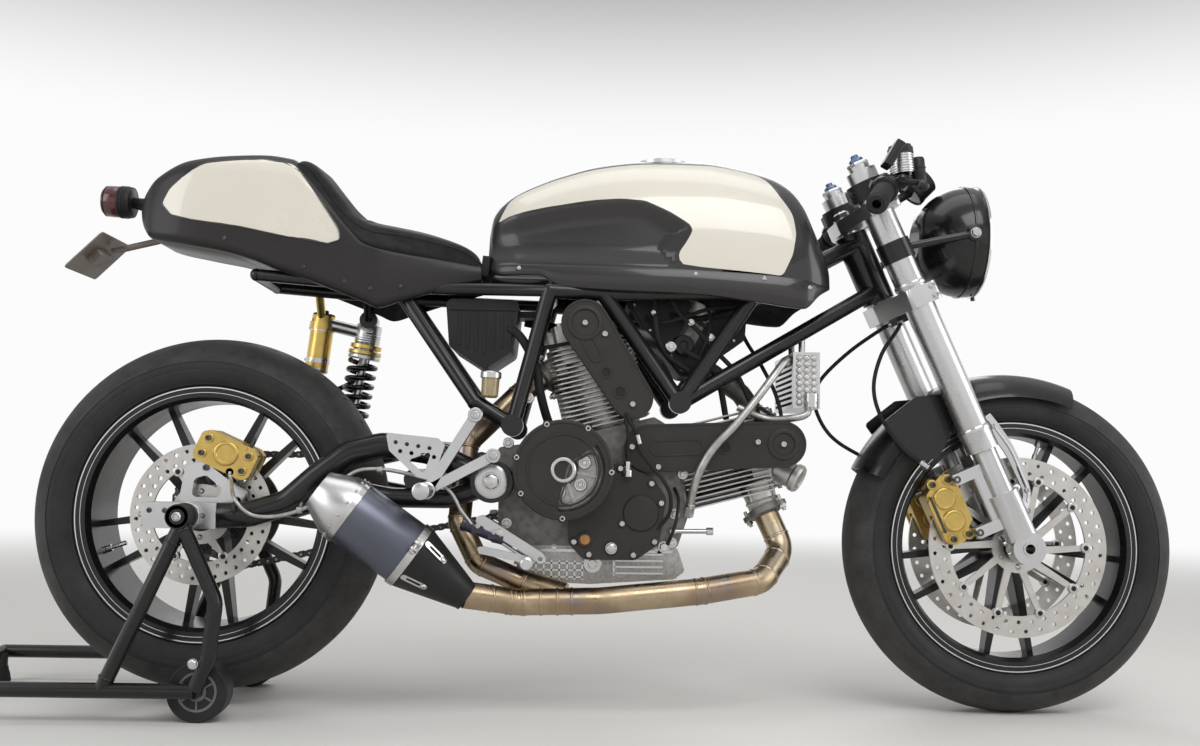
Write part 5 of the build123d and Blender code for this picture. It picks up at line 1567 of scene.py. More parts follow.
def makeBars():
    grips, ends, pots, lids, switches, buttons, screws = newShapes(7)
    for sign in (-1, 1):
        inner = onFork(clipOnUp, 38, sign * 109)
        run = onFork(637.6, -70.7, sign * 330) - inner
        long = run.length
        place = framed(inner, run)
        start, stop, spacing = 0.465 * long, 0.985 * long, 5.5
        profile = [(0.462 * long, 14), (start, 19.4), (start + 3, 19.4), (start + 4, 17.0)]
        profile += [(start + spacing * index + step,
                     radius) for index in range(1, int((stop - start) / spacing))
                    for step, radius in ((0, 16.9), (0.8, 17.7), (3.6, 17.7), (4.4, 16.9))]
        profile += [(stop, 17.2), (stop + 1.5, 15.5), (stop + 1.5, 11.5)]
        addLathe(grips, place, profile, 40, closed=True)
        addLathe(ends, place,
                 [(long - 4, 10), (long - 4, 15.4), (long + 1, 16), (long + 3, 14.6), (long + 3, 7.4),
                  (long - 4, 7.4)],
                 36, closed=True)
        # Switch block halves, with their seam and buttons
        addLathe(switches, place,
                 [(0.235 * long, 12), (0.235 * long, 20), (0.245 * long, 23.2), (0.325 * long, 23.6),
                                   (0.33 * long, 22.8), (0.335 * long, 23.6), (0.415 * long, 23.2),
                                   (0.425 * long, 20),
                                   (0.425 * long, 12)], 36, closed=True)
        top = inner + run * 0.29 + Vector((0, 0, 22))
        addBox(buttons, framed(top, (0, 0, 1), run), (14, 9, 7), 3)
        rear = inner + run * 0.37 + Vector((-20, 0, 8))
        addBox(switches, framed(rear, (-1, 0, 0.3), run), (22, 12, 10), 4)
        perch = inner + run * 0.12 + Vector((26, sign * 6, 10))
        low, high = perch + Vector((0, 0, 8)), perch + Vector((-5, 0, 52))
        pot = framed(low, high - low)
        tall = (high - low).length
        ribs = [(4.6 * index + step, radius) for index in range(8)
                for step, radius in ((2, 20.4), (2.6, 22.0), (5, 22.0), (5.6, 20.4))]
        profile = [(0, 12), (0, 20.4)] + ribs + [(tall - 9, 20.4), (tall - 9, 12)]
        addLathe(pots, pot, profile, 40, closed=True)
        addLathe(lids, pot,
                 [(tall - 10, 12), (tall - 10, 22.4), (tall + 1, 22.4), (tall + 3, 20.5), (tall + 3, 0)], 40)
        for x, y in ringSpots(2, 14, 45):
            addBolt(screws, shiftedPlace(pot, x, y, tall + 3), 3, 1.8, "button")
        reach = framed(perch + Vector((30, 0, -6)), (-0.1, 0, 1))
        addLathe(lids, reach, [(0, 0), (0, 11), (4, 12), (40, 12), (44, 10), (44, 0)], 28)
        for ring in (12, 24):
            addLathe(lids, reach, [(ring, 11), (ring, 13), (ring + 2, 13), (ring + 2, 11)], 28, closed=True)
    # The leaning block on the near switch, with its face plate
    block = framed((553, -186, 977), (0.5, 0, 0.87), (0, 1, 0))
    addBox(lids, block, (34, 15, 48), 4)
    addBox(switches, shiftedPlace(block, 0, -7, 0), (27, 3, 40), 3)
    finishPiece("grips", grips, barLook["grip"], "steering", smooth=50.0)
    finishPiece("barEnds", ends, barLook["end"], "steering", bevel=0.4)
    finishPiece("fluidPots", pots, barLook["pot"], "steering", smooth=50.0)
    finishPiece("fluidLids", lids, blackSatin, "steering", bevel=0.5)
    finishPiece("switchBlocks", switches, barLook["switch"], "steering", bevel=0.6)
    finishPiece("switchButtons", buttons, barLook["button"], "steering", bevel=0.6)
    finishPiece("barScrews", screws, brightSteel, "steering")


hoseLines = {
    "brakeHoseRight": [(600, -40, 690), (562, -72, 640), (546, -80, 580), (560, -82, 525), (598, -84, 472),
                       (640, -88, 440)],
    "brakeHoseLeft": [(590, 30, 700), (530, 52, 655), (478, 62, 600), (470, 66, 555), (500, 74, 500),
                      (560, 82, 462),
                      (636, 88, 436)],
}


def makeBrakeHoses():
    # The splitter under the lower clamp and the free hose from it to each caliper.
    splitter, ends = newShapes(2)
    spot = onFork(456, -12)
    addBox(splitter, framed(spot, forkUp, (0, 1, 0)), (60, 22, 14), 3)
    addBolt(ends, framed(spot + forkFore * 11, forkFore), 5, 5, "hex")
    finishPiece("hoseSplitter", splitter, blackSatin, "steering", bevel=0.6, replaces=("brake_hoses",))
    for name, points in hoseLines.items():
        side = -20 if name == "brakeHoseRight" else 20
        line = smoothLine([spot + Vector((0, side, 0))] + [Vector(p) for p in points], 12)
        hose = newShape()
        addTube(hose, line, 3.6, 16)
        piece = finishPiece(name, hose, blackRubber, "steering")
        path = [tuple(p * mm) for p in line]
        length = sum((b - a).length for a, b in zip(line, line[1:])) * mm
        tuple(path[0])
        for end, before in ((line[0], line[6]), (line[-1], line[-7])):
            run = (before - end).normalized()
            addRod(ends, end - run * 2, end + run * 16, 5.2, 16, 1)
            addRod(ends, end + run * 3, end + run * 9, 6.6, 6)
    finishPiece("hoseEnds", ends, satinAlloy, "steering", bevel=0.3)


def makeInstrument():
    start, stop = onFork(672.6, 104), onFork(686, 138.2)
    axis = (start - stop).normalized()
    face = framed(start, axis)
    bm = newShape()
    addLathe(bm, face, [(-6, 31), (-6, 33.4), (1.5, 33.6), (3.5, 32), (3.5, 29.4), (0.6, 28.8), (0.6, 31)],
             56, closed=True)
    addLathe(bm, framed(stop, -axis), [(0, 31), (2, 30), (5, 22), (5, 0)], 56)
    finishPiece("gaugeShell", bm, blackPlastic, "steering", smooth=40.0)
    bm = newShape()
    addLathe(bm, face, [(0.2, 29.6), (1.6, 29.2), (2.6, 20), (3.0, 0)], 56)
    finishPiece("gaugeGlass", bm, clearCover, "steering")
    bm = newShape()
    for index in range(13):
        turn = math.radians(-35 + 250 * index / 12)
        place = shiftedPlace(face @ Matrix.Rotation(turn, 4, "Z"), 25.4, 0, 2.0)
        addBox(bm, place, (4.4 if index % 3 == 0 else 2.6, 0.7, 0.8))
    addBox(bm, shiftedPlace(face @ Matrix.Rotation(math.radians(40), 4, "Z"), 8, 0, 3.0), (22, 1.1, 0.7))
    finishPiece("gaugeMarks", bm, hoseSilver, "steering")


makeFork()
makeCalipers()
makeFenderStays()
makeLamp()
makeBars()
makeInstrument()
makeBrakeHoses()
print("front end made")


# Engine

engineLook = {"screw": brightSteel, "cover": coverGraphite, "plate": castAlloy, "glass": amberFluid,
              "lead": blackRubber}
crank = Vector((98, 0, 403))
clutchAt = Vector((-6, 0, 424))
clutchFace, coverFace, beltFace, leftFace, plateFace = -194.0, -142.0, -128.0, 134.0, -176.0
bankAngle, headReach, sumpSide, batterySide = {True: 14.45,
                                               False: 104.45}, 299, 91, 80  # front bank and rear bank


def makeClutch():
    ring, cups, plate, screws = newShapes(4)
    face = nearPlace(clutchAt.x, clutchAt.z, clutchFace)
    addLathe(ring, face, [(-4, 84.6), (-1, 84.6), (1.2, 82), (1.2, 78.5), (-0.3, 77.5), (-0.3, 84)], 96,
             closed=True)
    addLathe(ring, face, [(-0.3, 62), (1.6, 61.4), (1.6, 58.6), (-0.3, 58)], 96, closed=True)
    for angle in (166, 210, 270, 358, 60, 111):
        x, z = ringSpots(1, 81, angle)[0]
        place = nearPlace(clutchAt.x + x, clutchAt.z + z, clutchFace + 2)
        addLathe(ring, place, [(-26, 6.5), (-2, 7.4), (-0.6, 7.0), (0.2, 6.2), (0.2, 0)], 28)
        addBolt(screws, place, 4.6, 4.4, "socket")
    # The window's rim, a crescent of raised metal
    wedge = [(14, 14), (56, 38), (66, 0), (52, -40), (14, -62), (-8, -58)]
    rim = roundedOutline([Vector(p) for p in wedge], [6, 14, 40, 26, 12, 10], 6)
    inside = roundedOutline([Vector((x * 0.9 + 3, y * 0.9 - 2)) for x, y in wedge], [5, 12, 36, 24, 10, 8], 6)
    addPlate(ring, face, rim, -0.5, 1.4, [inside])
    finishPiece("clutchCoverTrim", ring, engineLook["cover"], bevel=0.4)
    # The bright hub in the middle of the window
    hub, hubNut = newShapes(2)
    addLathe(hub, face, [(-17, 21), (2.2, 21), (3.4, 19.6), (3.4, 15.8), (1.6, 14.4), (-17, 14.4)], 48,
             closed=True)
    finishPiece("clutchHub", hub, brightSteel, smooth=40.0)
    # Pressure plate with ribs, spring cups and the centre nut
    back = nearPlace(clutchAt.x, clutchAt.z, plateFace)
    addLathe(plate, back,
             [(-7, 69), (-1, 69), (0, 67.5), (0, 57), (-2.5, 55.5), (-2.5, 26), (0, 24), (2, 22), (2, 0)], 72)
    for count, first, reach, lift, size, corner in ((6, 50, 41, -0.6, (34, 6, 4), 2),
                                                    (24, 0, 62.5, 0.6, (5, 3.4, 2), 0)):
        for index in range(count):
            turn = Matrix.Rotation(math.radians(360 / count * index + first), 4, "Z")
            addBox(plate, shiftedPlace(back @ turn, reach, 0, lift), size, corner)
    finishPiece("pressurePlate", plate, engineLook["plate"], bevel=0.4)
    for x, z in ringSpots(6, 38, 20):
        place = nearPlace(clutchAt.x + x, clutchAt.z + z, plateFace - 4)
        cup = [(-4, 11.4), (2, 11.4), (3.4, 10.2), (3.4, 7.6), (1.0, 6.8), (1.0, 0)]
        addBoss(cups, screws, place, cup, 32, (1, 4.6, 4, "hex"))
    addBolt(hubNut, nearPlace(clutchAt.x, clutchAt.z, plateFace - 2), 12, 7, "hex")
    finishPiece("clutchNut", hubNut, engineLook["plate"], bevel=0.4)
    finishPiece("springCups", cups, brightSteel, bevel=0.3)
    finishPiece("clutchScrews", screws, engineLook["screw"])


def makeRightCover():
    cover, screws, glass = newShapes(3)
    for x, z in ((14, 302), (92, 428), (146, 403), (163, 370), (152, 304), (116, 281), (40, 281), (96, 334)):
        place = nearPlace(x, z, coverFace + 0.5)
        addBoss(cover, screws, place, [(-12, 8.2), (0.5, 8.2), (1.6, 7.2), (1.6, 0)], 28,
                (1.2, 4.6, 4.4, "socket"))
    # Domed pump cover, filler plug and sight glass
    dome = nearPlace(128, 352, coverFace)
    addLathe(cover, dome, [(-1, 31), (2, 31), (4, 29), (5.5, 18), (6, 0)], 56)
    sight = nearPlace(33, 306, coverFace)
    addLathe(cover, sight, [(-1, 13.5), (2.4, 13.5), (3.4, 12.4), (3.4, 9.4), (1.2, 9.0), (1.2, 11)], 36,
             closed=True)
    addLathe(glass, sight, [(-0.5, 9.2), (1.8, 8.8), (2.4, 6), (2.6, 0)], 32)
    plug = nearPlace(78, 292, coverFace)
    addBoss(cover, screws, plug, [(-1, 12), (2, 12), (3, 11), (3, 0)], 32, (2.6, 8, 5, "hex"))
    finishPiece("rightCoverTrim", cover, engineLook["cover"], bevel=0.4)
    finishPiece("sightGlass", glass, engineLook["glass"])
    # Oil lines and plugs under the cover
    pipe = newShape()
    addBolt(screws, framed((170, -118, 294), (0, -1, 0)), 8, 9, "hex")
    addRod(pipe, (183, -96, 320), (252, -96, 321), 4.2, 14)
    addRod(pipe, (246, -96, 321), (258, -96, 321), 6.6, 6)
    addRod(pipe, (181, -96, 320), (191, -96, 320), 6.6, 6)
    finishPiece("oilRod", pipe, brightSteel)
    finishPiece("rightCoverScrews", screws, engineLook["screw"])


def makeBeltTrim():
    cover, screws, dark = newShapes(3)
    for x, z, half, tall, turn, wide, high in ((191, 467, 48, 15, 3, 0.9, 0.72),
                                               (40, 636, 26, 12, -60, 0.86, 0.7)):
        corners = [(-half, -tall), (half, -tall), (half, tall), (-half, tall)]
        outline = roundedOutline(corners, tall * 0.98, 8)
        inner = [Vector((p.x * wide, p.y * high)) for p in outline]
        addPlate(cover, nearPlace(x, z, beltFace, turn), outline, -0.5, 1.6, [inner])
    for x, z, radius, bore in ((27, 681, 31, 23), (376, 475, 28, 19)):
        addLathe(cover, nearPlace(x, z, beltFace),
                 [(-0.5, radius), (2.2, radius - 0.6), (2.8, radius - 3), (2.8, bore + 1),
                                                    (1.2, bore), (-0.5, bore)], 56, closed=True)
    # A raised lip round each cover's face
    for (ax, az, ar), (bx, bz, br) in (((142, 464, 42), (376, 475, 40)), ((112, 550, 36), (27, 681, 42))):
        loops = [aroundTwo(Vector((ax, az)), ar - inset, Vector((bx, bz)), br - inset, 24,
                           24) for inset in (0.6, 4.0)]
        addPlate(cover, sideView(beltFace), loops[0], -0.5, 1.4, [loops[1]])
    # Each hole is a raised ring round a flat black disc; the disc is painted shade for the hole's dark
    # inside.
    for x, z, radius in ((274, 468, 9), (65, 595, 8), (90, 561, 9)):
        addLathe(cover, nearPlace(x, z, beltFace),
                 [(-0.5, radius + 3.4), (1.6, radius + 3), (1.6, radius), (-0.5, radius)], 32, closed=True)
        addLathe(dark, nearPlace(x, z, beltFace), [(0.15, radius + 0.5), (0.3, 0)], 28)
    for x, z in ((331, 478), (112, 466), (27, 681), (376, 475), (112, 540), (158, 432), (62, 662)):
        place = nearPlace(x, z, beltFace + 0.4)
        addBoss(cover, screws, place, [(-1, 8.5), (1.2, 8.2), (1.2, 0)], 28, (1, 4.8, 4.4, "socket"))
    finishPiece("beltCoverTrim", cover, engineLook["cover"], bevel=0.35)
    # The black discs in the holes are painted shade.
    finishPiece("beltCoverHoleShade", dark, blackPlastic)
    finishPiece("beltCoverScrews", screws, engineLook["screw"])


def onBank(front, across, y, out):
    # across is the local side-view offset, out the distance from the crank along the cylinder.
    angle = math.radians(bankAngle[front])
    ahead = Vector((math.cos(angle), 0, math.sin(angle)))
    side = Vector((-math.sin(angle), 0, math.cos(angle)))
    return crank + ahead * out + side * across + Vector((0, y, 0)), ahead, side


def makeHeads():
    metal, screws, caps, leads = newShapes(4)
    for front in (True, False):
        for sign in (-1, 1):
            centre, ahead, side = onBank(front, sign * 68.4, 0, 280)
            out = side * sign
            # Rocker cap: a raised pad with a rib and two bolts
            place = framed(centre, out, (0, 1, 0))
            outline = roundedOutline([(-36, -15), (36, -15), (36, 15), (-36, 15)], 11, 5)
            addPlate(metal, place, outline, -0.5, 3.0)
            addBox(metal, shiftedPlace(place, 0, 0, 4), (46, 4, 4), 1.5)
            for spot in (-27, 27):
                addLathe(metal, shiftedPlace(place, spot, 0, 2.5), [(0, 8), (2, 7.6), (2, 0)], 24)
                addBolt(screws, shiftedPlace(place, spot, 0, 4), 4.8, 5, "hex")
        for y in (-44, 44):
            for across in (-44, 44):
                centre, ahead, side = onBank(front, across, y, headReach)
                addBolt(screws, framed(centre, ahead), 6.5, 7, "hex")
        centre, ahead, side = onBank(front, 0, 0, headReach)
        addLathe(metal, framed(centre, ahead, (0, 1, 0)), [(0, 26), (3, 25), (4, 22), (4, 0)], 40)
        # Spark plug, its cap and lead
        spot, ahead, side = onBank(front, 26 if front else -26, -58, 258)
        outward = (Vector((0, -1, 0)) + side * (0.9 if front else -0.9) + ahead * 0.15).normalized()
        addRod(caps, spot - outward * 4, spot + outward * 12, 8.5, 6)
        addRod(caps, spot + outward * 10, spot + outward * 40, 8.2, 20, 2)
        tip = spot + outward * 38
        if front:
            line = [tip, tip + outward * 16 + Vector((0, 0, 10)), (376, -92, 520), (372, -66, 566),
                    (350, -40, 620), (318, -30, 676), (300, -24, 744)]
        else:
            line = [tip, tip + outward * 14, (-52, -86, 640), (-40, -62, 690), (-20, -40, 722), (0, -20, 740)]
        addTube(leads, smoothLine(line, 8), 3.6, 12)
    finishPiece("headCaps", metal, castAlloy, bevel=0.6)
    finishPiece("headScrews", screws, engineLook["screw"])
    finishPiece("plugCaps", caps, blackRubber, bevel=0.4)
    finishPiece("plugLeads", leads, engineLook["lead"])


def makeLines():
    # Oil lines from the cooler to the case with their fittings, the cooler's domes, looms and hoses.
    hose, fittings = newShapes(2)
    run = [(392, -80, 626), (379, -104, 619), (334, -130, 561), (290, -142, 507), (253, -144, 467),
           (230, -140, 428),
           (218, -126, 388), (214, -104, 352)]
    addTube(hose, smoothLine(run, 8), 7.0, 16)
    for index, inner in ((0, 1), (-1, -2)):
        end = Vector(run[index])
        away = (end - Vector(run[inner])).normalized()
        addRod(fittings, end - away * 16, end + away * 5, 9.2, 6)
        addRod(fittings, end - away * 22, end - away * 14, 8.2, 20)
    other = [(424, -97, 545), (420, -110, 530), (398, -112, 522), (352, -100, 520), (300, -92, 540)]
    addTube(hose, smoothLine(other, 8), 6.5, 16)
    addRod(fittings, (430, -88, 548), (430, -108, 546), 10, 6)
    addLathe(fittings, framed((430, -97, 552), (0, 0, 1)), [(-10, 13), (14, 13), (16, 11), (16, 0)], 28)
    # The cooler's end tanks carry rows of cast domes
    domes = newShape()
    for sign in (-1, 1):
        for column in range(3):
            for row in range(8):
                place = framed((409 + 13 * column, sign * 95.5, 550 + 11.4 * row), (0, sign, 0))
                addLathe(domes, place, [(-1, 6.2), (1.5, 5.8), (3.6, 4.2), (4.4, 2), (4.4, 0)], 20)
    finishPiece("coolerDomes", domes, finAlloy, smooth=50.0)
    finishPiece("oilHoses", hose, hoseSilver)
    finishPiece("oilFittings", fittings, satinAlloy, bevel=0.4)
    # The loom and the two thin pipes that run down in front of the cases
    loom, ends = newShapes(2)
    for line, thick in (([(84, -60, 560), (98, -118, 530), (110, -140, 504), (120, -146, 486),
                          (124, -147, 462), (146, -150, 432),
                          (166, -152, 408), (178, -150, 382), (176, -148, 352), (154, -138, 322)], 3.4),
                        ([(92, -96, 540), (100, -134, 512), (104, -146, 486), (104, -148, 452),
                          (104, -148, 436)], 2.8),
                        ([(190, -86, 396), (194, -126, 376), (188, -148, 340), (180, -140, 312),
                          (172, -108, 290), (158, -84, 280)], 3.0)):
        addTube(loom, smoothLine(line, 6), thick, 12)
    addRod(ends, (104, -148, 440), (104, -148, 424), 6.4, 6)
    addRod(ends, (104, -148, 426), (104, -148, 414), 8.6, 24)
    addRod(ends, (120, -146, 486), (124, -147, 470), 4.6, 14)
    finishPiece("caseLoom", loom, engineLook["lead"])
    finishPiece("caseLoomEnds", ends, brightSteel, bevel=0.5)
    # Looms, hoses and the cable quadrant round the throttle bodies
    busy, bright = newShapes(2)
    for line, thick in (([(150, -86, 742), (152, -92, 700), (158, -88, 660), (176, -80, 630),
                          (214, -74, 604)], 5.0),
                        ([(176, -84, 744), (196, -90, 706), (228, -88, 676), (262, -82, 640),
                          (300, -78, 600), (330, -66, 542)], 4.4),
                        ([(136, -72, 700), (168, -86, 690), (206, -90, 700), (250, -84, 716),
                          (300, -70, 724)], 3.6),
                        ([(206, -78, 640), (236, -84, 622), (266, -80, 590), (284, -62, 520)], 5.6),
                        ([(118, -70, 660), (140, -84, 640), (168, -84, 616), (186, -72, 584)], 3.2),
                        ([(240, -60, 742), (252, -78, 700), (246, -86, 660), (232, -78, 628)], 3.2)):
        addTube(busy, smoothLine(line, 6), thick, 12)
    for x, y, z, radius in ((181, -88, 646, 10), (216, -90, 690, 7), (252, -84, 664, 8), (236, -84, 622, 7),
                            (150, -92, 706, 6)):
        place = nearPlace(x, z, y)
        drum = [(-14, radius * 0.8), (-4, radius), (2, radius), (3.4, radius * 0.8), (3.4, 0)]
        addBoss(bright, bright, place, drum, 24, (3, radius * 0.55, 4, "hex"))
    finishPiece("throttleLooms", busy, engineLook["lead"])
    finishPiece("throttleScrews", bright, brightSteel, bevel=0.4)
    rubber = newShape()
    for line, radius, segments in (
            ([(-128, -60, 676), (-92, -84, 664), (-60, -88, 610), (-50, -86, 560), (-36, -66, 512),
              (-20, -50, 484)], 8, 14),
            ([(-84, 30, 700), (-20, 40, 690), (60, 44, 700), (130, 36, 712)], 9, 14),
            ([(160, -40, 716), (210, -58, 700), (262, -60, 706), (312, -46, 722)], 6, 12)):
        addTube(rubber, smoothLine(line, 8), radius, segments)
    finishPiece("airHoses", rubber, blackRubber)


def makeIntake():
    horns, bits = newShapes(2)
    low, high = Vector((102, 0, 237)) + crank, Vector((138, 0, 309)) + crank
    run = (high - low).normalized()
    for sign in (-1, 1):
        side = Vector((0, sign * 34, 0))
        place = framed(high + side, run)
        addLathe(horns, place,
                 [(-8, 27.4), (6, 27.4), (12, 29), (15, 32), (14, 33.4), (10, 31), (4, 29.4), (-8, 29.4)],
                 40, closed=True)
        for along in (14, 60):
            addLathe(bits, framed(low + side + run * along, run),
                     [(0, 27.2), (0, 29.2), (7, 29.2), (7, 27.2)], 40, closed=True)
        nozzle = low + side + run * 52 + Vector((-26, 0, 8))
        addRod(horns, nozzle, nozzle + Vector((-14, 0, 26)), 8, 20)
        addRod(horns, nozzle + Vector((-12, 0, 22)), nozzle + Vector((-18, 0, 34)), 10, 6)
        wheel = framed(low + Vector((6, sign * 62, 12)), (0, sign, 0))
        addLathe(bits, wheel, [(-3, 17), (-1, 18.4), (3, 18.4), (5, 17), (5, 8), (2, 7), (2, 0)], 40)
    rail = low + run * 52 + Vector((-44, 0, 40))
    addRod(bits, rail + Vector((0, -56, 0)), rail + Vector((0, 56, 0)), 7, 20)
    finishPiece("intakeHorns", horns, castAlloy, bevel=0.4)
    finishPiece("intakeBits", bits, blackSatin, bevel=0.4)


airBox = {"half": 50, "lip": 4,
          "corners": [(92, 741), (128, 684), (176, 626), (200, 596), (232, 594), (258, 622), (318, 664),
                      (324, 741)]}


def makeAirBox():
    box, screws = newShapes(2)
    corners = [Vector(p) for p in airBox["corners"]]
    middle = sum(corners, Vector((0, 0))) / len(corners)
    half, lip = airBox["half"], airBox["lip"]
    addPlate(box, sideView(0, -1), roundedOutline(corners, 12, 5), -half, half)
    lid = [middle + (corner - middle) * 0.9 for corner in corners]
    addPlate(box, sideView(0, -1), roundedOutline(lid, 10, 5), -half - lip, half + lip)
    for sign in (-1, 1):
        for corner in corners:
            spot = middle + (corner - middle) * 0.8
            addBolt(screws, onSide(sign * (half + lip), sign, spot.x, spot.y), 3.6, 2.6, "button")
    finishPiece("airBoxShell", box, blackPlastic, bevel=1.2)
    finishPiece("airBoxScrews", screws, brightSteel)


def makeSumpAndSides():
    screws, metal, dark = newShapes(3)
    plug = nearPlace(47.5, 261.5, 2 - sumpSide)
    addBoss(metal, screws, plug, [(-2, 17), (3, 17), (4.4, 15.4), (4.4, 0)], 40, (4, 9, 6, "hex"))
    # The sump's cast grid behind the drain plug and its lying fins ahead of it, on both sides
    grid = newShape()
    for sign in (-1, 1):
        bars = [(-78 + 13.5 * index, 250, (3.2, 34, 5), 1) for index in range(9)]
        bars += [(-25, level, (116, 3, 5), 1) for level in (238, 250, 262)]
        bars += [(128, level, (86, 3.4, 6),
                  1.2) for level in (246, 257, 268, 279)] + [(85, 262, (4, 42, 6), 1.2)]
        for x, z, size, corner in bars:
            addBox(grid, onSide(sign * sumpSide, sign, x, z), size, corner)
        addBox(grid, onSide(sign * (sumpSide - 0.6), sign, 56, 284), (260, 5, 6), 1.6)
    # The grid is finished brighter than the cast pan: a painted highlight for the light on the rib faces.
    finishPiece("sumpGrid", grid, satinAlloy, bevel=0.6)
    for x in (-70, -20, 100, 160):
        addBolt(screws, nearPlace(x, 288, 1.5 - sumpSide), 4.6, 5, "hex")
    # Case bolts round the near side, between the covers
    for x, z in ((-104, 470), (-92, 512), (-70, 550), (190, 350), (204, 420), (-104, 330), (186, 300)):
        place = nearPlace(x, z, 1 - sumpSide)
        addBoss(metal, screws, place, [(-1, 10), (3, 9), (3, 0)], 28, (2.6, 5.4, 5, "hex"))
    # Left side: a ring on the generator cover, its screws and the filler
    ring = onSide(150, 1, 98, 403)
    addLathe(dark, ring, [(-1, 66), (2, 65), (3, 62), (3, 56), (1, 54), (-1, 54)], 72, closed=True)
    addLathe(dark, ring, [(-1, 22), (3, 21), (4, 18), (4, 0)], 48)
    for x, y in ringSpots(3, 46, 30):
        addBolt(screws, shiftedPlace(ring, x, y), 5, 4, "socket")
    for x, z in ((24, 462), (26, 340), (62, 492), (158, 484), (172, 405), (142, 310), (66, 300)):
        place = onSide(leftFace - 0.5, 1, x, z)
        addBoss(dark, screws, place, [(-8, 8), (1, 8), (2, 7), (2, 0)], 28, (1.6, 4.6, 4.4, "socket"))
    # Rear brake fluid pot on the frame, beside the case
    pot = framed((-138, -112, 548), (0.05, 0, 1))
    addLathe(metal, pot, [(34, 16.5), (34, 18.4), (44, 18.4), (46, 16.5), (46, 0)], 36)
    addRod(metal, (-138, -112, 552), (-128, -98, 556), 5, 16)
    glass = newShape()
    addLathe(glass, pot, [(0, 0), (0, 12), (3, 15), (34.5, 16)], 36)
    finishPiece("fluidGlass", glass, smokedFluid)
    finishPiece("sumpAndCaseMetal", metal, satinAlloy, bevel=0.4)
    finishPiece("sumpAndCaseScrews", screws, engineLook["screw"])
    finishPiece("leftCoverTrim", dark, engineLook["cover"], bevel=0.4)


def makeBatteryRibs():
    # Moulded ribs and a lid line on both sides of the battery box.
    bm = newShape()
    for sign in (-1, 1):
        for index in range(7):
            x = -196 + 15 * index
            low = 628 + 5 * abs(index - 3)
            place = onSide(sign * batterySide, sign, x, (low + 700) / 2, 0.8)
            addBox(bm, place, (4, 700 - low, 3.2), 1.2)
        addBox(bm, onSide(sign * batterySide, sign, -154, 708, 1.0), (122, 4, 4), 1.4)
    finishPiece("batteryRibs", bm, blackSatin, bevel=0.5)


makeClutch()
makeRightCover()
makeBeltTrim()
makeHeads()
makeLines()
makeIntake()
makeAirBox()
makeSumpAndSides()
makeBatteryRibs()
print("engine made")


# Exhaust

exhaustLook = {"endCap": satinAlloy, "cone": blackSatin, "strap": brightSteel, "weld": headerSteel,
               "flange": engineGrey}
mufflerBack, mufflerFront = Vector((-408, -214, 386)), Vector((-166, -180, 213))
mufflerRun = (mufflerFront - mufflerBack).normalized()
mufflerLong = (mufflerFront - mufflerBack).length
# Each pipe's radius, the radius of its bends and its corner points
headerLines = {
    "front": (22.5, 40,
              [(355, -40, 362), (386, -60, 290), (340, -118, 238), (230, -152, 222), (60, -152, 204),
                         (-80, -152, 200), (-168, -180, 214)]),
    "rear": (20.0, 26,
             [(-36, -20, 596), (-90, -30, 560), (-178, -60, 470), (-186, -100, 330), (-150, -114, 262),
                        (-70, -124, 230), (0, -142, 212)]),
}


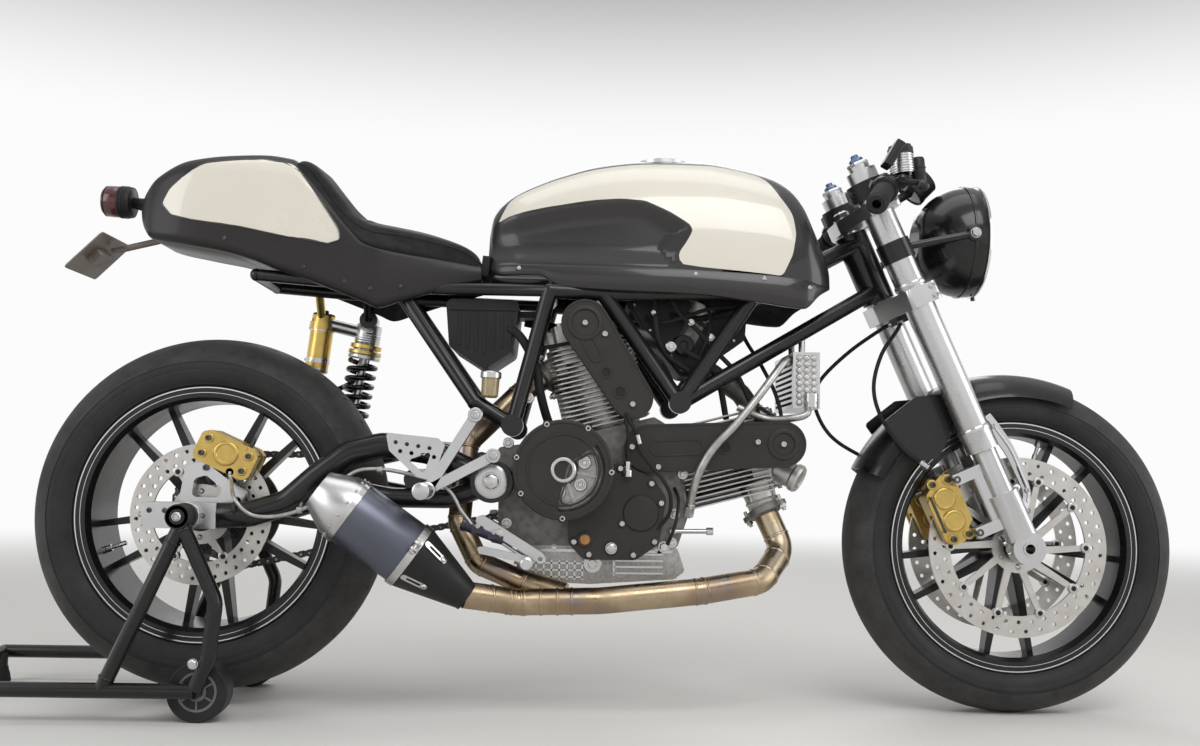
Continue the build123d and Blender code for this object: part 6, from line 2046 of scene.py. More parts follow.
def makeMuffler():
    back = framed(mufflerBack, mufflerRun)
    long = mufflerLong
    bm = newShape()
    addLathe(bm, back,
             [(-1.6, 26.8), (-1.6, 32.2), (0.4, 34.2), (41, 53.4), (58, 56.4), (63, 56.4), (63, 54.7),
              (58, 54.6),
                        (41, 51.5), (2, 32.4), (2, 26.8)], 96, closed=True)
    for x, y in ringSpots(14, 1):
        spot, out = back @ Vector((56 * x, 56 * y, 52)), back.to_3x3() @ Vector((x, y, 0.2))
        addBolt(bm, framed(spot, out), 2.6, 1.6, "button")
    finishPiece("mufflerEndCap", bm, exhaustLook["endCap"], smooth=40.0)
    bm = newShape()
    addLathe(bm, back, [(4, 20.5), (4, 23.5), (58, 23.5), (58, 20.5)], 56, closed=True)
    addLathe(bm, back, [(3.2, 22.8), (3.2, 27), (6, 27), (6, 22.8)], 56, closed=True)
    for x, y in ringSpots(6, 1):
        addRod(bm, back @ Vector((23 * x, 23 * y, 24)), back @ Vector((26.5 * x, 26.5 * y, 24)), 2.2, 10)
    finishPiece("mufflerCore", bm, exhaustLook["cone"], smooth=40.0)
    bm = newShape()
    addLathe(bm, back,
             [(long - 111, 54.4), (long - 111, 56.0), (long - 106, 56.0), (long - 20, 31.2), (long - 1, 25.4),
                        (long + 4, 25.4), (long + 4, 23), (long - 2, 23.4), (long - 20, 29.4),
                        (long - 106, 53.6)], 96, closed=True)
    finishPiece("mufflerCone", bm, exhaustLook["cone"], smooth=40.0)
    # The cap's band and the strap, which has a lug and a bolt
    bm, bolts = newShapes(2)
    for start, width in ((57, 9), (long - 122, 13)):
        addLathe(bm, back, [(start, 54.8), (start, 58), (start + width, 58), (start + width, 54.8)], 96,
                 closed=True)
    lug = shiftedPlace(back, 0, 0, long - 117.5)
    out = lug.inverted().to_3x3() @ Vector((0.2, -1, 0.35))
    out = Vector((out.x, out.y, 0)).normalized()
    spot = lug @ (out * 62)
    across = (lug.to_3x3() @ out.cross(Vector((0, 0, 1)))).normalized()
    radial = (lug.to_3x3() @ out).normalized()
    for side in (-1, 1):
        addBox(bm, framed(spot + across * 6 * side, across, radial), (16, 14, 3.4), 3)
    addRod(bolts, spot - across * 13, spot + across * 13, 3.2, 12)
    addBolt(bolts, framed(spot + across * 8, across), 5.2, 5, "hex")
    addBolt(bolts, framed(spot - across * 8, -across), 5.2, 4, "hex")
    finishPiece("mufflerBands", bm, exhaustLook["strap"], bevel=0.5)
    # Two slotted hooks run from the strap along the cone
    slope = math.radians(16)
    side = mufflerRun.cross(Vector((0, 1, 0))).normalized()
    for turnAngle in (-0.5, 0.7):
        away = Vector((0, -1, 0)) * math.cos(turnAngle) + side * math.sin(turnAngle)
        away = (away - mufflerRun * away.dot(mufflerRun)).normalized()
        normal = away * math.cos(slope) + mufflerRun * math.sin(slope)
        along = mufflerRun * math.cos(slope) - away * math.sin(slope)
        hook = framed(mufflerBack + mufflerRun * (long - 84) + away * 50, normal, along)
        outline = roundedOutline([(-25, -5.5), (23, -5.5), (23, 5.5), (-25, 5.5)], 5, 4)
        slot = roundedOutline([(-15, -2.2), (11, -2.2), (11, 2.2), (-15, 2.2)], 2, 4)
        addPlate(bolts, hook, outline, -0.5, 2, [slot])
        addBolt(bolts, shiftedPlace(hook, 17, 0, 2), 5, 3, "button")
    finishPiece("mufflerSteel", bolts, brightSteel)


def weldRing(bm, centre, run, radius, bead=1.5):
    angles = [math.pi * k / 8 for k in range(9)]
    profile = [(-bead * 1.6 * math.cos(angle), radius - 0.4 + bead * math.sin(angle)) for angle in angles]
    addLathe(bm, framed(centre, run), profile, 48)


def makeHeaderTrim():
    welds, flanges, nuts = newShapes(3)
    for radius, bend, points in headerLines.values():
        points = [Vector(p) for p in points]
        for i in range(1, len(points) - 1):
            before, after = (points[i - 1] - points[i]), (points[i + 1] - points[i])
            turn = math.pi - before.angle(after)
            reach = bend * math.tan(turn / 2)
            if turn > 0.15:
                for away in (before, after):
                    if away.length > reach + 4:
                        weldRing(welds, points[i] + away.normalized() * (reach + 1), away, radius)
        start, run = points[0], (points[1] - points[0]).normalized()
        place = framed(start + run * 7, run)
        outline = roundedOutline([(-44, -12), (44, -12), (44, 12), (-44, 12)], 11, 5)
        addPlate(flanges, place, outline, -5, 3)
        addLathe(flanges, place,
                 [(-7, radius + 1), (-7, radius + 10), (4, radius + 9), (8, radius + 3), (8, radius)], 48)
        for side in (-1, 1):
            stud = place @ Vector((36 * side, 0, -16))
            addRod(nuts, stud, stud + run * 30, 3.4, 12)
            addBolt(nuts, framed(place @ Vector((36 * side, 0, 3)), run), 6.4, 7, "hex")
    # Cast ports from the heads to the flanges
    ports = newShape()
    for spot, run, deep in (((355, -40, 366), (-0.31, 0.08, 0.95), 44),
                            ((-36, -20, 598), (0.80, 0.12, 0.30), 30)):
        place = framed(spot, run)
        addLathe(ports, place, [(-4, 27), (5, 28), (9, 30.5), (13, 28), (deep, 33), (deep, 0)], 48)
        for turn in (0, 90, 180, 270):
            rib = place @ Matrix.Rotation(math.radians(turn + 45), 4, "Z")
            addBox(ports, shiftedPlace(rib, 29, 0, deep / 2 + 4), (8, 4, deep - 16), 1.5)
    cap = framed((398, -56, 424), (0.62, -0.30, -0.35))
    addLathe(ports, cap, [(-22, 23), (8, 23), (12, 26), (20, 26), (24, 23), (25, 17), (22, 15), (22, 0)], 48)
    finishPiece("headPorts", ports, finAlloy, bevel=0.8)
    # The stepped joints along the low run
    radius, points = headerLines["front"][0], headerLines["front"][2]
    low = [Vector(p) for p in points]
    for x in (-124, -95, -67, -40, -12, 12):
        for a, b in zip(low[3:-1], low[4:]):
            if b.x <= x <= a.x:
                t = (x - a.x) / (b.x - a.x)
                weldRing(welds, a.lerp(b, t), b - a, radius, 1.7)
    finishPiece("headerWelds", welds, exhaustLook["weld"], smooth=60.0)
    finishPiece("headerFlanges", flanges, exhaustLook["flange"], bevel=0.8)
    finishPiece("headerNuts", nuts, brightSteel)


makeMuffler()
makeHeaderTrim()
print("exhaust made")


# Rear end

chainY, armY, rearsetY = 104.0, 136.0, 176.0
rearCaliperReach = 122.5 - 8.8  # from the axle to the middle of the rear caliper
driveAt, driveTeeth = Vector((-52, 402)), 15
rearsetSpots = ((-156, 514), (-124, 446), (-234, 386))  # upper, front and low
cylinderBack, cylinderFront = Vector((-172, -162, 330)), Vector((-104, -162, 306))
tailLightAt = Vector((-812, 0, 904))
chainLook = {"pitch": 15.875, "plate": darkSteel, "roller": brightSteel}


def makeChain():
    # One link for each pitch of the run round both sprockets.
    big, small = 107.0, 49.0  # radii of the run round the sprockets
    path = aroundTwo(Vector((rearAxle.x, rearAxle.z)), big, driveAt, small, 120, 60)
    path.append(path[0])
    lengths = [0.0]
    for a, b in zip(path, path[1:]):
        lengths.append(lengths[-1] + (b - a).length)
    count = 2 * round(lengths[-1] / chainLook["pitch"] / 2)

    def spotAt(share):
        wanted = (share % 1.0) * lengths[-1]
        index = next(i for i in range(1, len(lengths)) if lengths[i] >= wanted)
        t = (wanted - lengths[index - 1]) / max(lengths[index] - lengths[index - 1], 1e-9)
        return path[index - 1].lerp(path[index], t)

    plates, rollers = newShapes(2)
    pins = [spotAt(k / count) for k in range(count)]
    for k, a in enumerate(pins):
        b = pins[(k + 1) % count]
        run = (b - a).normalized()
        side = Vector((-run.y, run.x))
        middle, half = (a + b) / 2, (b - a).length / 2
        outline = []
        for centre, sign in ((half, 1), (-half, -1)):
            for step in range(-2, 3):
                angle = math.radians(34 * step)
                outline.append(Vector((centre + sign * 7.2 * math.cos(angle), sign * 7.2 * math.sin(angle))))
            outline.append(Vector((0, sign * 5.0)))
        outline = [middle + run * p.x + side * p.y for p in outline]
        gap = (6.9, 8.4) if k % 2 else (5.1, 6.6)
        for sign in (-1, 1):
            low, high = sorted((sign * gap[0], sign * gap[1]))
            addPlate(plates, sideView(chainY, 1), outline, low, high)
    for a in pins:
        place = onSide(chainY, 1, a.x, a.y)
        addLathe(rollers, place, [(-5.1, 0), (-5.1, 5.0), (5.1, 5.0), (5.1, 0)], 12)
        addLathe(rollers, place, [(-9.2, 0), (-9.2, 2.2), (-8.8, 2.6), (8.8, 2.6), (9.2, 2.2), (9.2, 0)], 10)
    finishPiece("chainPlates", plates, chainLook["plate"], replaces=("drive_chain",))
    finishPiece("chainRollers", rollers, chainLook["roller"])
    # Drive sprocket with its teeth, nut and shaft
    bm = newShape()
    hub = onSide(chainY, 1, driveAt.x, driveAt.y)
    outline = []
    for k in range(driveTeeth):
        for step, radius in ((-0.30, 37.5), (-0.12, 46.5), (0.12, 46.5), (0.30, 37.5)):
            angle = 2 * math.pi * (k + step) / driveTeeth
            outline.append(Vector((radius * math.cos(angle), radius * math.sin(angle))))
    holes = [circleOutline(x, y, 5, 16) for x, y in ringSpots(5, 24)]
    addPlate(bm, hub, outline, -4, 4, holes)
    addLathe(bm, hub, [(-28, 0), (-28, 12), (-8, 12), (-8, 16), (8, 16), (8, 0)], 36)
    addBolt(bm, shiftedPlace(hub, 0, 0, 7), 14, 6, "hex")
    finishPiece("driveSprocket", bm, darkSteel, bevel=0.4)


def makeSprocketTrim():
    bm = newShape()
    for x, z in ringSpots(6, 62, 30):
        addBolt(bm, onSide(chainY + 4, 1, rearAxle.x + x, rearAxle.z + z), 6, 6, "hex")
    finishPiece("sprocketNuts", bm, brightSteel, "rear_wheel")


def makeAxle():
    blocks, steel, dark = newShapes(3)
    for sign in (-1, 1):
        out = (0, sign, 0)
        face = framed((rearAxle.x, sign * 156, rearAxle.z), out)
        addLathe(blocks, face, [(-1, 21.4), (1.6, 21.4), (1.6, 24.5), (-1, 24.5)], 48, closed=True)
        nut = framed((rearAxle.x, sign * 172, rearAxle.z), out)
        addLathe(steel, nut,
                 [(-2, 22.6), (-0.4, 22.6), (0.4, 21.8), (0.4, 14.5), (-0.8, 14), (-0.8, 9), (0.4, 8.6),
                  (0.4, 7.7),
                              (-2, 7.7)], 48, closed=True)
        # Chain adjuster: a threaded rod out of the block's front and rear ends, with a lock nut
        start = Vector((rearAxle.x - 76, sign * 136, rearAxle.z))
        addRod(steel, start - Vector((-6, 0, 0)), start - Vector((14, 0, 0)), 4.4, 14)
        addBolt(steel, framed(start, (-1, 0, 0)), 8.4, 7, "hex")
        for x in (-66, -40, 24):
            place = framed((rearAxle.x + x, sign * 156, rearAxle.z + (0 if x > 0 else 8)), out)
            addBolt(dark, place, 4.6, 2.4, "button")
        addBox(blocks, framed((rearAxle.x - 78, sign * 136, rearAxle.z), (-1, 0, 0)), (40, 34, 4), 4)
    finishPiece("axleBlocksTrim", blocks, satinAlloy, bevel=0.6)
    finishPiece("axleNuts", steel, brightSteel, smooth=40.0)
    finishPiece("axleScrews", dark, darkSteel)


def makeCaliperPlate(gold, centre, along, up):
    # The caliper's two halves and bridge, and the bracket plate with its window.
    outline = roundedOutline([(-53, -29), (53, -29), (53, 20), (40, 29), (-40, 29), (-53, 20)],
                             [14, 14, 9, 9, 9, 9], 5)
    for sign in (-1, 1):
        place = framed(centre, (0, sign, 0), along)
        flip = 1 if (place.to_3x3() @ Vector((0, 1, 0))).dot(up) > 0 else -1
        shape = [Vector((p.x, p.y * flip)) for p in outline]
        addPlate(gold, place, shape, 9.2, 30)
        addPlate(gold, place,
                 [Vector((x, y * flip)) for x, y in ((-44, 14), (44, 14), (44, 26), (-44, 26))], 0, 9.2)
    plate = newShape()
    reach = rearCaliperReach
    edge = [Vector((x, z)) for x,
            z in ((-26, -10), (-30, 30), (-22, reach - 30), (10, reach - 22), (48, reach - 50),
                                        (86, reach - 74), (74, reach - 96), (26, -12))]
    edge = roundedOutline(edge, [12, 16, 12, 14, 14, 10, 16, 12], 5)
    window = roundedOutline([Vector((x, z)) for x,
                             z in ((-10, 30), (-6, 62), (14, 68), (44, 44), (36, 30))], 8, 5)
    place = onSide(rearDiscY - 18, -1, rearAxle.x, rearAxle.z)
    addPlate(plate, place, edge, -5, 10, [window, circleOutline(0, 0, 13, 32)])
    finishPiece("rearCaliperPlate", plate, satinAlloy, bevel=1.2)


def makeRearCaliper():
    gold, steel, hose = newShapes(3)
    angle = math.radians(66.14)
    along = Vector((math.sin(angle), 0, -math.cos(angle)))
    up = Vector((math.cos(angle), 0, math.sin(angle)))
    centre = Vector((rearAxle.x + rearCaliperReach * up.x, rearDiscY, rearAxle.z + rearCaliperReach * up.z))
    for sign in (-1, 1):
        face = centre + Vector((0, sign * 30, 0))
        place = framed(face + up * 2, (0, sign, 0), along)
        addLathe(gold, place,
                 [(-2, 22), (0.8, 22), (2.4, 20.6), (3.0, 18.6), (3.0, 16), (2.0, 15), (1.8, 0)], 56)
        for step in (-38, 38):
            for rise in (14, -14):
                spot = framed(face + along * step + up * rise, (0, sign, 0), along)
                addBoss(gold, steel, spot, [(-1, 8.4), (2.2, 8.4), (3, 7.4), (3, 0)], 24,
                        (2.8, 5, 4.4, "socket"))
        addBox(gold, framed(face + up * 24, (0, sign, 0), along), (60, 6, 5), 2)
    spot = centre + Vector((0, -12, 0)) + up * 28 + along * 30
    addRod(steel, spot, spot + up * 9, 3.4, 6)
    addRod(steel, spot + up * 8, spot + up * 15, 2.2, 12)
    makeCaliperPlate(gold, centre, along, up)
    # Bracket bolts
    for step, rise in ((-20, -34), (44, -34)):
        place = framed(centre + along * step + up * rise + Vector((0, -28, 0)), (0, -1, 0))
        addBolt(steel, place, 5.6, 5, "socket")
    # Brake pipe from the caliper along the swingarm to the pedal's cylinder
    banjo = centre + along * 20 - up * 24 + Vector((0, -22, 0))
    addRod(steel, banjo - Vector((0, 8, 0)), banjo + Vector((0, 4, 0)), 7.5, 20)
    line = [banjo + Vector((0, -6, 0)), banjo + Vector((4, -12, -14)), (-557, -168, 366), (-530, -167, 341),
            (-491, -166, 338),
            (-449, -165, 349), (-416, -163, 368), (-380, -163, 400), (-345, -163, 419), (-283, -164, 416),
            (-206, -168, 392),
            (-176, -170, 352), (-158, -172, 330)]
    addTube(hose, smoothLine(line, 8), 3.4, 12)
    for x, z, rise in ((-449, 349, 12), (-316, 419, -8)):
        addRod(hose, (x - 5, -164, z), (x + 5, -164, z), 6, 16)
        addRod(hose, (x, -164, z), (x, -150, z + rise), 3, 12)
    finishPiece("rearCaliperCaps", gold, goldAlloy, bevel=1.2, replaces=("rear_caliper",))
    finishPiece("rearCaliperSteel", steel, darkSteel)
    finishPiece("rearBrakePipe", hose, hoseSilver)


def makeShock():
    top, low = Vector((-388, 122, 706)), Vector((-428, 128, 452))
    run = low - top
    long = run.length
    place = framed(top, run)
    metal, gold, dark, steel = newShapes(4)
    first = 0.29 * long
    for bottom, crest, wide, wider in ((first - 16, first - 9, 31.6, 32), (first - 28, first - 20, 30, 30)):
        addLathe(gold, place, [(bottom, 24), (bottom, wide), (crest, wider), (crest, 24)], 20, closed=True)
    for index in range(7):
        step = 0.10 * long + 4.5 * index
        if step < first - 32:
            addLathe(metal, place,
                     [(step, 23.8), (step + 0.8, 24.7), (step + 2.6, 24.7), (step + 3.4, 23.8)], 40)
    last = 0.83 * long
    addLathe(gold, place, [(last, 9), (last, 15), (last + 10, 15), (last + 12, 12), (last + 12, 9)], 32,
             closed=True)
    addLathe(dark, place,
             [(last - 26, 9), (last - 26, 16), (last - 21, 18), (last - 16, 15), (last - 11, 18),
              (last - 6, 15),
                           (last - 6, 9)], 32, closed=True)
    for end in (top, low):
        for sign in (-1, 1):
            eye = framed(end + Vector((0, sign * 15, 0)), (0, sign, 0))
            addLathe(metal, eye, [(-1, 14), (0.8, 13.4), (0.8, 7), (-1, 7)], 32, closed=True)
        eye = framed(end + Vector((0, 15.5 if end is top else 21.8, 0)), (0, 1, 0))
        addBolt(steel, eye, 9, 7, "hex")
    # The clamp that carries the reservoir beside the shock, with its black cap
    bridge = newShape()
    addRod(bridge, (-392, 124, 682), (-470, 127, 700), 13, 32, 2)
    addRod(bridge, (-466, 127, 699), (-486, 127, 703.6), 15.5, 32, 2)
    addLathe(bridge, framed((-392, 123, 684), run),
             [(-16, 12), (-16, 22), (-12, 24.5), (18, 24.5), (22, 22), (22, 12)], 40, closed=True)
    finishPiece("shockBridge", bridge, satinAlloy, bevel=0.8)
    addRod(dark, (-484, 127, 703.2), (-500, 127, 707), 14, 32, 2)
    high, base = Vector((-480, 128, 716)), Vector((-492, 128, 606))
    pot = framed(high, high - base)
    addLathe(dark, pot, [(-2, 21), (1, 21.6), (4, 20), (4, 0)], 40)
    addLathe(dark, pot, [(3, 8), (10, 8), (11, 7), (11, 0)], 20)
    addLathe(metal, pot, [(-112, 0), (-112, 20), (-109, 22.4), (-104, 22.4), (-104, 20)], 40)
    for back in (-22, -84):
        addLathe(steel, pot, [(back, 21.5), (back, 23), (back - 9, 23), (back - 9, 21.5)], 40, closed=True)
        clamp = pot @ Vector((-23, 6, back - 4.5))
        addRod(steel, clamp - Vector((0, 8, 0)), clamp + Vector((0, 8, 0)), 3, 12)
    line = [base + Vector((2, 0, -2)), base + Vector((8, 4, -26)), (-452, 138, 574), (-414, 150, 600),
            (-392, 152, 648),
            (-384, 146, 684)]
    addTube(dark, smoothLine(line, 8), 5, 12)
    finishPiece("shockRings", gold, goldAlloy, bevel=0.5)
    finishPiece("shockMetal", metal, satinAlloy, smooth=40.0)
    finishPiece("shockSteel", steel, brightSteel)
    finishPiece("shockDark", dark, blackRubber)


def makeHeelPlates(bars, metal):
    # The drilled heel guards with their window, the posts behind them, and the slim pedals.
    heel = roundedOutline([(-306, 482), (-218, 474), (-206, 462), (-226, 402), (-252, 408), (-300, 452)],
                          [5, 5, 5, 6, 6, 8], 5)
    window = roundedOutline([(-268, 436), (-228, 452), (-240, 414)], 4, 5)
    drilled = [circleOutline(-289 + 19 * index + 8 * row, 466 - 15 * row - 3 * index, 3.6, 20)
               for row in range(2) for index in range(4)]
    pedal = roundedOutline([(-152, 344), (-138, 345), (-38, 284), (-30, 270), (-42, 266), (-54, 274),
                            (-150, 331)], 5, 5)
    link = roundedOutline([(-150, 292), (-138, 293), (-60, 277), (-54, 269), (-62, 265), (-146, 281)], 4, 5)
    for sign in (-1, 1):
        out = (0, sign, 0)
        addPlate(bars, sideView(sign * rearsetY, sign), heel, -3, 3, [window] + drilled)
        addPlate(bars, sideView(sign * 168, sign), pedal, -4, 4, [circleOutline(-42, 274, 4, 20)])
        addPlate(bars, sideView(sign * 160, sign), link, -3, 3)
        for x, z in rearsetSpots:
            addLathe(metal, framed((x, sign * (rearsetY - 10), z), out),
                     [(0, 0), (0, 11), (1, 12), (20, 12), (20, 0)], 36)
        for x, z, radius, start, stop in ((-156, 514, 7, 90, 168), (-112, 318, 9, 90, 168),
                                          (-64, 268, 8, 164, 210),
                                          (-234, 386, 11, 184, 268)):
            addRod(metal, (x, sign * start, z), (x, sign * stop, z), radius, 28)


def makeRearsets():
    metal, steel, dark, bars = newShapes(4)
    upper, front, low = (Vector((x, 0, z)) for x, z in rearsetSpots)
    for sign in (-1, 1):
        out = (0, sign, 0)
        y = sign * (rearsetY + 10)
        for spot in (upper, front, low):
            place = framed(spot + Vector((0, y, 0)), out)
            addLathe(metal, place, [(-1, 12.4), (1.2, 12.4), (2.2, 11.4), (2.2, 8), (0.8, 7.4), (0.8, 0)], 36)
            if spot is not low:
                addBolt(steel, shiftedPlace(place, 0, 0, 0.8), 6.2, 4.6, "socket")
        for spot in (upper, front):
            # Each arm is a flat machined bar over the round one.
            middle = low.lerp(spot, 0.5) + Vector((0, sign * rearsetY, 0))
            run = spot - low
            addBox(bars, framed(middle, out, run), (run.length - 6, 17, 14.6), 3)
        # Foot peg: knurled sleeve with rings and an end knob
        peg = framed(low + Vector((0, sign * (rearsetY + 12), 0)), out)
        knurls = [(9 + 6 * k + step, radius) for k in range(11)
                  for step, radius in ((0, 12.2), (1, 13.0), (4, 13.0), (5, 12.2))]
        addLathe(dark, peg, [(2, 11), (2, 14.5), (6, 14.5), (7, 12.4)] + knurls
                 + [(76, 12.4), (77, 14), (81, 14), (82.5, 12), (82.5, 0)], 32)
        # Pedal details: link bolts and spring
        for x, z, y0 in ((-112, 318, 168), (-64, 268, 168), (-146, 332, 160), (-58, 272, 160)):
            place = framed((x, sign * (y0 + 4.2), z), out)
            addBolt(steel, place, 6.2, 5, "hex")
        toe = framed((-64, sign * (rearsetY + 8), 268), out)
        knurls = [(2 + 4.5 * k + step, radius) for k in range(5) for step,
                  radius in ((0, 8), (1, 10), (3, 10), (4, 8))]
        addLathe(dark, toe, knurls + [(26.4, 8), (26.4, 0)], 28)
        addRod(steel, (-150, sign * 160, 326), (-70, sign * 160, 276), 3.2, 12)
    # Brake cylinder behind the near plate
    body = newShape()
    addRod(body, cylinderBack, cylinderFront, 11, 24, 2)
    addRod(body, (-176, -162, 332), (-168, -162, 329), 13, 24, 1)
    for share in (0.35, 0.75):
        spot = cylinderBack.lerp(cylinderFront, share)
        addBox(body, framed(spot + Vector((0, -10, 0)), (0, -1, 0)), (12, 20, 5), 3)
        addBolt(steel, framed(spot + Vector((0, -12.4, 6)), (0, -1, 0)), 4, 3, "socket")
    makeHeelPlates(bars, metal)
    finishPiece("rearsetBars", bars, satinAlloy, bevel=1.2, replaces=("rearset_plates", "foot_controls"))
    finishPiece("brakeCylinder", body, purpleGrey, bevel=0.4)
    finishPiece("rearsetRings", metal, satinAlloy, smooth=40.0)
    finishPiece("rearsetBolts", steel, brightSteel)
    finishPiece("pegSleeves", dark, satinAlloy, smooth=40.0)


def makeTailEnd():
    lens, shell, bolts = newShapes(3)
    axis = Vector((-1, 0, 0.04)).normalized()
    face = framed(tailLightAt, axis)
    addRod(shell, tailLightAt, (-770, 0, 902), 9.5, 28, 1)
    addLathe(shell, face, [(-1, 6), (-1, 25), (3, 28.8), (22, 29.2), (24, 28.4), (24, 24)], 56)
    for step in (8, 13, 18):
        addLathe(shell, face, [(step, 28.4), (step + 0.6, 30), (step + 2.2, 30), (step + 2.8, 28.4)], 56)
    addLathe(lens, face, [(22, 28.2), (25, 28.8), (44, 28.6), (48, 26.6), (50, 20), (51, 0)], 56)
    for radius in (24, 19, 14, 9, 4.5):
        base = 49.2 if radius > 20 else 50.2
        addLathe(lens, face, [(base, radius + 1.2), (52, radius), (base, radius - 1.2)], 48)
    plate = Matrix.Translation((-870, 0, 802)) @ framed((0, 0, 0), (-0.71, 0, 0.71),
                                                        (0, 1, 0)).to_3x3().to_4x4()
    for y in (-48, 48):
        addBolt(bolts, shiftedPlace(plate, y, 0, 2), 5, 3, "button")
    outer = roundedOutline([(-69, -45), (69, -45), (69, 45), (-69, 45)], 6)
    inner = roundedOutline([(-65, -41), (65, -41), (65, 41), (-65, 41)], 4)
    rim = newShape()
    addPlate(rim, plate, outer, 1.6, 3.2, [inner])
    finishPiece("plateRim", rim, plateGrey, bevel=0.4)
    finishPiece("plateBolts", bolts, brightSteel)
    finishPiece("tailLens", lens, redPlastic, smooth=50.0)
    finishPiece("tailShell", shell, blackPlastic, smooth=50.0)


def makeSwingarmTrim():
    welds, steel, caps = newShapes(3)
    for sign in (-1, 1):
        # Weld beads where the arms meet the axle blocks
        weldRing(welds, Vector((-560, sign * armY, 346)), Vector((1, 0, 0.1)), 22, 1.8)
        cap = framed((-128, sign * 158, 402), (0, sign, 0))
        profile = [(-2, 30), (2, 29), (4, 26), (4, 16), (2, 15), (2, 0)]
        addBoss(caps, steel, cap, profile, 48, (2, 13, 8, "hex"))
    for x, z in ((-409, 436), (-446, 436)):
        addBolt(steel, framed((x, 150.2, z - 8), (0, 1, 0)), 5, 4, "socket")
    finishPiece("swingarmWelds", welds, frameBlack, smooth=60.0)
    finishPiece("pivotCaps", caps, satinAlloy, bevel=0.6)
    finishPiece("pivotBolts", steel, brightSteel)


makeChain()
makeSprocketTrim()
makeAxle()
makeRearCaliper()
makeShock()
makeRearsets()
makeTailEnd()
makeSwingarmTrim()
print("rear end made")


# Stand

standLook = {"hub": hubGrey, "roller": rollerPlastic, "collar": blackSatin, "foot": blackRubber,
             "bolt": brightSteel}
standY, footX, backX, standBase, rollerY = 202.0, rearAxle.x + 36, rearAxle.x - 458.5, 54.0, 168.0


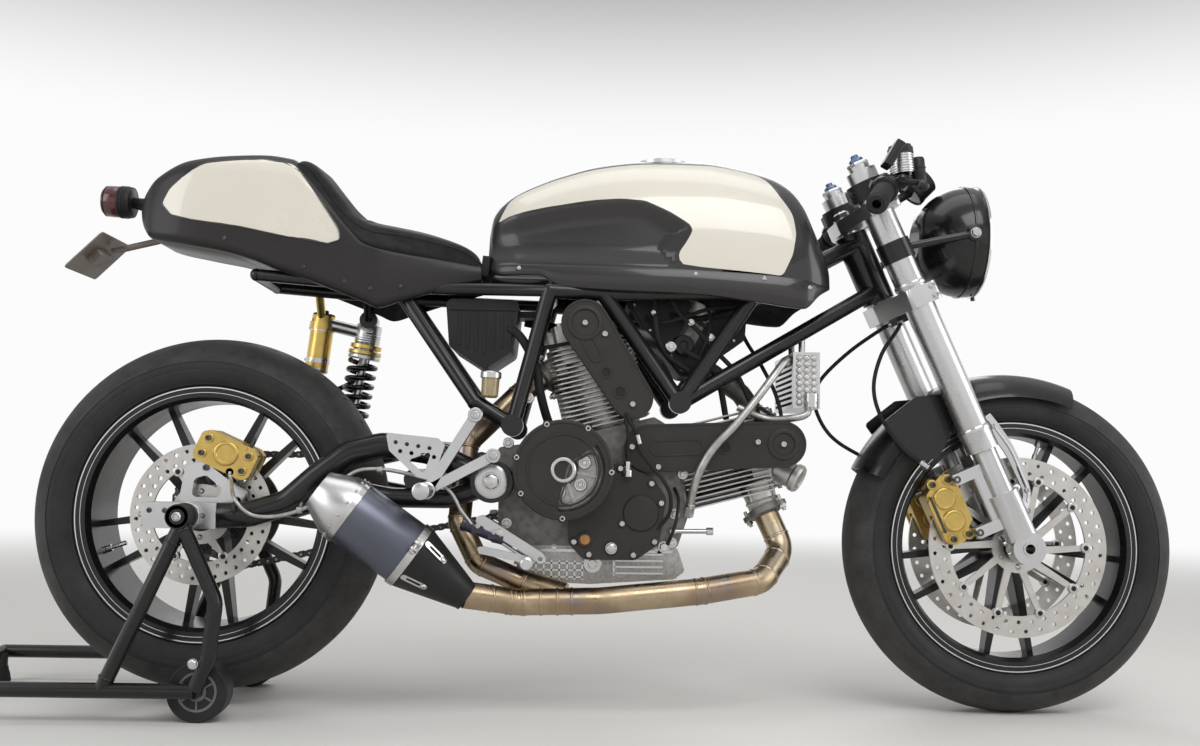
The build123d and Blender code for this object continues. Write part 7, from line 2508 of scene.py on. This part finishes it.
def makeStand():
    collars, feet, bolts, welds = newShapes(4)
    for side, sign in (("right", -1), ("left", 1)):
        hub, rubber = newShapes(2)
        for face in (-1, 1):
            place = framed((footX, sign * rollerY + face * 18, 50), (0, face, 0))
            addLathe(hub, place,
                     [(-2, 33), (0.8, 32.6), (0.8, 29), (-1.2, 27.4), (-1.2, 16), (1.4, 15), (1.4, 9.6),
                      (-2, 9.6)], 56)
            for k in range(6):
                turn = Matrix.Rotation(math.pi * k / 3, 4, "Z")
                addBox(hub, shiftedPlace(place @ turn, 22, 0, -0.4), (13, 3, 2.0), 1)
            addLathe(rubber, place,
                     [(-4, 49.9), (0.2, 49.0), (1.0, 46.5), (0.6, 44.5), (-0.6, 44), (-0.6, 42.8)], 64)
        finishPiece(side + "RollerHub", hub, standLook["hub"], "roller_" + side, bevel=0.3)
        finishPiece(side + "RollerEdge", rubber, standLook["roller"], "roller_" + side, smooth=50.0)
        # Outside the roller, the stub's washer and nut on the stand itself
        end = framed((footX, sign * 149.6, 50), (0, -sign, 0))
        addLathe(bolts, end, [(-3, 9), (-3, 11), (-1, 11), (-1, 8), (4, 8), (5, 7), (5, 0)], 28)
        # Collar on the tube where it meets the axle
        spot = framed((rearAxle.x, sign * 174, rearAxle.z), (0, sign, 0))
        addLathe(collars, spot,
                 [(0, 12), (0, 20.8), (2, 21.6), (10, 21.6), (12, 20.6), (40, 20.6), (42, 19), (42, 12)],
                 48, closed=True)
        addBolt(bolts, framed((rearAxle.x, sign * 216, rearAxle.z), (0, sign, 0)), 9, 6, "button")
        for x, z, run in ((9, rearAxle.z - 22, (0.43, 0, -0.9)), (-9, rearAxle.z - 42, (-0.4, 0, -0.92)),
                          (-106, 74, (-0.4, 0, -0.92))):
            weldRing(welds, Vector((rearAxle.x + x, sign * standY, z)), Vector(run), 12.5, 1.6)
        # Rubber foot on each leg
        place = framed((backX + 12.5, sign * 172, 0), (0, 0, 1))
        addLathe(feet, place, [(0, 0), (0, 15.5), (3, 17), (16, 14.5), (26, 11.5), (30, 11.5), (30, 9)], 36)
        # Pin that sets the width
        slot = framed((footX, sign * 214, 100), (0, sign, 0))
        addBolt(bolts, slot, 7, 5, "hex")
    # Grip sleeve in the middle of the rear tube
    grip = framed((backX + 3.4, -70, standBase), (0, 1, 0))
    profile = [(0, 12), (0, 15.8)]
    profile += [(8.4 * k + step, radius) for k in range(16) for step,
                radius in ((3, 15.8), (4, 14.9), (7, 14.9), (8, 15.8))]
    profile += [(140, 15.8), (140, 12)]
    addLathe(feet, grip, profile, 32, closed=True)
    for sign in (-1, 1):
        weldRing(welds, Vector((backX, sign * (standY - 17), standBase)), Vector((0, 1, 0)), 12.3, 0.5)
    finishPiece("standCollars", collars, standLook["collar"], bevel=0.6)
    finishPiece("standFeet", feet, standLook["foot"], smooth=45.0)
    finishPiece("standBolts", bolts, standLook["bolt"])
    finishPiece("standWelds", welds, frameBlack, smooth=60.0)


makeStand()
print("stand made")


# Edges of the CAD pieces that stay: node, edge width, and the angle from which an edge is softened
softEdges = [
    ("right_engine_cover", 2.2, 40), ("clutch_cover", 1.2, 40), ("left_engine_cover", 2.2, 40),
    ("belt_covers", 2.0, 40),
    ("oil_sump", 1.4, 40), ("engine_block", 1.8, 40), ("front_cylinder", 0.6, 40), ("rear_cylinder", 0.6, 40),
    ("fork_clamps", 1.4, 35), ("fork_sliders", 1.4, 35), ("front_calipers", 2.0, 40),
    ("rear_axle", 0.9, 40), ("oil_cooler", 0.6, 40), ("throttle_bodies", 1.2, 40),
    ("battery_box", 1.5, 40), ("shock_absorber", 0.8, 40), ("muffler", 0.8, 30),
    ("trellis_frame", 0.8, 40), ("swingarm", 1.0, 40), ("number_plate", 0.5, 40), ("rear_sprocket", 0.5, 40),
]
for name, width, angle in softEdges:
    joiner = cad[name].modifiers.new("joinSeams", "WELD")
    joiner.merge_threshold = 0.02 * mm
    soften(cad[name], width, angle)
print("edges softened")
